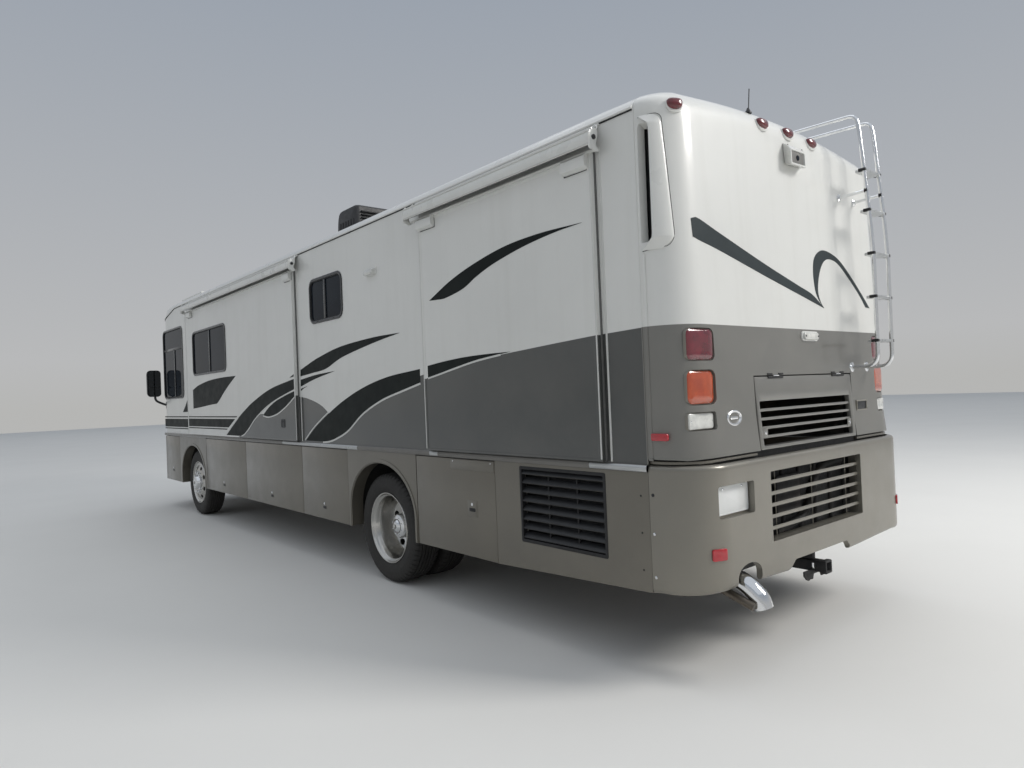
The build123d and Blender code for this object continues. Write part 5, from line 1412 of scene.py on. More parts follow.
# wide end at the corner, tapering to the tip, then up and over
rear_decal(p, [(1.100, 2.421), (1.043, 2.427), (0.85, 2.369), (0.40, 2.237), (0.02, 2.135), (-0.16, 2.086), (-0.303, 2.006)],
           [(1.094, 2.322), (1.040, 2.306), (0.85, 2.268), (0.40, 2.163), (0.05, 2.085), (-0.14, 2.042), (-0.303, 2.005)], 0)
rear_decal(p, [(-0.303, 2.006), (-0.262, 2.048), (-0.240, 2.110), (-0.256, 2.185), (-0.300, 2.268), (-0.365, 2.325), (-0.450, 2.340), (-0.560, 2.315), (-0.720, 2.215), (-0.860, 2.110), (-0.930, 2.040)],
           [(-0.300, 2.008), (-0.238, 2.058), (-0.202, 2.120), (-0.192, 2.232), (-0.222, 2.330), (-0.315, 2.387), (-0.430, 2.388), (-0.580, 2.344), (-0.760, 2.228), (-0.905, 2.115), (-0.998, 2.036)], 0, n=60)
p.done()

# ------------------------------------------------------------------ slide trims and seals
def bead(p, path, r, mi, n=8):
    return p.tube(path, r, mi, n=n)


for (nm, body, X0, X1) in (("front_slide_trim", "front_slide", -0.352, 3.515), ("rear_slide_trim", "rear_slide", -4.570, -2.770)):
    p = P(nm, body, "trim_aluminium", m_rslide if body == "rear_slide" else m_fslide, m_line, m_rubgrey, m_alu)
    Z0, Z1 = 1.127, 2.880
    wr = 0.052
    # edge trim round the slide's face
    p.ring(rrect(X0 - 0.0015, X1 + 0.0015, Z0 - 0.001, Z1 + 0.001, 0.012, 4), rrect(X0 + 0.030, X1 - 0.030, Z0 + 0.018, Z1 - 0.030, 0.006, 4), "y", 1.290, 1.3168, 0, crown=0.0014)
    # wiper seal between slide and wall
    p.ring(rrect(X0 - 0.006, X1 + 0.006, Z0 - 0.002, Z1 + 0.006, 0.010, 4), rrect(X0 + 0.020, X1 - 0.020, Z0 + 0.016, Z1 - 0.020, 0.008, 4), "y", 1.2765, 1.2905, 2, crown=0.003)
    # light corner beads along the upright edges
    for x, r in ((X0 + 0.006, 0.0062), (X1 - 0.006, 0.0062)):
        bead(p, [(x, 1.3135, Z0 + 0.012), (x, 1.3135, Z1 - 0.012)], r, 1)
    bead(p, [(X0 + 0.02, 1.3120, Z1 - 0.006), (X1 - 0.02, 1.3120, Z1 - 0.006)], 0.006, 1)
    p.done()
p = P("slide_jambs", "coach", "trim_aluminium", m_line, m_lwall)
for X in (-0.352 - 0.040, -4.570 - 0.034):
    p.prism([(X - 0.007, 1.2748), (X - 0.005, 1.2790), (X, 1.2805), (X + 0.005, 1.2790), (X + 0.007, 1.2748)], "z", 1.126, 2.90, 0)
for X in (3.515 + 0.040, -2.770 + 0.040):
    p.prism([(X - 0.006, 1.2748), (X - 0.004, 1.2780), (X, 1.2790), (X + 0.004, 1.2780), (X + 0.006, 1.2748)], "z", 1.126, 2.96, 0)
p.done()

# ------------------------------------------------------------------ seams, drip rail, belt rail
p = P("wall_seams", "coach", "trim_aluminium", m_cap, m_line, m_blk, m_white)
for s in (1, -1):
    # bead beside the rear seam, painted with the cap
    for (X, w, h) in ((-4.888, 0.010, 0.005),):
        a, b = s * 1.2735, s * (1.275 + h)
        sec = [(X - w, a), (X - w * 0.8, s * (1.275 + h * 0.75)), (X - w * 0.35, b), (X + w * 0.35, b), (X + w * 0.8, s * (1.275 + h * 0.75)), (X + w, a)]
        p.prism(sec, "z", 1.150, 2.245, 0)
    # foot of the bead turns out over the groove
    p.box(-4.900, -4.872, min(s * 1.272, s * 1.284), max(s * 1.272, s * 1.284), 1.142, 1.156, 0, bev=0.003)
    # joint strips at the seams
    p.prism([(XS_R - 0.004, s * 1.2735), (XS_R - 0.003, s * 1.2775), (XS_R + 0.003, s * 1.2775), (XS_R + 0.004, s * 1.2735)], "z", 1.122, 3.035, 0)
    loops = []
    for z in lin(1.122, 2.870, 36):
        ya, yb = side_y(XS_F - 0.006, z), side_y(XS_F + 0.006, z)
        loops.append([(XS_F - 0.007, s * (ya - 0.003), z), (XS_F - 0.005, s * (ya + 0.0035), z), (XS_F + 0.005, s * (yb + 0.0035), z), (XS_F + 0.007, s * (yb - 0.003), z)])
    p.loft(loops, 3, caps=True)
    # pillar between the flat wall and the rounded corner of the cap
    loops = []
    for z in lin(1.90, 2.886, 26):
        xs_p = lin(4.866, 4.9605, 9)
        loops.append([(x, s * (side_y(x, z) - 0.0012), z) for x in xs_p] + [(x, s * (side_y(x, z) - 0.0312), z) for x in reversed(xs_p)])
    p.loft(loops, 3, caps=True)
    # drip rail, following the trim line down at the front
    xs_ = lin(-4.855, 4.2, 20) + lin(4.3, 4.955, 8)
    for (dy0, dy1, dz0, dz1, mi) in ((0.0, 0.010, -0.004, 0.016, 3), (0.0, 0.0055, -0.012, -0.004, 2)):
        loops = []
        for x in xs_:
            z = float(z_trim(x))
            ye = 1.2745 if x < 4.2 else side_y(x, z - 0.02) - 0.0005
            loops.append([(x, s * (ye + dy0), z + dz0), (x, s * (ye + dy1), z + dz0), (x, s * (ye + dy1 + 0.002), z + (dz0 + dz1) / 2), (x, s * (ye + dy1 * 0.6), z + dz1), (x, s * (ye + dy0), z + dz1)])
        p.loft(loops, mi, caps=True)
p.done()

p = P("belt_rail_skin", "coach", "trim_aluminium", m_railgrey, m_bright, m_alu, m_blk)


def rail(x0, x1, s, mi, z0=1.080, z1=1.120, o=0.0):
    sec = [(1.2740, z0), (1.2855 + o, z0), (1.2885 + o, z0 + 0.004), (1.2900 + o, z0 + 0.012), (1.2900 + o, z1 - 0.012), (1.2880 + o, z1 - 0.004), (1.2840 + o, z1), (1.2740, z1)]
    loops = []
    for x, k in ((x0, 0.35), (x0 + 0.004, 1.0), (x1 - 0.004, 1.0), (x1, 0.35)):
        loops.append([(x, s * (1.274 + (y - 1.274) * (0.9 + 0.1 * k)), (z0 + z1) / 2 + (z - (z0 + z1) / 2) * (0.96 + 0.04 * k)) for y, z in sec])
    p.loft(loops, mi, caps=True)
    p.loft([[(x, s * y, z) for y, z in ((1.2875 + o, (z0 + z1) / 2 - 0.006), (1.2916 + o, (z0 + z1) / 2 - 0.004), (1.2916 + o, (z0 + z1) / 2 + 0.004), (1.2875 + o, (z0 + z1) / 2 + 0.006))] for x in (x0 + 0.004, x1 - 0.004)], mi, caps=True)


rail(-4.858, 4.962, 1, 0)
rail(-1.60, 0.10, 1, 2, 1.083, 1.117, 0.0035)
rail(-2.875, -2.765, 1, 2, 1.084, 1.116, 0.0035)
rail(-4.858, -4.44, 1, 2, 1.083, 1.117, 0.0035)
rail(-4.858, 4.142, -1, 0)
rail(4.868, 4.962, -1, 0)
rail(-1.60, 0.10, -1, 2, 1.083, 1.117, 0.0035)
p.done(rep=("belt_rails",))

# ------------------------------------------------------------------ windows
def window(p, x0, x1, z0, z1, r, y, s=1, posts=(), bars_=(), proud=0.009, glass_in=0.009):
    """Frame, gasket, glass and posts of one side window; y is the wall's face. Materials: 0 frame, 1 gasket, 2 glass."""
    f = 0.030
    p.ring(rrect(x0 - 0.012, x1 + 0.012, z0 - 0.012, z1 + 0.012, r + 0.012, 8), rrect(x0 + 0.014, x1 - 0.014, z0 + 0.014, z1 - 0.014, max(0.02, r - 0.014), 8), "y", s * (y - 0.022), s * (y + proud), 0, crown=s * 0.003)
    p.ring(rrect(x0 + 0.0135, x1 - 0.0135, z0 + 0.0135, z1 - 0.0135, max(0.02, r - 0.0135), 8), rrect(x0 + 0.022, x1 - 0.022, z0 + 0.022, z1 - 0.022, max(0.015, r - 0.022), 8), "y", s * (y - 0.020), s * (y + 0.002), 1, crown=s * 0.002)
    a, b = sorted((s * (y - glass_in), s * (y - glass_in - 0.005)))
    p.prism(rrect(x0 + 0.016, x1 - 0.016, z0 + 0.016, z1 - 0.016, max(0.018, r - 0.016), 8), "y", a, b, 2)
    for x in posts:
        zz0, zz1 = z0 + 0.016, z1 - 0.016
        if bars_:
            zz1 = bars_[0]
        a, b = sorted((s * (y - glass_in - 0.002), s * (y + 0.001)))
        p.box(x - 0.020, x + 0.020, a, b, zz0, zz1, 0, bev=0.003)
        a, b = sorted((s * (y - glass_in - 0.002), s * (y - 0.003)))
        p.box(x + 0.020, x + 0.032, a, b, zz0, zz1, 1, bev=0.002)
    for z in bars_:
        a, b = sorted((s * (y - glass_in - 0.002), s * (y + 0.001)))
        p.box(x0 + 0.016, x1 - 0.016, a, b, z - 0.018, z + 0.018, 0, bev=0.003)
    # drip lip and catches
    for x in (x0 + 0.25 * (x1 - x0), x0 + 0.75 * (x1 - x0)):
        a, b = sorted((s * (y + 0.004), s * (y + proud + 0.002)))
        p.box(x - 0.012, x + 0.012, a, b, z0 + 0.002, z0 + 0.008, 1, bev=0.001)


p = P("window_set", "coach", "dark_glass", m_blkgloss, m_blk, m_glass)
window(p, 3.834, 4.912, 1.663, 2.729, 0.090, 1.275, 1, posts=(4.30,), bars_=(2.42,))
window(p, -1.388, -0.698, 2.301, 2.719, 0.080, 1.275, 1, posts=(-1.02,))
window(p, 2.750, 3.800, 1.850, 2.640, 0.080, 1.275, -1, posts=(3.28,))
window(p, 0.700, 2.050, 1.962, 2.559, 0.080, 1.275, -1, posts=(1.38,))
window(p, -1.388, -0.698, 2.301, 2.719, 0.080, 1.275, -1, posts=(-1.04,))
window(p, -3.700, -2.700, 1.962, 2.559, 0.080, 1.275, -1, posts=(-3.20,))
p.done(rep=("side_windows",))
p = P("slide_window", "front_slide", "dark_glass", m_blkgloss, m_blk, m_glass)
window(p, 1.775, 3.171, 1.962, 2.559, 0.080, 1.314, 1, posts=(2.44,))
p.done(rep=("front_slide_window",))

# ------------------------------------------------------------------ small fittings on the left
p = P("left_fittings", "coach", "lamp_lens", m_white, m_clear, m_plastic, m_bright, m_reflex)
# porch lamp
p.prism(rrect(-2.034, -1.860, 2.586, 2.650, 0.012, 4), "y", 1.274, 1.284, 0, bev=0.003)
p.loft([[(x, 1.282, z) for x, z in rrect(-2.024, -1.870, 2.592, 2.644, 0.010, 4)], [(x, 1.300, z) for x, z in rrect(-2.022, -1.872, 2.590, 2.640, 0.010, 4)],
        [(x, 1.318 - (z - 2.59) * 0.15, z) for x, z in rrect(-2.016, -1.878, 2.592, 2.634, 0.010, 4)], [(x, 1.323 - (z - 2.59) * 0.2, z) for x, z in rrect(-2.006, -1.888, 2.597, 2.626, 0.008, 4)]], 1, caps=True)
p.done()
p = P("slide_port", "front_slide", "black_plastic", m_plastic, m_fslide)
p.ring(rrect(-0.050, 0.050, 1.262, 1.352, 0.012, 4), rrect(-0.038, 0.038, 1.274, 1.340, 0.008, 4), "y", 1.3135, 1.3185, 0, crown=0.0015)
p.prism(rrect(-0.039, 0.039, 1.273, 1.341, 0.008, 4), "y", 1.3135, 1.3160, 0, bev=0.001)
p.lathe([(0, 0), (0, 0.010), (0.002, 0.009), (0.003, 0)], (0.0, 1.316, 1.326), "y", 0, n=14, closed=False)
p.done()

# ------------------------------------------------------------------ slide toppers with their fabric
def topper(nm, body, X0, X1, rep_):
    p = P(nm + "_housing", body, "awning_fabric", m_white, m_line, m_plastic, m_railgrey)
    sec = [(1.322, 2.962), (1.330, 2.972), (1.350, 2.978), (1.371, 2.975), (1.384, 2.966), (1.391, 2.950), (1.392, 2.926), (1.389, 2.904), (1.380, 2.890), (1.376, 2.894), (1.384, 2.906), (1.387, 2.926),
           (1.386, 2.948), (1.380, 2.962), (1.369, 2.970), (1.350, 2.973), (1.333, 2.968), (1.326, 2.960)]
    p.loft([[(x, y, z) for y, z in sec] for x in (X0, X1)], 0, caps=True)
    # bright nosing along the upper edge
    p.tube([(X0 + 0.002, 1.3855, 2.9665), (X1 - 0.002, 1.3855, 2.9665)], 0.0065, 1, n=8)
    p.tube([(X0 + 0.002, 1.3865, 2.897), (X1 - 0.002, 1.3865, 2.897)], 0.0040, 1, n=8)
    # roller, in dark grey: the grey paints the shade in the band under the housing
    p.lathe([(0.004, 0.0), (0.004, 0.0300), (X1 - X0 - 0.004, 0.0300), (X1 - X0 - 0.004, 0.0)], (X0, 1.352, 2.932), "x", 3, n=24, closed=False)
    # lower rail on the slide's top edge
    p.prism([(1.3135, 2.868), (1.330, 2.868), (1.338, 2.873), (1.338, 2.880), (1.330, 2.884), (1.3135, 2.884)], "x", X0 + 0.01, X1 - 0.01, 1)
    # arms at both ends
    for x, dx in ((X0, -1), (X1, 1)):
        a, b = sorted((x - dx * 0.002, x + dx * 0.010))
        arm = [(1.318, 2.976), (1.334, 2.988), (1.356, 2.984), (1.366, 2.990), (1.374, 2.986), (1.372, 2.974), (1.388, 2.966), (1.395, 2.946), (1.395, 2.920), (1.388, 2.902), (1.392, 2.886), (1.386, 2.872),
               (1.374, 2.866), (1.362, 2.868), (1.352, 2.858), (1.338, 2.855), (1.330, 2.862), (1.316, 2.860), (1.316, 2.874), (1.330, 2.884), (1.336, 2.900), (1.328, 2.926), (1.320, 2.950)]
        p.prism(arm, "x", a, b, 0, bev=0.002)
        p.lathe([(0, 0), (0, 0.015), (dx * 0.006, 0.014), (dx * 0.009, 0.008), (dx * 0.009, 0)], (x + dx * 0.010, 1.356, 2.934), "x", 2, n=18, closed=False)
        # cranked hook above
        p.tube(soft([(x + dx * 0.004, 1.326, 2.980), (x + dx * 0.004, 1.316, 3.004), (x - dx * 0.02, 1.306, 3.018)], 0.01), 0.005, 0, n=8)
    # bracket covers under the housing
    for xa, xb in ((X0 + 0.075, X0 + 0.270), (X1 - 0.310, X1 - 0.100)) if nm == "rear_topper" else ((X0 + 0.110, X0 + 0.290), (X1 - 0.290, X1 - 0.110)):
        q = [(1.312, 2.786), (1.330, 2.786), (1.348, 2.800), (1.352, 2.830), (1.346, 2.862), (1.312, 2.866)]
        p.loft([[(x, y + (0 if k else 0), z + (0.006 if k == 0 else 0)) for y, z in q] for x, k in ((xa, 0), (xa + 0.012, 1), (xb - 0.012, 1), (xb, 0))], 0, caps=True)
        p.prism(rrect(xa - 0.004, xb + 0.004, 2.782, 2.868, 0.006, 3), "y", 1.3135, 1.3160, 2)
    p.done(rep=(rep_,))
    # cloth strip from the wall rail to the roller
    n, m = 40, 8
    prof = []
    for k in range(m + 1):
        t = k / m
        y = 1.2835 + (1.3485 - 1.2835) * t
        z = 3.0290 + (2.9800 - 3.0290) * t - 0.010 * math.sin(math.pi * t)
        prof.append((y, z))
    v, f = [], []
    for i in range(n + 1):
        x = X0 + 0.030 + (X1 - X0 - 0.060) * i / n
        for k, (y, z) in enumerate(prof):
            w = math.sin(math.pi * k / m)
            v.append((x, y, z - 0.0022 * w * (0.5 + 0.5 * math.sin(i * 1.9)) - 0.0012 * w * math.sin(i * 0.73 + k)))
    for i in range(n):
        for k in range(m):
            a = i * (m + 1) + k
            f.append((a, a + 1, a + m + 2, a + m + 1))
    me = bpy.data.meshes.new(nm + "_cloth")
    me.from_pydata(v, [], f)
    me.materials.append(m_fabric)
    for q in me.polygons:
        q.use_smooth = True
    ob = bpy.data.objects.new(nm + "_cloth", me)
    bpy.context.scene.collection.objects.link(ob)
    md = ob.modifiers.new("cloth", "SOLIDIFY")
    md.thickness, md.offset = 0.0008, 0.0
    dg = bpy.context.evaluated_depsgraph_get()
    m2 = bpy.data.meshes.new_from_object(ob.evaluated_get(dg))
    ob.modifiers.clear()
    ob.data = m2
    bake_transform(ob)


topper("rear_topper", "rear_slide", -4.630, -2.680, "rear_slide_topper")
topper("front_topper", "front_slide", -0.462, 3.455, "front_slide_topper")
p = P("topper_wall_rails", "coach", "trim_aluminium", m_white, m_line)
for X0, X1 in ((-4.630, -2.680), (-0.462, 3.455)):
    p.prism([(1.2745, 3.022), (1.2860, 3.022), (1.2885, 3.027), (1.2860, 3.032), (1.2745, 3.034)], "x", X0 + 0.01, X1 - 0.01, 0)
p.done()
# ------------------------------------------------------------------ wheels
def tyre(p, cx, cy, s, mi=0, seg=60):
    """Radial tyre; s is +1 when the outside faces +Y. Shoulder lugs and grooves are cut in the profile."""
    R, W = 0.4645, 0.1275
    # (across, radius) outline from the outer bead over the tread to the inner bead and back inside
    prof = [(0.098, 0.296), (0.106, 0.300), (0.113, 0.312), (0.121, 0.335), (0.1268, 0.362), (0.1275, 0.384), (0.1262, 0.388), (0.1262, 0.392), (0.1245, 0.412), (0.119, 0.432),
            (0.112, 0.446), (0.104, 0.455), (0.095, 0.4600), (0.070, 0.4630), (0.068, 0.4540), (0.062, 0.4540), (0.060, 0.4636), (0.036, 0.4642), (0.034, 0.4530), (0.028, 0.4530), (0.026, 0.4643), (0.004, 0.4645),
            (0.003, 0.4530), (-0.003, 0.4530), (-0.004, 0.4645)]
    prof = prof + [(-a, r) for a, r in prof[:-4][::-1]]
    prof += [(-0.094, 0.292), (-0.080, 0.300), (-0.108, 0.38), (-0.100, 0.425), (-0.05, 0.445), (0.05, 0.445), (0.100, 0.425), (0.108, 0.38), (0.080, 0.300), (0.094, 0.292)]
    loops = []
    for i in range(seg):
        for fr, gr in ((0.0, 0), (0.74, 0), (0.78, 1), (0.96, 1)):
            t = 2 * math.pi * (i + fr) / seg
            lp = []
            for k, (a, r) in enumerate(prof):
                rr_ = r
                if gr and 0.443 < r and abs(a) > 0.071 and k < 46:
                    rr_ = r - 0.008
                elif gr and 0.425 < r <= 0.443 and abs(a) > 0.10 and k < 46:
                    rr_ = r - 0.004
                lp.append((cx + rr_ * math.cos(t), cy + s * a, R + rr_ * math.sin(t)))
            loops.append(lp)
    p.loft(loops, mi, wrap=True)


def disc_rings(prof, cx, cy, s, cz=0.4645, n=60):
    return [(s * a, r) for a, r in prof]


def rim_outer(name, body, cx, cy, s, front):
    """Wheel facing outwards. Materials: 0 polished face, 1 chrome hub, 2 dark inside, 3 nuts."""
    cz = 0.4645
    p = P(name, None, None, m_alloy, m_chrome, m_under, m_bright)
    if front:
        # dished face standing out to the lip
        prof = [(0.112, 0.303), (0.117, 0.300), (0.117, 0.294), (0.109, 0.289), (0.100, 0.284), (0.094, 0.272), (0.090, 0.256), (0.092, 0.244), (0.104, 0.224), (0.114, 0.196), (0.120, 0.172), (0.121, 0.108), (0.121, 0.070),
                (0.108, 0.070), (0.108, 0.168), (0.102, 0.190), (0.092, 0.218), (0.080, 0.238), (0.076, 0.256), (0.06, 0.268), (-0.09, 0.274), (-0.104, 0.286), (-0.112, 0.303), (-0.106, 0.305), (-0.098, 0.292), (-0.08, 0.284), (0.085, 0.284), (0.098, 0.292), (0.106, 0.305)]
    else:
        # deep dish: the disc sits far in and the barrel shows
        prof = [(0.112, 0.303), (0.118, 0.300), (0.118, 0.294), (0.113, 0.289), (0.104, 0.286), (0.099, 0.281), (0.094, 0.272), (0.086, 0.266), (0.070, 0.263), (0.058, 0.256), (0.040, 0.252), (-0.020, 0.249), (-0.060, 0.244), (-0.078, 0.236), (-0.086, 0.224),
                (-0.094, 0.205), (-0.112, 0.186), (-0.126, 0.172), (-0.130, 0.160), (-0.130, 0.100), (-0.142, 0.100), (-0.142, 0.170), (-0.126, 0.190), (-0.108, 0.210), (-0.098, 0.232), (-0.090, 0.262), (-0.098, 0.276), (-0.106, 0.290), (-0.112, 0.303),
                (-0.106, 0.305), (-0.098, 0.292), (-0.08, 0.276), (0.050, 0.268), (0.085, 0.284), (0.098, 0.292), (0.106, 0.305)]
    p.lathe([(s * a, r) for a, r in prof], (cx, cy, cz), "y", 0, n=80)
    disc = p.done(angle=28)
    cuts = []
    nh = 8 if front else 10
    rh = 0.213
    for k in range(nh):
        t = 2 * math.pi * (k + 0.5) / nh
        q = P("cutter", None, None)
        pts = []
        for j in range(20):
            u = 2 * math.pi * j / 20
            a, b = 0.034 * math.cos(u), 0.021 * math.sin(u)
            # long way round the wheel
            pts.append((cx + (rh + b) * math.cos(t) - a * math.sin(t), cz + (rh + b) * math.sin(t) + a * math.cos(t)))
        if front:
            q.prism(pts, "y", cy + s * 0.06, cy + s * 0.14)
        else:
            q.prism(pts, "y", cy - s * 0.16, cy - s * 0.05)
        cuts.append(q.done())
    cut(disc, cuts, 28)
    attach(disc, body)
    p = P(name + "_hub", body, "chrome", m_chrome, m_alloy, m_under, m_bright)
    base = 0.121 if front else -0.130
    rb = 0.143
    for k in range(10):
        t = 2 * math.pi * k / 10
        c = (cx + rb * math.cos(t), cy + s * base, cz + rb * math.sin(t))
        # nut cover with a flange and domed end, hexagonal
        hx = lambda r, o: [(c[0] + r * math.cos(u), c[1] + s * o, c[2] + r * math.sin(u)) for u in np.linspace(0, 2 * math.pi, 12, endpoint=False)]
        p.loft([hx(0.021, -0.002), hx(0.021, 0.003), hx(0.0165, 0.006), hx(0.0160, 0.026), hx(0.012, 0.031), hx(0.006, 0.033)], 0, caps=True)
    if front:
        hub = [(0.0, 0.0), (-0.002, 0.104), (0.006, 0.106), (0.010, 0.101), (0.020, 0.097), (0.040, 0.092), (0.050, 0.086), (0.056, 0.074), (0.060, 0.050), (0.061, 0.0)]
    else:
        hub = [(-0.002, 0.0), (-0.002, 0.118), (0.004, 0.120), (0.012, 0.117), (0.020, 0.111), (0.120, 0.107), (0.138, 0.104), (0.152, 0.096), (0.160, 0.080), (0.163, 0.060), (0.166, 0.054), (0.172, 0.048), (0.180, 0.036), (0.184, 0.020), (0.185, 0.0)]
    p.lathe([(s * a, r) for a, r in hub], (cx, cy + s * base, cz), "y", 0, n=60, closed=False)
    # ring of small bolts on the hub cover and a knob in the middle
    for k in range(8):
        t = 2 * math.pi * (k + 0.5) / 8
        o = 0.058 if front else 0.162
        rr_ = 0.058 if front else 0.074
        p.lathe([(0, 0), (0, 0.0065), (s * 0.005, 0.006), (s * 0.007, 0.003), (s * 0.0072, 0)], (cx + rr_ * math.cos(t), cy + s * (base + o - 0.003), cz + rr_ * math.sin(t)), "y", 3, n=10, closed=False)
    p.lathe([(0, 0), (0, 0.020), (s * 0.006, 0.0195), (s * 0.012, 0.014), (s * 0.014, 0)], (cx, cy + s * (base + (0.060 if front else 0.184)), cz), "y", 1, n=24, closed=False)
    # valve
    t = 1.1
    p.tube([(cx + 0.236 * math.cos(t), cy + s * (0.088 if front else -0.08), cz + 0.236 * math.sin(t)), (cx + 0.232 * math.cos(t), cy + s * (0.122 if front else -0.02), cz + 0.232 * math.sin(t))], 0.0045, 3, n=8)
    # brake drum behind the disc
    p.lathe([(s * a, r) for a, r in ([(-0.10, 0.0), (-0.10, 0.225), (0.02, 0.225), (0.03, 0.20), (0.03, 0.0)] if front else [(-0.30, 0.0), (-0.30, 0.205), (-0.160, 0.205), (-0.146, 0.19), (-0.146, 0.0)])], (cx, cy, cz), "y", 2, n=40, closed=False)
    return p.done(angle=30)


def rim_inner(name, body, cx, cy, s):
    cz = 0.4645
    prof = [(0.112, 0.303), (0.118, 0.300), (0.118, 0.293), (0.100, 0.285), (0.085, 0.272), (0.030, 0.264), (-0.09, 0.260), (-0.104, 0.276), (-0.112, 0.303), (-0.106, 0.305), (-0.098, 0.292), (-0.08, 0.284), (0.085, 0.284), (0.098, 0.292), (0.106, 0.305)]
    p = P(name, body, "polished_alloy", m_alloy)
    p.lathe([(s * a, r) for a, r in prof], (cx, cy, cz), "y", 0, n=64)
    # disc of the inner wheel, bolted face to face with the outer one
    prof = [(0.060, 0.262), (0.075, 0.240), (0.098, 0.215), (0.126, 0.196), (0.154, 0.182), (0.160, 0.170), (0.160, 0.085), (0.150, 0.085), (0.150, 0.165), (0.120, 0.190), (0.088, 0.210), (0.064, 0.236), (0.048, 0.262)]
    return p.lathe([(s * a, r) for a, r in prof], (cx, cy, cz), "y", 0, n=64).done(angle=28)


for s, side in ((1, "left"), (-1, "right")):
    p = P("front_%s_tyre_skin" % side, "front_%s_wheel" % side, "tyre_rubber", m_tyre)
    tyre(p, 3.480, s * 1.090, s)
    p.done(angle=26, rep=("front_%s_tyre" % side,))
    h = rim_outer("front_%s_rim_skin" % side, "front_%s_wheel" % side, 3.480, s * 1.090, s, True)
    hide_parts("front_%s_rim" % side)
    p = P("rear_%s_tyre_skins" % side, "rear_%s_wheels" % side, "tyre_rubber", m_tyre)
    tyre(p, -1.953, s * 1.090, s)
    tyre(p, -1.953, s * 0.784, s)
    p.done(angle=26, rep=("rear_%s_tyres" % side,))
    h = rim_outer("rear_%s_rim_skin" % side, "rear_%s_wheels" % side, -1.953, s * 1.090, s, False)
    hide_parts("rear_%s_rims" % side)
    rim_inner("rear_%s_inner_rim" % side, "rear_%s_wheels" % side, -1.953, s * 0.784, s)

# ------------------------------------------------------------------ wheel arches
def arch_line(cx, a, top, z0, h=0.430, n=28):
    out = [(cx + a, z0), (cx + a, (z0 + top - h) / 2)]
    for k in range(n + 1):
        t = math.pi * k / n
        out.append((cx + a * math.cos(t), top - h + h * math.sin(t)))
    out += [(cx - a, (z0 + top - h) / 2), (cx - a, z0)]
    return out


p = P("wheel_arches", "coach", "chassis_black", m_liner, m_pewter_shaded)
for s in (1, -1):
    for cx, a, top, yin in ((3.500, 0.560, 0.965, 0.615), (-1.960, 0.545, 0.990, 0.585)):
        o = arch_line(cx, a + 0.036, top + 0.030, 0.400)
        i_ = arch_line(cx, a + 0.028, top + 0.022, 0.400)
        y0, y1 = s * yin, s * 1.237
        p.loft([[(x, y0, z) for x, z in o], [(x, y1, z) for x, z in o], [(x, y1, z) for x, z in i_], [(x, y0, z) for x, z in i_]], 0, wrap=True, closed=False)
        p.loft([[(x, y0, z) for x, z in o], [(x, y0 - s * 0.006, z) for x, z in o]], 0, caps=True)
        # return flange in the colour of the skirt
        fo = arch_line(cx, a + 0.003, top + 0.003, 0.386)
        fi = arch_line(cx, a - 0.001, top - 0.001, 0.386)
        p.loft([[(x, s * 1.190, z) for x, z in fo], [(x, s * 1.272, z) for x, z in fo], [(x, s * 1.272, z) for x, z in fi], [(x, s * 1.190, z) for x, z in fi]], 1, wrap=True, closed=False)
        # rolled lip
        lip = arch_line(cx, a - 0.004, top - 0.004, 0.384)
        p.tube([(x, s * 1.2715, z) for x, z in lip], 0.0065, 1, n=8)
        ri = arch_line(cx, a - 0.001, top - 0.001, 0.384)
        ro = arch_line(cx, a + 0.030, top + 0.028, 0.384)
        a_, b_ = s * 1.262, s * 1.2785
        loops = []
        for (xi, zi), (xo, zo) in zip(ri, ro):
            loops.append([(xi, a_, zi), (xi, b_ - s * 0.002, zi), (xi * 0.8 + xo * 0.2, b_, zi * 0.8 + zo * 0.2), (xi * 0.3 + xo * 0.7, s * 1.2770, zi * 0.3 + zo * 0.7), (xo, s * 1.2748, zo), (xo, a_, zo)])
        p.loft(loops, 1, caps=True)
p.done()

# ------------------------------------------------------------------ bay doors and their latches
def latch(p, x, z, s, mi_c, mi_b, big=False):
    y = 1.2750
    if big:
        a, b = sorted((s * (y - 0.001), s * (y + 0.0022)))
        p.prism(rrect(x - 0.058, x + 0.058, z - 0.060, z + 0.060, 0.010, 4), "y", a, b, 2, bev=0.001)
        a, b = sorted((s * (y + 0.001), s * (y + 0.0040)))
        p.prism(rrect(x - 0.046, x + 0.046, z - 0.046, z + 0.048, 0.007, 4), "y", a, b, 0, bev=0.0012)
        zz = z - 0.006
        w, h = 0.036, 0.013
    else:
        zz = z - 0.012
        w, h = 0.034, 0.013
        a, b = sorted((s * (y - 0.001), s * (y + 0.0016)))
        p.prism(rrect(x - 0.042, x + 0.042, zz - 0.020, zz + 0.020, 0.010, 4), "y", a, b, 2, bev=0.0008)
    a, b = sorted((s * (y + 0.001), s * (y + 0.0046 if big else y + 0.0024)))
    p.prism(rrect(x - w, x + w, zz - h, zz + h, 0.008, 4), "y", a, b, mi_b, bev=0.0008)
    c = (x + 0.004, s * y, zz + (0.038 if big else 0.036))
    p.lathe([(s * 0.0005, 0.0), (s * 0.0005, 0.0125), (s * 0.003, 0.0125), (s * 0.0055, 0.010), (s * 0.0050, 0.0045), (s * 0.0058, 0.0)], c, "y", mi_c, n=20, closed=False)


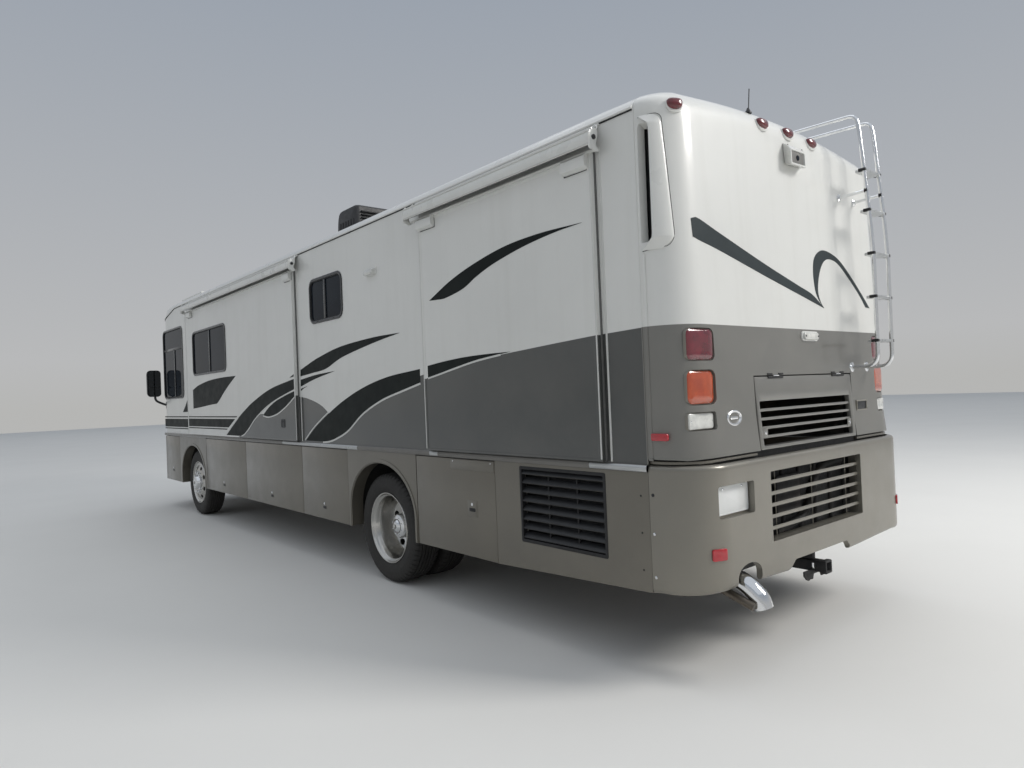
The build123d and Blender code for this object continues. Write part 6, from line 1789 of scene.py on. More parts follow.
DOORS = {
    ("left", 1): (4.155, 4.962, 4.542, 0.555), ("left", 2): (1.289, 2.850, 2.129, 0.500), ("left", 3): (-0.360, 1.289, 0.484, 0.504), ("left", 4): (-1.374, -0.360, -0.861, 0.508), ("left", 5): (-3.539, -2.544, -3.273, 0.724),
    ("right", 1): (1.289, 2.850, 2.129, 0.500), ("right", 2): (-0.360, 1.289, 0.484, 0.504), ("right", 3): (-1.374, -0.360, -0.861, 0.508), ("right", 4): (-3.539, -2.544, -3.000, 0.560)}
for (side, k), (x0, x1, lx_, lz) in DOORS.items():
    s = 1 if side == "left" else -1
    body = "%s_bay_door_%d" % (side, k)
    p = P(body + "_skin", body, "pewter_paint", m_pewter_shaded, m_bright, m_pewter_shaded, m_blk, m_bay)
    a, b = sorted((s * 1.2390, s * 1.2750))
    p.box(x0 + 0.0035, x1 - 0.0035, a, b, 0.382, 1.074, 0, bev=0.005, seg=3)
    # hem along the bottom edge and stiffener inside
    a, b = sorted((s * 1.232, s * 1.240))
    p.box(x0 + 0.06, x1 - 0.06, a, b, 0.45, 0.50, 4, bev=0.003)
    p.box(x0 + 0.06, x1 - 0.06, a, b, 0.92, 0.97, 4, bev=0.003)
    latch(p, lx_, lz, s, 1, 3, big=(side == "left" and k == 5))
    if side == "left" and k == 5:
        # small flap at the top of the door
        a, b = sorted((s * 1.2740, s * 1.2790))
        p.prism(rrect(-3.532, -3.022, 0.995, 1.068, 0.006, 4), "y", a, b, 0, bev=0.0015)
        for x in (-3.50, -3.055):
            p.lathe([(0, 0), (0, 0.006), (s * 0.003, 0.0055), (s * 0.004, 0)], (x, s * 1.279, 1.056), "y", 1, n=12, closed=False)
    p.done(rep=(body,))

# ------------------------------------------------------------------ side louvres in front of the radiator
p = P("side_louvres", "coach", "black_plastic", m_blk, m_plastic, m_core)
X0, X1, Z0, Z1 = -4.537, -3.807, 0.578, 1.048
p.ring(rrect(X0 - 0.010, X1 + 0.010, Z0 - 0.010, Z1 + 0.010, 0.012, 4), rrect(X0 + 0.010, X1 - 0.010, Z0 + 0.010, Z1 - 0.010, 0.006, 4), "y", 1.245, 1.2785, 0, crown=0.002)
n = 8
for i in range(n):
    z = Z0 + (i + 0.55) * (Z1 - Z0) / n
    sec = [(1.2700, z - 0.016), (1.2735, z - 0.014), (1.2735, z - 0.008), (1.262, z + 0.006), (1.236, z + 0.022), (1.234, z + 0.018), (1.258, z + 0.001)]
    p.prism(sec, "x", X0 + 0.004, X1 - 0.004, 1)
for x in (-4.30, -4.05):
    p.box(x - 0.004, x + 0.004, 1.236, 1.258, Z0, Z1, 0, bev=0.001)
p.box(X0 - 0.03, X1 + 0.03, 1.190, 1.200, Z0 - 0.03, 1.060, 2, bev=0.004)
p.done()

# seams and fastenings of the skirts
p = P("skirt_details", "coach", "pewter_paint", m_pewter_shaded, m_bright, m_blk)
for s in (1, -1):
    for x in (-4.858,):
        a, b = sorted((s * 1.245, s * 1.272))
        p.box(x - 0.004, x + 0.003, a, b, 0.44, 1.075, 2, bev=0.001)
    for (x0, x1) in ((2.850, 4.155), (-2.544, -1.374), (-4.858, -3.539)):
        if s < 0 and x0 > 2:
            x1 = 4.142
        # return edge along the bottom
        zb = 0.384
        if x0 > -4.0 and x0 < 2.9:
            cxa, aa = (3.5, 0.592) if x0 > 0 else (-1.96, 0.577)
            spans = [(x0, cxa - aa), (cxa + aa, x1)]
        else:
            spans = [(x0, x1)]
        for (u0, u1) in spans:
            if u1 - u0 > 0.03:
                a, b = sorted((s * 1.225, s * 1.268))
                p.box(u0 + 0.004, u1 - 0.004, a, b, zb - 0.004 if x0 > -4 else 0.440, (zb if x0 > -4 else 0.446), 0, bev=0.001)
for z in (0.55, 0.75, 0.95):
    for x in (-4.80,):
        p.lathe([(0, 0), (0, 0.006), (0.002, 0.0055), (0.003, 0)], (x, 1.275, z), "y", 2, n=10, closed=False)
p.done()
# ------------------------------------------------------------------ front cap
def dens(loop, step=0.06):
    out = []
    n = len(loop)
    for k in range(n):
        a, b = loop[k], loop[(k + 1) % n]
        m = max(1, int(math.hypot(b[0] - a[0], b[1] - a[1]) / step))
        for j in range(m):
            out.append((a[0] + (b[0] - a[0]) * j / m, a[1] + (b[1] - a[1]) * j / m))
    return out


def on_front(loop, o):
    """(Y, Z) outline laid on the front face, taken in by o."""
    a = np.array(loop)
    x = at_yz(a[:, 0], a[:, 1], o, rear=False)
    return [(float(q), float(y), float(z)) for q, (y, z) in zip(x, loop)]


def front_lens(p, y0, y1, z0, z1, r, mi, hgt, bezel=None, dome=0.0, base=0.010):
    hw, hh = (y1 - y0) / 2, (z1 - z0) / 2
    cy, cz = (y0 + y1) / 2, (z0 + z1) / 2
    loops = [on_front(dens(rrect(y0, y1, z0, z1, r, 5), 0.03), base), on_front(dens(rrect(y0, y1, z0, z1, r, 5), 0.03), -hgt * 0.75)]
    ref = dens(rrect(y0, y1, z0, z1, r, 5), 0.03)
    for k in (0.97, 0.90, 0.75, 0.55, 0.35, 0.15, 0.03):
        lp = [(cy + (a - cy) * k, cz + (b - cz) * k) for a, b in ref]
        loops.append(on_front(lp, -(hgt + dome * (1 - k * k))))
    p.loft(loops, mi, caps=True)
    if bezel is not None:
        w = 0.010
        o1 = dens(rrect(y0 - w, y1 + w, z0 - w, z1 + w, r + w, 5), 0.03)
        n1, n2 = len(o1), len(ref)
        o1 = [(cy + (a - cy) * (hw + w) / hw, cz + (b - cz) * (hh + w) / hh) for a, b in ref]
        i1 = [(cy + (a - cy) * 0.995, cz + (b - cz) * 0.995) for a, b in ref]
        p.loft([on_front(o1, 0.006), on_front(o1, -0.005), on_front(i1, -0.008), on_front(i1, 0.004)], bezel, wrap=True)


WYB = 1.196
fy = uniq([s * q for s in (1, -1) for q in (1.275, 1.262, 1.245, 1.225, WYB, 1.17, 1.14, 1.105, 1.07, 1.03)] + lin(-0.98, 0.98, 19))
fz = uniq([0.443, 0.449, 0.47] + lin(0.55, 1.03, 6) + [1.10, 1.150, 1.208, 1.220, 1.343, 1.355, 1.43, 1.50] + lin(1.62, 2.62, 10) + [2.70, 2.775, 2.83, 2.88, 2.93, 2.98, 3.03, 3.08, 3.12, 3.16, 3.19, 3.215])


def front_side(k):
    return lambda y, z: (seam(y, z) + 0.001) * (1 - k) + k * float(x_front(z))


def in_shield(t, c, pad=0.0):
    return t == "end" and abs(c[1]) < WYB - 0.001 + pad and 1.5 - pad < c[2] < 2.775 + pad


def front_paint(c, n):
    if c.z < 1.10:
        return 3
    if 1.220 < c.z < 1.343:
        return 1
    if 1.208 < c.z < 1.355:
        return 2
    return 0


m_shield = M("windshield_glass", (0.020, 0.028, 0.030), 0.03, coat=0.6, coat_rough=0.02, spec=0.8, var=0.2, vscale=2, rvar=0.02, dirt=0.15, dirt_col=(0.2, 0.19, 0.16), dirt_z=(1.4, 1.9), trans=0.85, ior=1.45)
front_cap = shell("front_cap_skin", [front_side(k) for k in (0.0, 0.25, 0.5, 0.75)], fy, fz, lambda t, c: not in_shield(t, c), "front", [m_white, m_black, m_line, m_pewter_shaded], "coach",
                  thick=0.045, rep=("front_cap",), midx=front_paint)
shell("windshield_panes", [5.0], fy, fz, lambda t, c: in_shield(t, c) and abs(c[1]) > 0.001, "front", [m_shield], "coach", thick=0.006, rep=("windshield",), o=0.012)

p = P("windshield_trim", "coach", "black_plastic", m_blk, m_plastic, m_alu)
go = dens(rrect(-1.142, 1.142, 1.480, 2.782, 0.058, 8), 0.05)
gi = [(y * 1.070 / 1.140, 2.13 + (z - 2.13) * 0.578 / 0.648) for y, z in go]
gm = [(y * 1.100 / 1.140, 2.13 + (z - 2.13) * 0.612 / 0.648) for y, z in go]
p.loft([on_front(go, 0.004), on_front(go, -0.004), on_front(gm, -0.009), on_front(gi, -0.002), on_front(gi, 0.026), on_front(go, 0.026)], 0, wrap=True)
bar = []
for z in lin(1.49, 2.76, 14):
    x = float(at_yz(0.0, z, 0.0, rear=False)[0])
    bar.append([(x - 0.030, -0.022, z), (x + 0.002, -0.022, z), (x + 0.008, -0.012, z), (x + 0.008, 0.012, z), (x + 0.002, 0.022, z), (x - 0.030, 0.022, z)])
p.loft(bar, 0, caps=True)
# wipers
for s in (1, -1):
    a = (0.62 * s, 1.452)
    b = (0.16 * s, 1.83)
    pts = [(a[0] + (b[0] - a[0]) * k / 8, a[1] + (b[1] - a[1]) * k / 8) for k in range(9)]
    arm = [(float(at_yz(y, z, -0.030, rear=False)[0]), y, z) for y, z in pts]
    p.tube(arm, 0.0075, 1, n=8)
    c = (float(at_yz(a[0], a[1], -0.004, rear=False)[0]), a[0], a[1])
    p.lathe([(-0.01, 0.0), (-0.01, 0.030), (0.012, 0.028), (0.030, 0.016), (0.036, 0.0)], c, "x", 1, n=20, closed=False)
    d = [(b[0] + 0.02 * s, 1.62), (b[0] - 0.05 * s, 2.26)]
    pts = [(d[0][0] + (d[1][0] - d[0][0]) * k / 10, d[0][1] + (d[1][1] - d[0][1]) * k / 10) for k in range(11)]
    for o, r in ((-0.012, 0.006), (-0.021, 0.0045)):
        p.tube([(float(at_yz(y, z, o, rear=False)[0]), y, z) for y, z in pts], r, 0 if o > -0.02 else 1, n=6)
p.done()

p = P("front_lights", "coach", "clear_lens", m_clear, m_plastic, m_amber, m_mark, m_chrome)
for s in (1, -1):
    a, b = sorted((s * 0.700, s * 1.060))
    front_lens(p, a, b, 0.900, 1.078, 0.030, 0, 0.010, bezel=1, dome=0.003)
    for y in (0.80, 0.95):
        x = float(at_yz(s * y, 0.985, -0.0135, rear=False)[0])
    a, b = sorted((s * 0.700, s * 1.060))
    front_lens(p, a, b, 0.846, 0.884, 0.012, 2, 0.009, bezel=1, dome=0.001)
p.done(rep=("front_lamps",))
p = P("front_markers", "coach", "lamp_lens", m_amber, m_white)
for y in (-0.86, -0.30, 0.0, 0.30, 0.86):
    front_lens(p, y - 0.045, y + 0.045, 2.862, 2.888, 0.011, 0, 0.014, dome=0.006)
p.done()

p = P("front_grille", "coach", "black_plastic", m_blk, m_plastic, m_chrome)
go = dens(rrect(-0.600, 0.600, 0.880, 1.085, 0.030, 5), 0.05)
gi = [(y * 0.582 / 0.600, 0.9825 + (z - 0.9825) * 0.084 / 0.1025) for y, z in go]
p.loft([on_front(go, 0.004), on_front(go, -0.006), on_front(gi, -0.006), on_front(gi, 0.004)], 1, wrap=True)
p.loft([on_front(gi, 0.004), on_front(gi, -0.001)], 0, caps=True)
for z in (0.915, 0.948, 0.982, 1.016, 1.050):
    sec = []
    for y in lin(-0.585, 0.585, 21):
        x = float(at_yz(y, z, 0.0, rear=False)[0])
        sec.append([(x - 0.004, y, z - 0.008), (x + 0.007, y, z - 0.006), (x + 0.008, y, z + 0.001), (x - 0.004, y, z + 0.008)])
    p.loft(sec, 1, caps=True)
p.done()

p = P("front_bumper_bar", "coach", "pewter_paint", m_pewter_shaded, m_plastic, m_bright)
rows = [(0.006, 0.470), (-0.012, 0.472), (-0.0175, 0.480), (-0.0178, 0.62), (-0.0178, 0.785), (-0.012, 0.798), (0.006, 0.800)]
sec = []
for y in [-1.245, -1.243] + lin(-1.235, 1.235, 45) + [1.243, 1.245]:
    k = 0.15 if abs(y) > 1.244 else 1.0
    sec.append([(float(at_yz(y, z, o * k, rear=False)[0]), y, z) for o, z in rows])
p.loft(sec, 0, caps=True)
p.box(5.215, 5.3045, -0.610, 0.610, 0.502, 0.618, 1, bev=0.022, seg=4)
for s in (1, -1):
    p.tube([(5.20, s * 0.42, 0.478), (5.262, s * 0.42, 0.470), (5.262, s * 0.42, 0.500)], 0.011, 2, n=10)
p.done()

# ------------------------------------------------------------------ mirrors
p = P("mirror_heads", "coach", "black_plastic", m_plastic, m_blk, m_mirror)
for s in (1, -1):
    def lp(y0, y1, z0, z1, r, x):
        a, b = sorted((s * y0, s * y1))
        return [(x, y, z) for y, z in rrect(a, b, z0, z1, r, 6)]
    p.loft([lp(1.330, 1.508, 1.716, 2.112, 0.040, 4.972), lp(1.322, 1.515, 1.706, 2.120, 0.048, 4.962), lp(1.317, 1.519, 1.702, 2.124, 0.052, 4.968), lp(1.3155, 1.5195, 1.7005, 2.1245, 0.055, 4.995),
            lp(1.320, 1.515, 1.708, 2.116, 0.060, 5.035), lp(1.338, 1.497, 1.73, 2.09, 0.065, 5.062), lp(1.365, 1.470, 1.78, 2.03, 0.050, 5.076)], 0, caps=True)
    p.loft([lp(1.332, 1.506, 1.850, 2.110, 0.036, 4.9715), lp(1.332, 1.506, 1.850, 2.110, 0.036, 4.9685)], 2, caps=True)
    p.loft([lp(1.332, 1.506, 1.718, 1.842, 0.030, 4.9715), lp(1.332, 1.506, 1.718, 1.842, 0.030, 4.9685)], 2, caps=True)
    p.tube(soft([(5.020, s * 1.400, 1.735), (5.020, s * 1.395, 1.640), (5.032, s * 1.300, 1.590), (5.062, s * 1.200, 1.556)], 0.06, 6), 0.0175, 0, n=14)
    p.box(5.030, 5.100, min(s * 1.195, s * 1.225), max(s * 1.195, s * 1.225), 1.50, 1.62, 0, bev=0.010, seg=3)
p.done(rep=("mirrors",))

# ------------------------------------------------------------------ equipment on the roof
p = P("roof_unit", "coach", "black_plastic", m_plastic, m_blk, m_core)
side_pts = [(-0.655, 3.196), (-0.168, 3.196), (-0.172, 3.250), (-0.180, 3.38), (-0.193, 3.478), (-0.205, 3.530), (-0.228, 3.574), (-0.262, 3.594), (-0.305, 3.5995), (-0.600, 3.5995), (-0.620, 3.594), (-0.632, 3.578)]
loops = []
for y, g in ((0.024, 0.030), (0.028, 0.012), (0.040, 0.004), (0.070, 0.0), (0.650, 0.0), (0.680, 0.004), (0.692, 0.012), (0.696, 0.030)):
    cx_, cz_ = -0.40, 3.36
    loops.append([(cx_ + (x - cx_) * (1 - g / 0.24), y, (cz_ + (z - cz_) * (1 - g / 0.24)) if z > 3.2 else z - 0.02) for x, z in side_pts])
p.loft(loops, 0, caps=True)
# louvred back and sides
for i in range(9):
    z = 3.245 + i * 0.034
    p.box(-0.664, -0.640 + 0.0 * z, 0.075, 0.645, z, z + 0.014, 1, bev=0.003)
for i in range(6):
    x = -0.58 + i * 0.060
    for y in (0.0215, 0.6985):
        p.box(x, x + 0.036, y - 0.0012, y + 0.0012, 3.30, 3.46, 1, bev=0.001)
for y in (0.14, 0.36, 0.58):
    p.box(-0.600, -0.300, y - 0.010, y + 0.010, 3.590, 3.5998, 1, bev=0.003)
p.done()
p = P("roof_fittings", "coach", "body_paint", m_white, m_plastic, m_clear, m_railgrey)
for (x0, x1, y0, y1) in ((0.482, 0.758, 0.422, 0.698), (-3.198, -2.842, -0.178, 0.178)):
    zc = min(float(z_crown(y0)), float(z_crown(y1))) - 0.006
    base = rrect(x0, x1, y0, y1, 0.02, 4)
    p.prism(base, "z", zc, zc + 0.030, 0, bev=0.004)
    i2 = 0.014
    p.loft([[(x, y, zc + 0.030) for x, y in rrect(x0 + i2, x1 - i2, y0 + i2, y1 - i2, 0.03, 5)], [(x, y, zc + 0.066) for x, y in rrect(x0 + i2, x1 - i2, y0 + i2, y1 - i2, 0.03, 5)],
            [(x, y, zc + 0.078) for x, y in rrect(x0 + i2 + 0.012, x1 - i2 - 0.012, y0 + i2 + 0.012, y1 - i2 - 0.012, 0.03, 5)], [(x, y, min(3.2995, zc + 0.088)) for x, y in rrect(x0 + 0.08, x1 - 0.08, y0 + 0.08, y1 - 0.08, 0.03, 5)]], 1, caps=True)
# whip aerial
p.lathe([(0.0, 0.0), (0.0, 0.022), (0.006, 0.021), (0.020, 0.012), (0.034, 0.006), (0.034, 0.0)], (-4.995, 0.350, float(at_top(-4.995, 0.350)) - 0.003), "z", 1, n=16, closed=False)
p.tube([(-4.995, 0.350, float(at_top(-4.995, 0.350))), (-4.996, 0.343, 3.22), (-4.998, 0.332, 3.3285)], 0.0032, 1, n=8)
# tube along the front of the roof on two feet
path = soft([(3.545, 1.040, 3.150), (3.545, 1.040, 3.214), (4.575, 1.040, 3.214), (4.575, 1.040, 3.06)], 0.05, 6)
p.tube([(3.560, 1.040, 3.214), (4.560, 1.040, 3.214)], 0.0195, 0, n=16)
for x in (3.560, 4.560):
    p.lathe([(-0.004, 0.0), (-0.004, 0.0195), (0.0, 0.0215), (0.010, 0.0215), (0.012, 0.0195), (0.012, 0.0)] if x < 4 else [(-0.012, 0.0), (-0.012, 0.0195), (-0.010, 0.0215), (0.0, 0.0215), (0.004, 0.0195), (0.004, 0.0)], (x, 1.040, 3.214), "x", 0, n=16, closed=False)
for x in (3.660, 4.460):
    zb = float(at_top(x, 1.04))
    p.box(x - 0.016, x + 0.016, 1.024, 1.056, zb - 0.003, 3.204, 0, bev=0.004)
    p.box(x - 0.034, x + 0.034, 1.006, 1.074, zb - 0.002, zb + 0.010, 0, bev=0.003)
p.done(rep=("roof_equipment",))

# ------------------------------------------------------------------ entry door
X0, X1, Z0, Z1 = 4.148, 4.862, 0.440, 2.620
p = P("entry_door_skin", "entry_door", "body_paint", m_rwall, m_pewter_shaded, m_black, m_line, m_interior)
p.prism(rrect(X0, X1, 1.1018, Z1, 0.030, 6), "y", -1.2395, -1.275, 0, bev=0.004)
door = p.done(angle=30)
q = P("cutter", None, None)
q.prism(rrect(X0 + 0.110, X1 - 0.110, 1.70, 2.45, 0.060, 8), "y", -1.30, -1.20)
cut(door, [q.done()], 30)
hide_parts("entry_door")
p = P("entry_door_lower", "entry_door", "body_paint", m_pewter_shaded, m_interior)
p.box(X0, X1, -1.275, -1.2395, Z0, 1.0982, 0, bev=0.004)
p.box(X0 + 0.03, X1 - 0.03, -1.2395, -1.2320, Z0 + 0.03, 1.0982, 1, bev=0.003)
p.done(angle=30)
p = P("entry_door_lining", "entry_door", "body_paint", m_interior)
lo_ = rrect(X0 + 0.030, X1 - 0.030, 1.104, Z1 - 0.030, 0.030, 8)
li_ = rrect(X0 + 0.106, X1 - 0.106, 1.696, 2.454, 0.064, 8)
p.ring(lo_, li_, "y", -1.2392, -1.2320, 0)
p.done(angle=30)
p = P("entry_door_fittings", "entry_door", "black_plastic", m_plastic, m_blk, m_shield, m_chrome, m_blkgloss)
o_ = rrect(X0 + 0.098, X1 - 0.098, 1.688, 2.462, 0.070, 8)
i_ = rrect(X0 + 0.130, X1 - 0.130, 1.720, 2.430, 0.050, 8)
p.ring(o_, i_, "y", -1.245, -1.2815, 4, crown=-0.003)
p.prism(rrect(X0 + 0.120, X1 - 0.120, 1.71, 2.44, 0.05, 8), "y", -1.258, -1.263, 2)
# handle in its dish
p.prism(rrect(X0 + 0.030, X0 + 0.125, 1.345, 1.535, 0.018, 5), "y", -1.274, -1.2795, 0, bev=0.002)
p.prism(rrect(X0 + 0.044, X0 + 0.076, 1.360, 1.520, 0.012, 5), "y", -1.278, -1.3055, 1, bev=0.006)
p.lathe([(-0.000, 0.0), (-0.000, 0.013), (-0.004, 0.012), (-0.006, 0.0)], (X0 + 0.102, -1.279, 1.49), "y", 3, n=16, closed=False)
p.lathe([(-0.000, 0.0), (-0.000, 0.013), (-0.004, 0.012), (-0.006, 0.0)], (X0 + 0.085, -1.2745, 1.64), "y", 3, n=16, closed=False)
p.done()
p = P("door_grab_rail", "coach", "polished_alloy", m_bright, m_plastic)
p.tube(soft([(4.055, -1.274, 1.20), (4.055, -1.312, 1.20), (4.055, -1.312, 1.78), (4.055, -1.274, 1.78)], 0.03, 6), 0.012, 0, n=12)
for z in (1.20, 1.78):
    p.lathe([(0.0, 0.0), (0.0, 0.026), (-0.004, 0.025), (-0.008, 0.014), (-0.008, 0.0)], (4.055, -1.2745, z), "y", 1, n=18, closed=False)
p.done()
p = P("door_hinges", "coach", "trim_aluminium", m_alu, m_blk)
for z in (0.70, 1.25, 1.95, 2.48):
    p.tube([(4.8665, -1.2805, z - 0.045), (4.8665, -1.2805, z + 0.045)], 0.0055, 0, n=10)
    p.box(4.869, 4.905, -1.2785, -1.2740, z - 0.04, z + 0.04, 0, bev=0.001)
p.done()

# ------------------------------------------------------------------ patio awning in its case
p = P("awning_case", "coach", "awning_fabric", m_white, m_plastic, m_alu, m_railgrey)
sec = [(-1.288, 2.998), (-1.310, 3.006), (-1.345, 3.006), (-1.368, 2.996), (-1.381, 2.976), (-1.384, 2.950), (-1.378, 2.928), (-1.362, 2.915), (-1.335, 2.912), (-1.330, 2.920), (-1.300, 2.921), (-1.294, 2.912), (-1.288, 2.914)]
p.prism(sec, "x", -1.398, 3.298, 0)
for a, b in ((-1.400, -1.372), (3.272, 3.300)):
    p.prism([((y + 1.335) * 1.0 - 1.335, z) for y, z in sec], "x", a, b, 1, bev=0.002)
p.prism([(-1.372, 2.917), (-1.352, 2.9105), (-1.335, 2.9102), (-1.333, 2.922), (-1.350, 2.924), (-1.368, 2.926)], "x", -1.36, 3.26, 2)
for x in (-1.0, 0.2, 1.4, 2.6):
    p.box(x - 0.06, x + 0.06, -1.292, -1.2735, 2.930, 2.985, 2, bev=0.004)
p.done(rep=("patio_awning",))

# ------------------------------------------------------------------ cab: seats, wheel, dashboard hood
def cushion(name, c, half, axes, pleats, crown=0.30, pw=5.0, rep=()):
    """Padded block; axes are three unit vectors (across, along, out). Sculpted, with sewn pleats across."""
    bm = bmesh.new()
    n = 14
    verts = {}
    vs, fs = [], []

    def vid(k):
        if k not in verts:
            verts[k] = len(vs)
            u = np.array([2 * q / n - 1 for q in k])
            d = u / (np.sum(np.abs(u) ** pw) ** (1 / pw) + 1e-9) * np.max(np.abs(u))
            a, b, o = d
            w = half[0] * a
            l_ = half[1] * b
            h = half[2] * o * (1 + crown * (1 - a * a) * (1 - b * b) * (1 if o > 0 else 0.2))
            if o > 0:
                for pl in pleats:
                    h -= 0.010 * math.exp(-((b - pl) / 0.07) ** 2) * max(0, 1 - a ** 4) * min(1, o * 1.4)
                # side bolsters
                h += 0.018 * math.exp(-((abs(a) - 0.80) / 0.16) ** 2)
                h -= 0.008 * math.exp(-((abs(a) - 0.58) / 0.05) ** 2)
            q = np.array(c) + axes[0] * w + axes[1] * l_ + axes[2] * h
            vs.append(tuple(q))
        return verts[k]
    for ax in range(3):
        for e in (0, n):
            for i in range(n):
                for j in range(n):
                    def key(a, b):
                        k = [0, 0, 0]
                        k[ax] = e
                        k[(ax + 1) % 3] = a
                        k[(ax + 2) % 3] = b
                        return tuple(k)
                    q = [vid(key(i, j)), vid(key(i + 1, j)), vid(key(i + 1, j + 1)), vid(key(i, j + 1))]
                    fs.append(q if e == n else q[::-1])
    bm.free()
    p = P(name, "coach", "seat_leather", m_seat)
    p.raw(vs, fs, 0)
    ob = p.done(angle=60, rep=rep)
    md = ob.modifiers.new("sub", "SUBSURF")
    md.levels = md.render_levels = 1
    return ob


X_, Y_, Z_ = np.eye(3)
for nm, y, rep_ in (("driver", 0.650, ("cab_seats",)), ("passenger", -0.420, ())):
    cushion(nm + "_seat_cushion", (3.905, y, 1.512), (0.245, 0.240, 0.055), (Y_, X_, Z_), (-0.45, 0.0, 0.45), rep=rep_)
    t = math.radians(8)
    upv, outv = np.array([-math.sin(t), 0, math.cos(t)]), np.array([math.cos(t), 0, math.sin(t)])
    cushion(nm + "_seat_back", (3.640, y, 1.860), (0.235, 0.300, 0.050), (Y_, upv, outv), (-0.55, -0.2, 0.15, 0.5))
    cushion(nm + "_headrest", (3.598, y, 2.185), (0.125, 0.058, 0.036), (Y_, upv, outv), (), pw=4.0)
    for s in (1, -1):
        p_c = (3.79, y + s * 0.222, 1.700)
        cushion(nm + ("_armrest_left" if s > 0 else "_armrest_right"), p_c, (0.026, 0.150, 0.022), (Y_, X_, Z_), (), pw=3.0)
p = P("seat_pedestals", "coach", "black_plastic", m_plastic, m_cast)
for y in (0.650, -0.420):
    p.box(3.79, 4.01, y - 0.12, y + 0.12, 1.102, 1.13, 1, bev=0.006)
    p.prism(rrect(3.82, 3.98, y - 0.09, y + 0.09, 0.03, 5), "z", 1.13, 1.44, 0, bev=0.006)
    p.box(3.70, 4.10, y - 0.20, y + 0.20, 1.44, 1.475, 0, bev=0.010)
p.done()
t = math.radians(50)
ex, ey, ez = Vector((math.cos(t), 0, math.sin(t))), Vector((0, 1, 0)), Vector((-math.sin(t), 0, math.cos(t)))
SWM = Matrix(((ex.x, ey.x, ez.x, 4.430), (ex.y, ey.y, ez.y, 0.650), (ex.z, ey.z, ez.z, 1.700), (0, 0, 0, 1)))
q = P("x", None, None)
ringp = [(0.215 * math.cos(a), 0.215 * math.sin(a), 0.0) for a in np.linspace(0, 2 * math.pi, 56, endpoint=False)]
loops = []
for k, a in enumerate(np.linspace(0, 2 * math.pi, 56, endpoint=False)):
    lp_ = []
    for j in range(12):
        b = 2 * math.pi * j / 12
        rr_ = 0.215 + 0.0155 * math.cos(b)
        lp_.append((rr_ * math.cos(a), rr_ * math.sin(a), 0.0155 * math.sin(b)))
    loops.append(lp_)
q.loft(loops, 0, wrap=True)
for a0 in (0.0, math.pi, math.pi * 1.5):
    c_, s_ = math.cos(a0), math.sin(a0)
    w = 0.022
    lo = []
    for r_, ww, zz in ((0.03, 0.028, -0.004), (0.10, 0.022, -0.006), (0.17, 0.018, -0.004), (0.206, 0.022, 0.0)):
        lo.append([(r_ * c_ - k * s_ * ww, r_ * s_ + k * c_ * ww, zz + h) for k, h in ((-1, -0.004), (1, -0.004), (1, 0.004), (-1, 0.004))])
    q.loft(lo, 0, caps=True)
q.lathe([(-0.019, 0.0), (-0.019, 0.046), (0.006, 0.050), (0.015, 0.044), (0.019, 0.028), (0.0195, 0.0)], (0, 0, 0), "z", 0, n=32, closed=False)
p = P("steering_wheel_rim", "steering_wheel", "dash_plastic", m_blk, m_dash)
p.raw([tuple(SWM @ Vector(v)) for v in q.v], q.f, 0)
p.done(rep=("steering_wheel",))
p = P("dashboard_hood", "coach", "dash_plastic", m_dash, m_plastic, m_blkgloss, m_clear)
p.prism([(4.565, 1.702), (4.575, 1.735), (4.62, 1.762), (4.74, 1.760), (4.90, 1.712), (4.90, 1.701)], "y", 0.36, 0.94, 0, bev=0.004)
for y in (0.50, 0.65, 0.80):
    p.lathe([(0.0, 0.0), (0.0, 0.052), (-0.006, 0.055), (-0.010, 0.050), (-0.006, 0.046), (-0.004, 0.0)], (4.5605, y, 1.63), "x", 1, n=28, closed=False)
    p.lathe([(-0.004, 0.0), (-0.004, 0.045), (-0.0055, 0.0)], (4.5605, y, 1.63), "x", 2, n=28, closed=False)
for y in (-0.30, 0.05):
    p.prism(rrect(y - 0.07, y + 0.07, 1.58, 1.65, 0.012, 4), "x", 4.552, 4.562, 1, bev=0.003)
p.box(4.553, 4.562, -0.62, -0.42, 1.40, 1.66, 1, bev=0.003)
p.done()
# steering column
p = P("steering_column", "coach", "dash_plastic", m_plastic, m_blk)
a = SWM @ Vector((0, 0, -0.030))
b = SWM @ Vector((0, 0, -0.235))
p.tube([tuple(a), tuple(b)], 0.030, 0, n=16)
p.tube([tuple(SWM @ Vector((0, 0.02, -0.07))), tuple(SWM @ Vector((0.0, 0.17, -0.055)))], 0.006, 1, n=8)
p.done()

# ------------------------------------------------------------------ pieces of the chassis that show
p = P("axle_fittings", "coach", "cast_steel", m_cast, m_under, m_blk)
for s in (1, -1):
    for x in (3.480 - 0.30, -1.953 - 0.40, -1.953 + 0.40):
        # air bags
        zt, zb = 0.648, 0.44
        prof = [(0.0, 0.0), (0.0, 0.085), (0.02, 0.115), (0.06, 0.125), (0.10, 0.110), (0.14, 0.124), (0.18, 0.112), (0.20, 0.085), (0.20, 0.0)]
        p.lathe(prof, (x, s * 0.43, 0.445), "z", 2, n=28, closed=False)
p.done()
# ------------------------------------------------------------------ materials of the remaining frame pieces
for n in N:
    paint(n, m_under)
for n, q in (("left_wall", m_lwall), ("right_wall", m_rwall), ("front_slide_room", m_fslide), ("rear_slide_room", m_rslide), ("left_skirt", m_pewter_shaded), ("right_skirt", m_pewter_shaded),
             ("coach_floor", m_floor), ("left_basement", m_bay), ("right_basement", m_bay), ("engine", m_cast), ("radiator", m_core), ("fuel_tank", m_under), ("entry_steps", m_plastic),
             ("front_axle", m_cast), ("rear_axle", m_cast), ("knuckle_left", m_cast), ("knuckle_right", m_cast), ("tie_rod", m_cast), ("dashboard", m_dash)):
    paint(n, q)

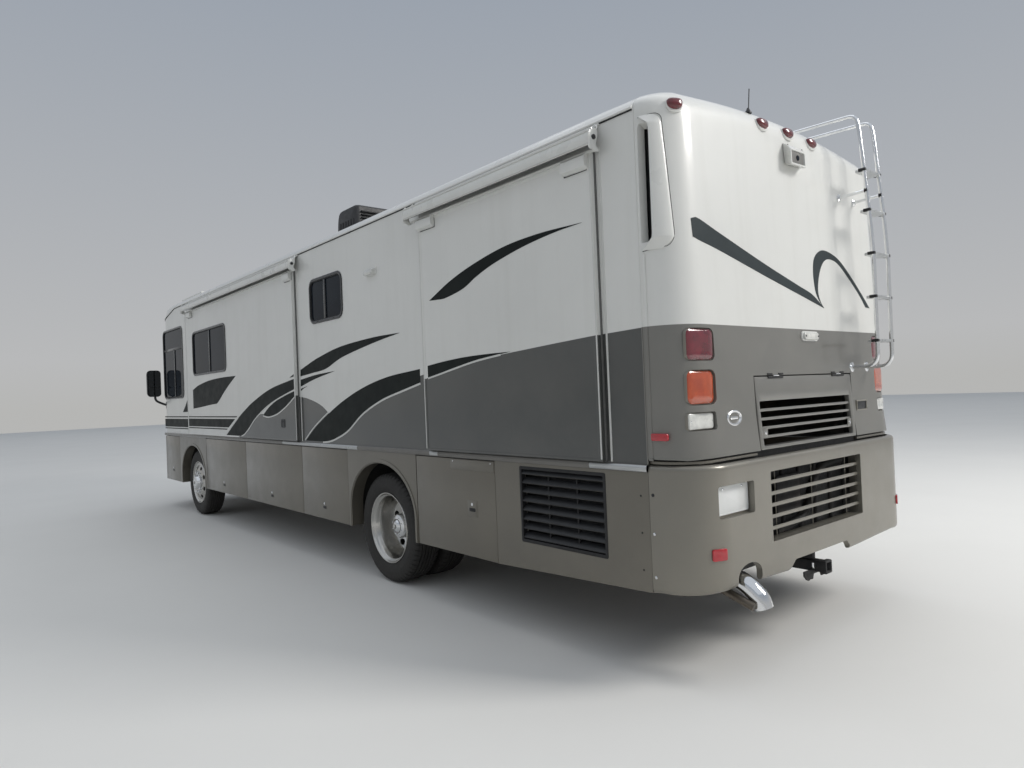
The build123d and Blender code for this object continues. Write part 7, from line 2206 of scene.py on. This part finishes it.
# everything on the springs goes up to its ride height
WHEEL_WORDS = ("_tyre_skin", "_tyre_skins", "_rim_skin", "_rim_skin_hub", "_inner_rim")
for ob in list(bpy.context.scene.objects):
    if ob.type != "MESH" or any(ob is q for q in N.values()) or any(ob.name.endswith(w) for w in WHEEL_WORDS):
        continue
    ob.data.transform(Matrix.Translation((0, 0, RIDE)))

# ------------------------------------------------------------------ camera, floor and studio light
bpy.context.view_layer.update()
PX, PY, PZ = -7.248, 4.2145, 1.5381 + RIDE
yaw, pitch, roll = math.radians(-40.112), math.radians(0.682), math.radians(-2.3646)
fwd = Vector((math.cos(yaw) * math.cos(pitch), math.sin(yaw) * math.cos(pitch), math.sin(pitch)))
rt_ = fwd.cross(Vector((0, 0, 1))).normalized()
up_ = rt_.cross(fwd)
r2 = math.cos(roll) * rt_ + math.sin(roll) * up_
u2 = -math.sin(roll) * rt_ + math.cos(roll) * up_
cam = bpy.data.cameras.new("cam")
co = bpy.data.objects.new("cam", cam)
bpy.context.scene.collection.objects.link(co)
co.matrix_world = Matrix(((r2.x, u2.x, -fwd.x, PX), (r2.y, u2.y, -fwd.y, PY), (r2.z, u2.z, -fwd.z, PZ), (0, 0, 0, 1)))
cam.sensor_width = 36.0
cam.lens = 36.0 * 695.34 / 1024
cam.clip_end = 200
bpy.context.scene.camera = co
m_ground = M("studio_floor", (0.74, 0.73, 0.70), 0.9, spec=0.15, var=0.015, vscale=0.6)
fl = P("floor", None, None, m_ground)
fl.raw([(-60, -60, -0.002), (60, -60, -0.002), (60, 60, -0.002), (-60, 60, -0.002)], [(0, 1, 2, 3)])
fl.done()


def area(name, loc, aim, size, power, col=(1, 1, 1), size_y=None):
    li = bpy.data.lights.new(name, "AREA")
    li.energy = power
    li.color = col
    li.size = size
    if size_y:
        li.shape = "RECTANGLE"
        li.size_y = size_y
    o = bpy.data.objects.new(name, li)
    bpy.context.scene.collection.objects.link(o)
    o.location = loc
    d = Vector(aim) - Vector(loc)
    o.rotation_euler = d.to_track_quat("-Z", "Y").to_euler()
    return o


area("key", (-14.0, -6.5, 10.0), (-4.0, 0, 1.4), 5.0, 1350, (1.0, 0.975, 0.94))
area("top", (0.0, 0.0, 14.0), (0, 0, 0), 14.0, 250, (0.97, 0.985, 1.0), 8.0)
area("wash", (0.0, 0.0, 34.0), (0, 0, 0), 100.0, 9000, (1.0, 0.99, 0.97), 100.0)
w = bpy.data.worlds.new("world")
bpy.context.scene.world = w
w.use_nodes = True
nt = w.node_tree
bg = nt.nodes["Background"]
tc = nt.nodes.new("ShaderNodeTexCoord")
sp = nt.nodes.new("ShaderNodeSeparateXYZ")
rp = nt.nodes.new("ShaderNodeValToRGB")
nt.links.new(tc.outputs["Generated"], sp.inputs["Vector"])
nt.links.new(sp.outputs["Z"], rp.inputs["Fac"])
rp.color_ramp.elements[0].position = 0.0
rp.color_ramp.elements[0].color = (0.93, 0.93, 0.91, 1)
rp.color_ramp.elements[1].position = 0.55
rp.color_ramp.elements[1].color = (0.62, 0.70, 0.82, 1)
e = rp.color_ramp.elements.new(0.06)
e.color = (0.96, 0.97, 0.98, 1)
nt.links.new(rp.outputs["Color"], bg.inputs["Color"])
bg.inputs["Strength"].default_value = 0.50
bpy.context.scene.view_settings.view_transform = "Standard"
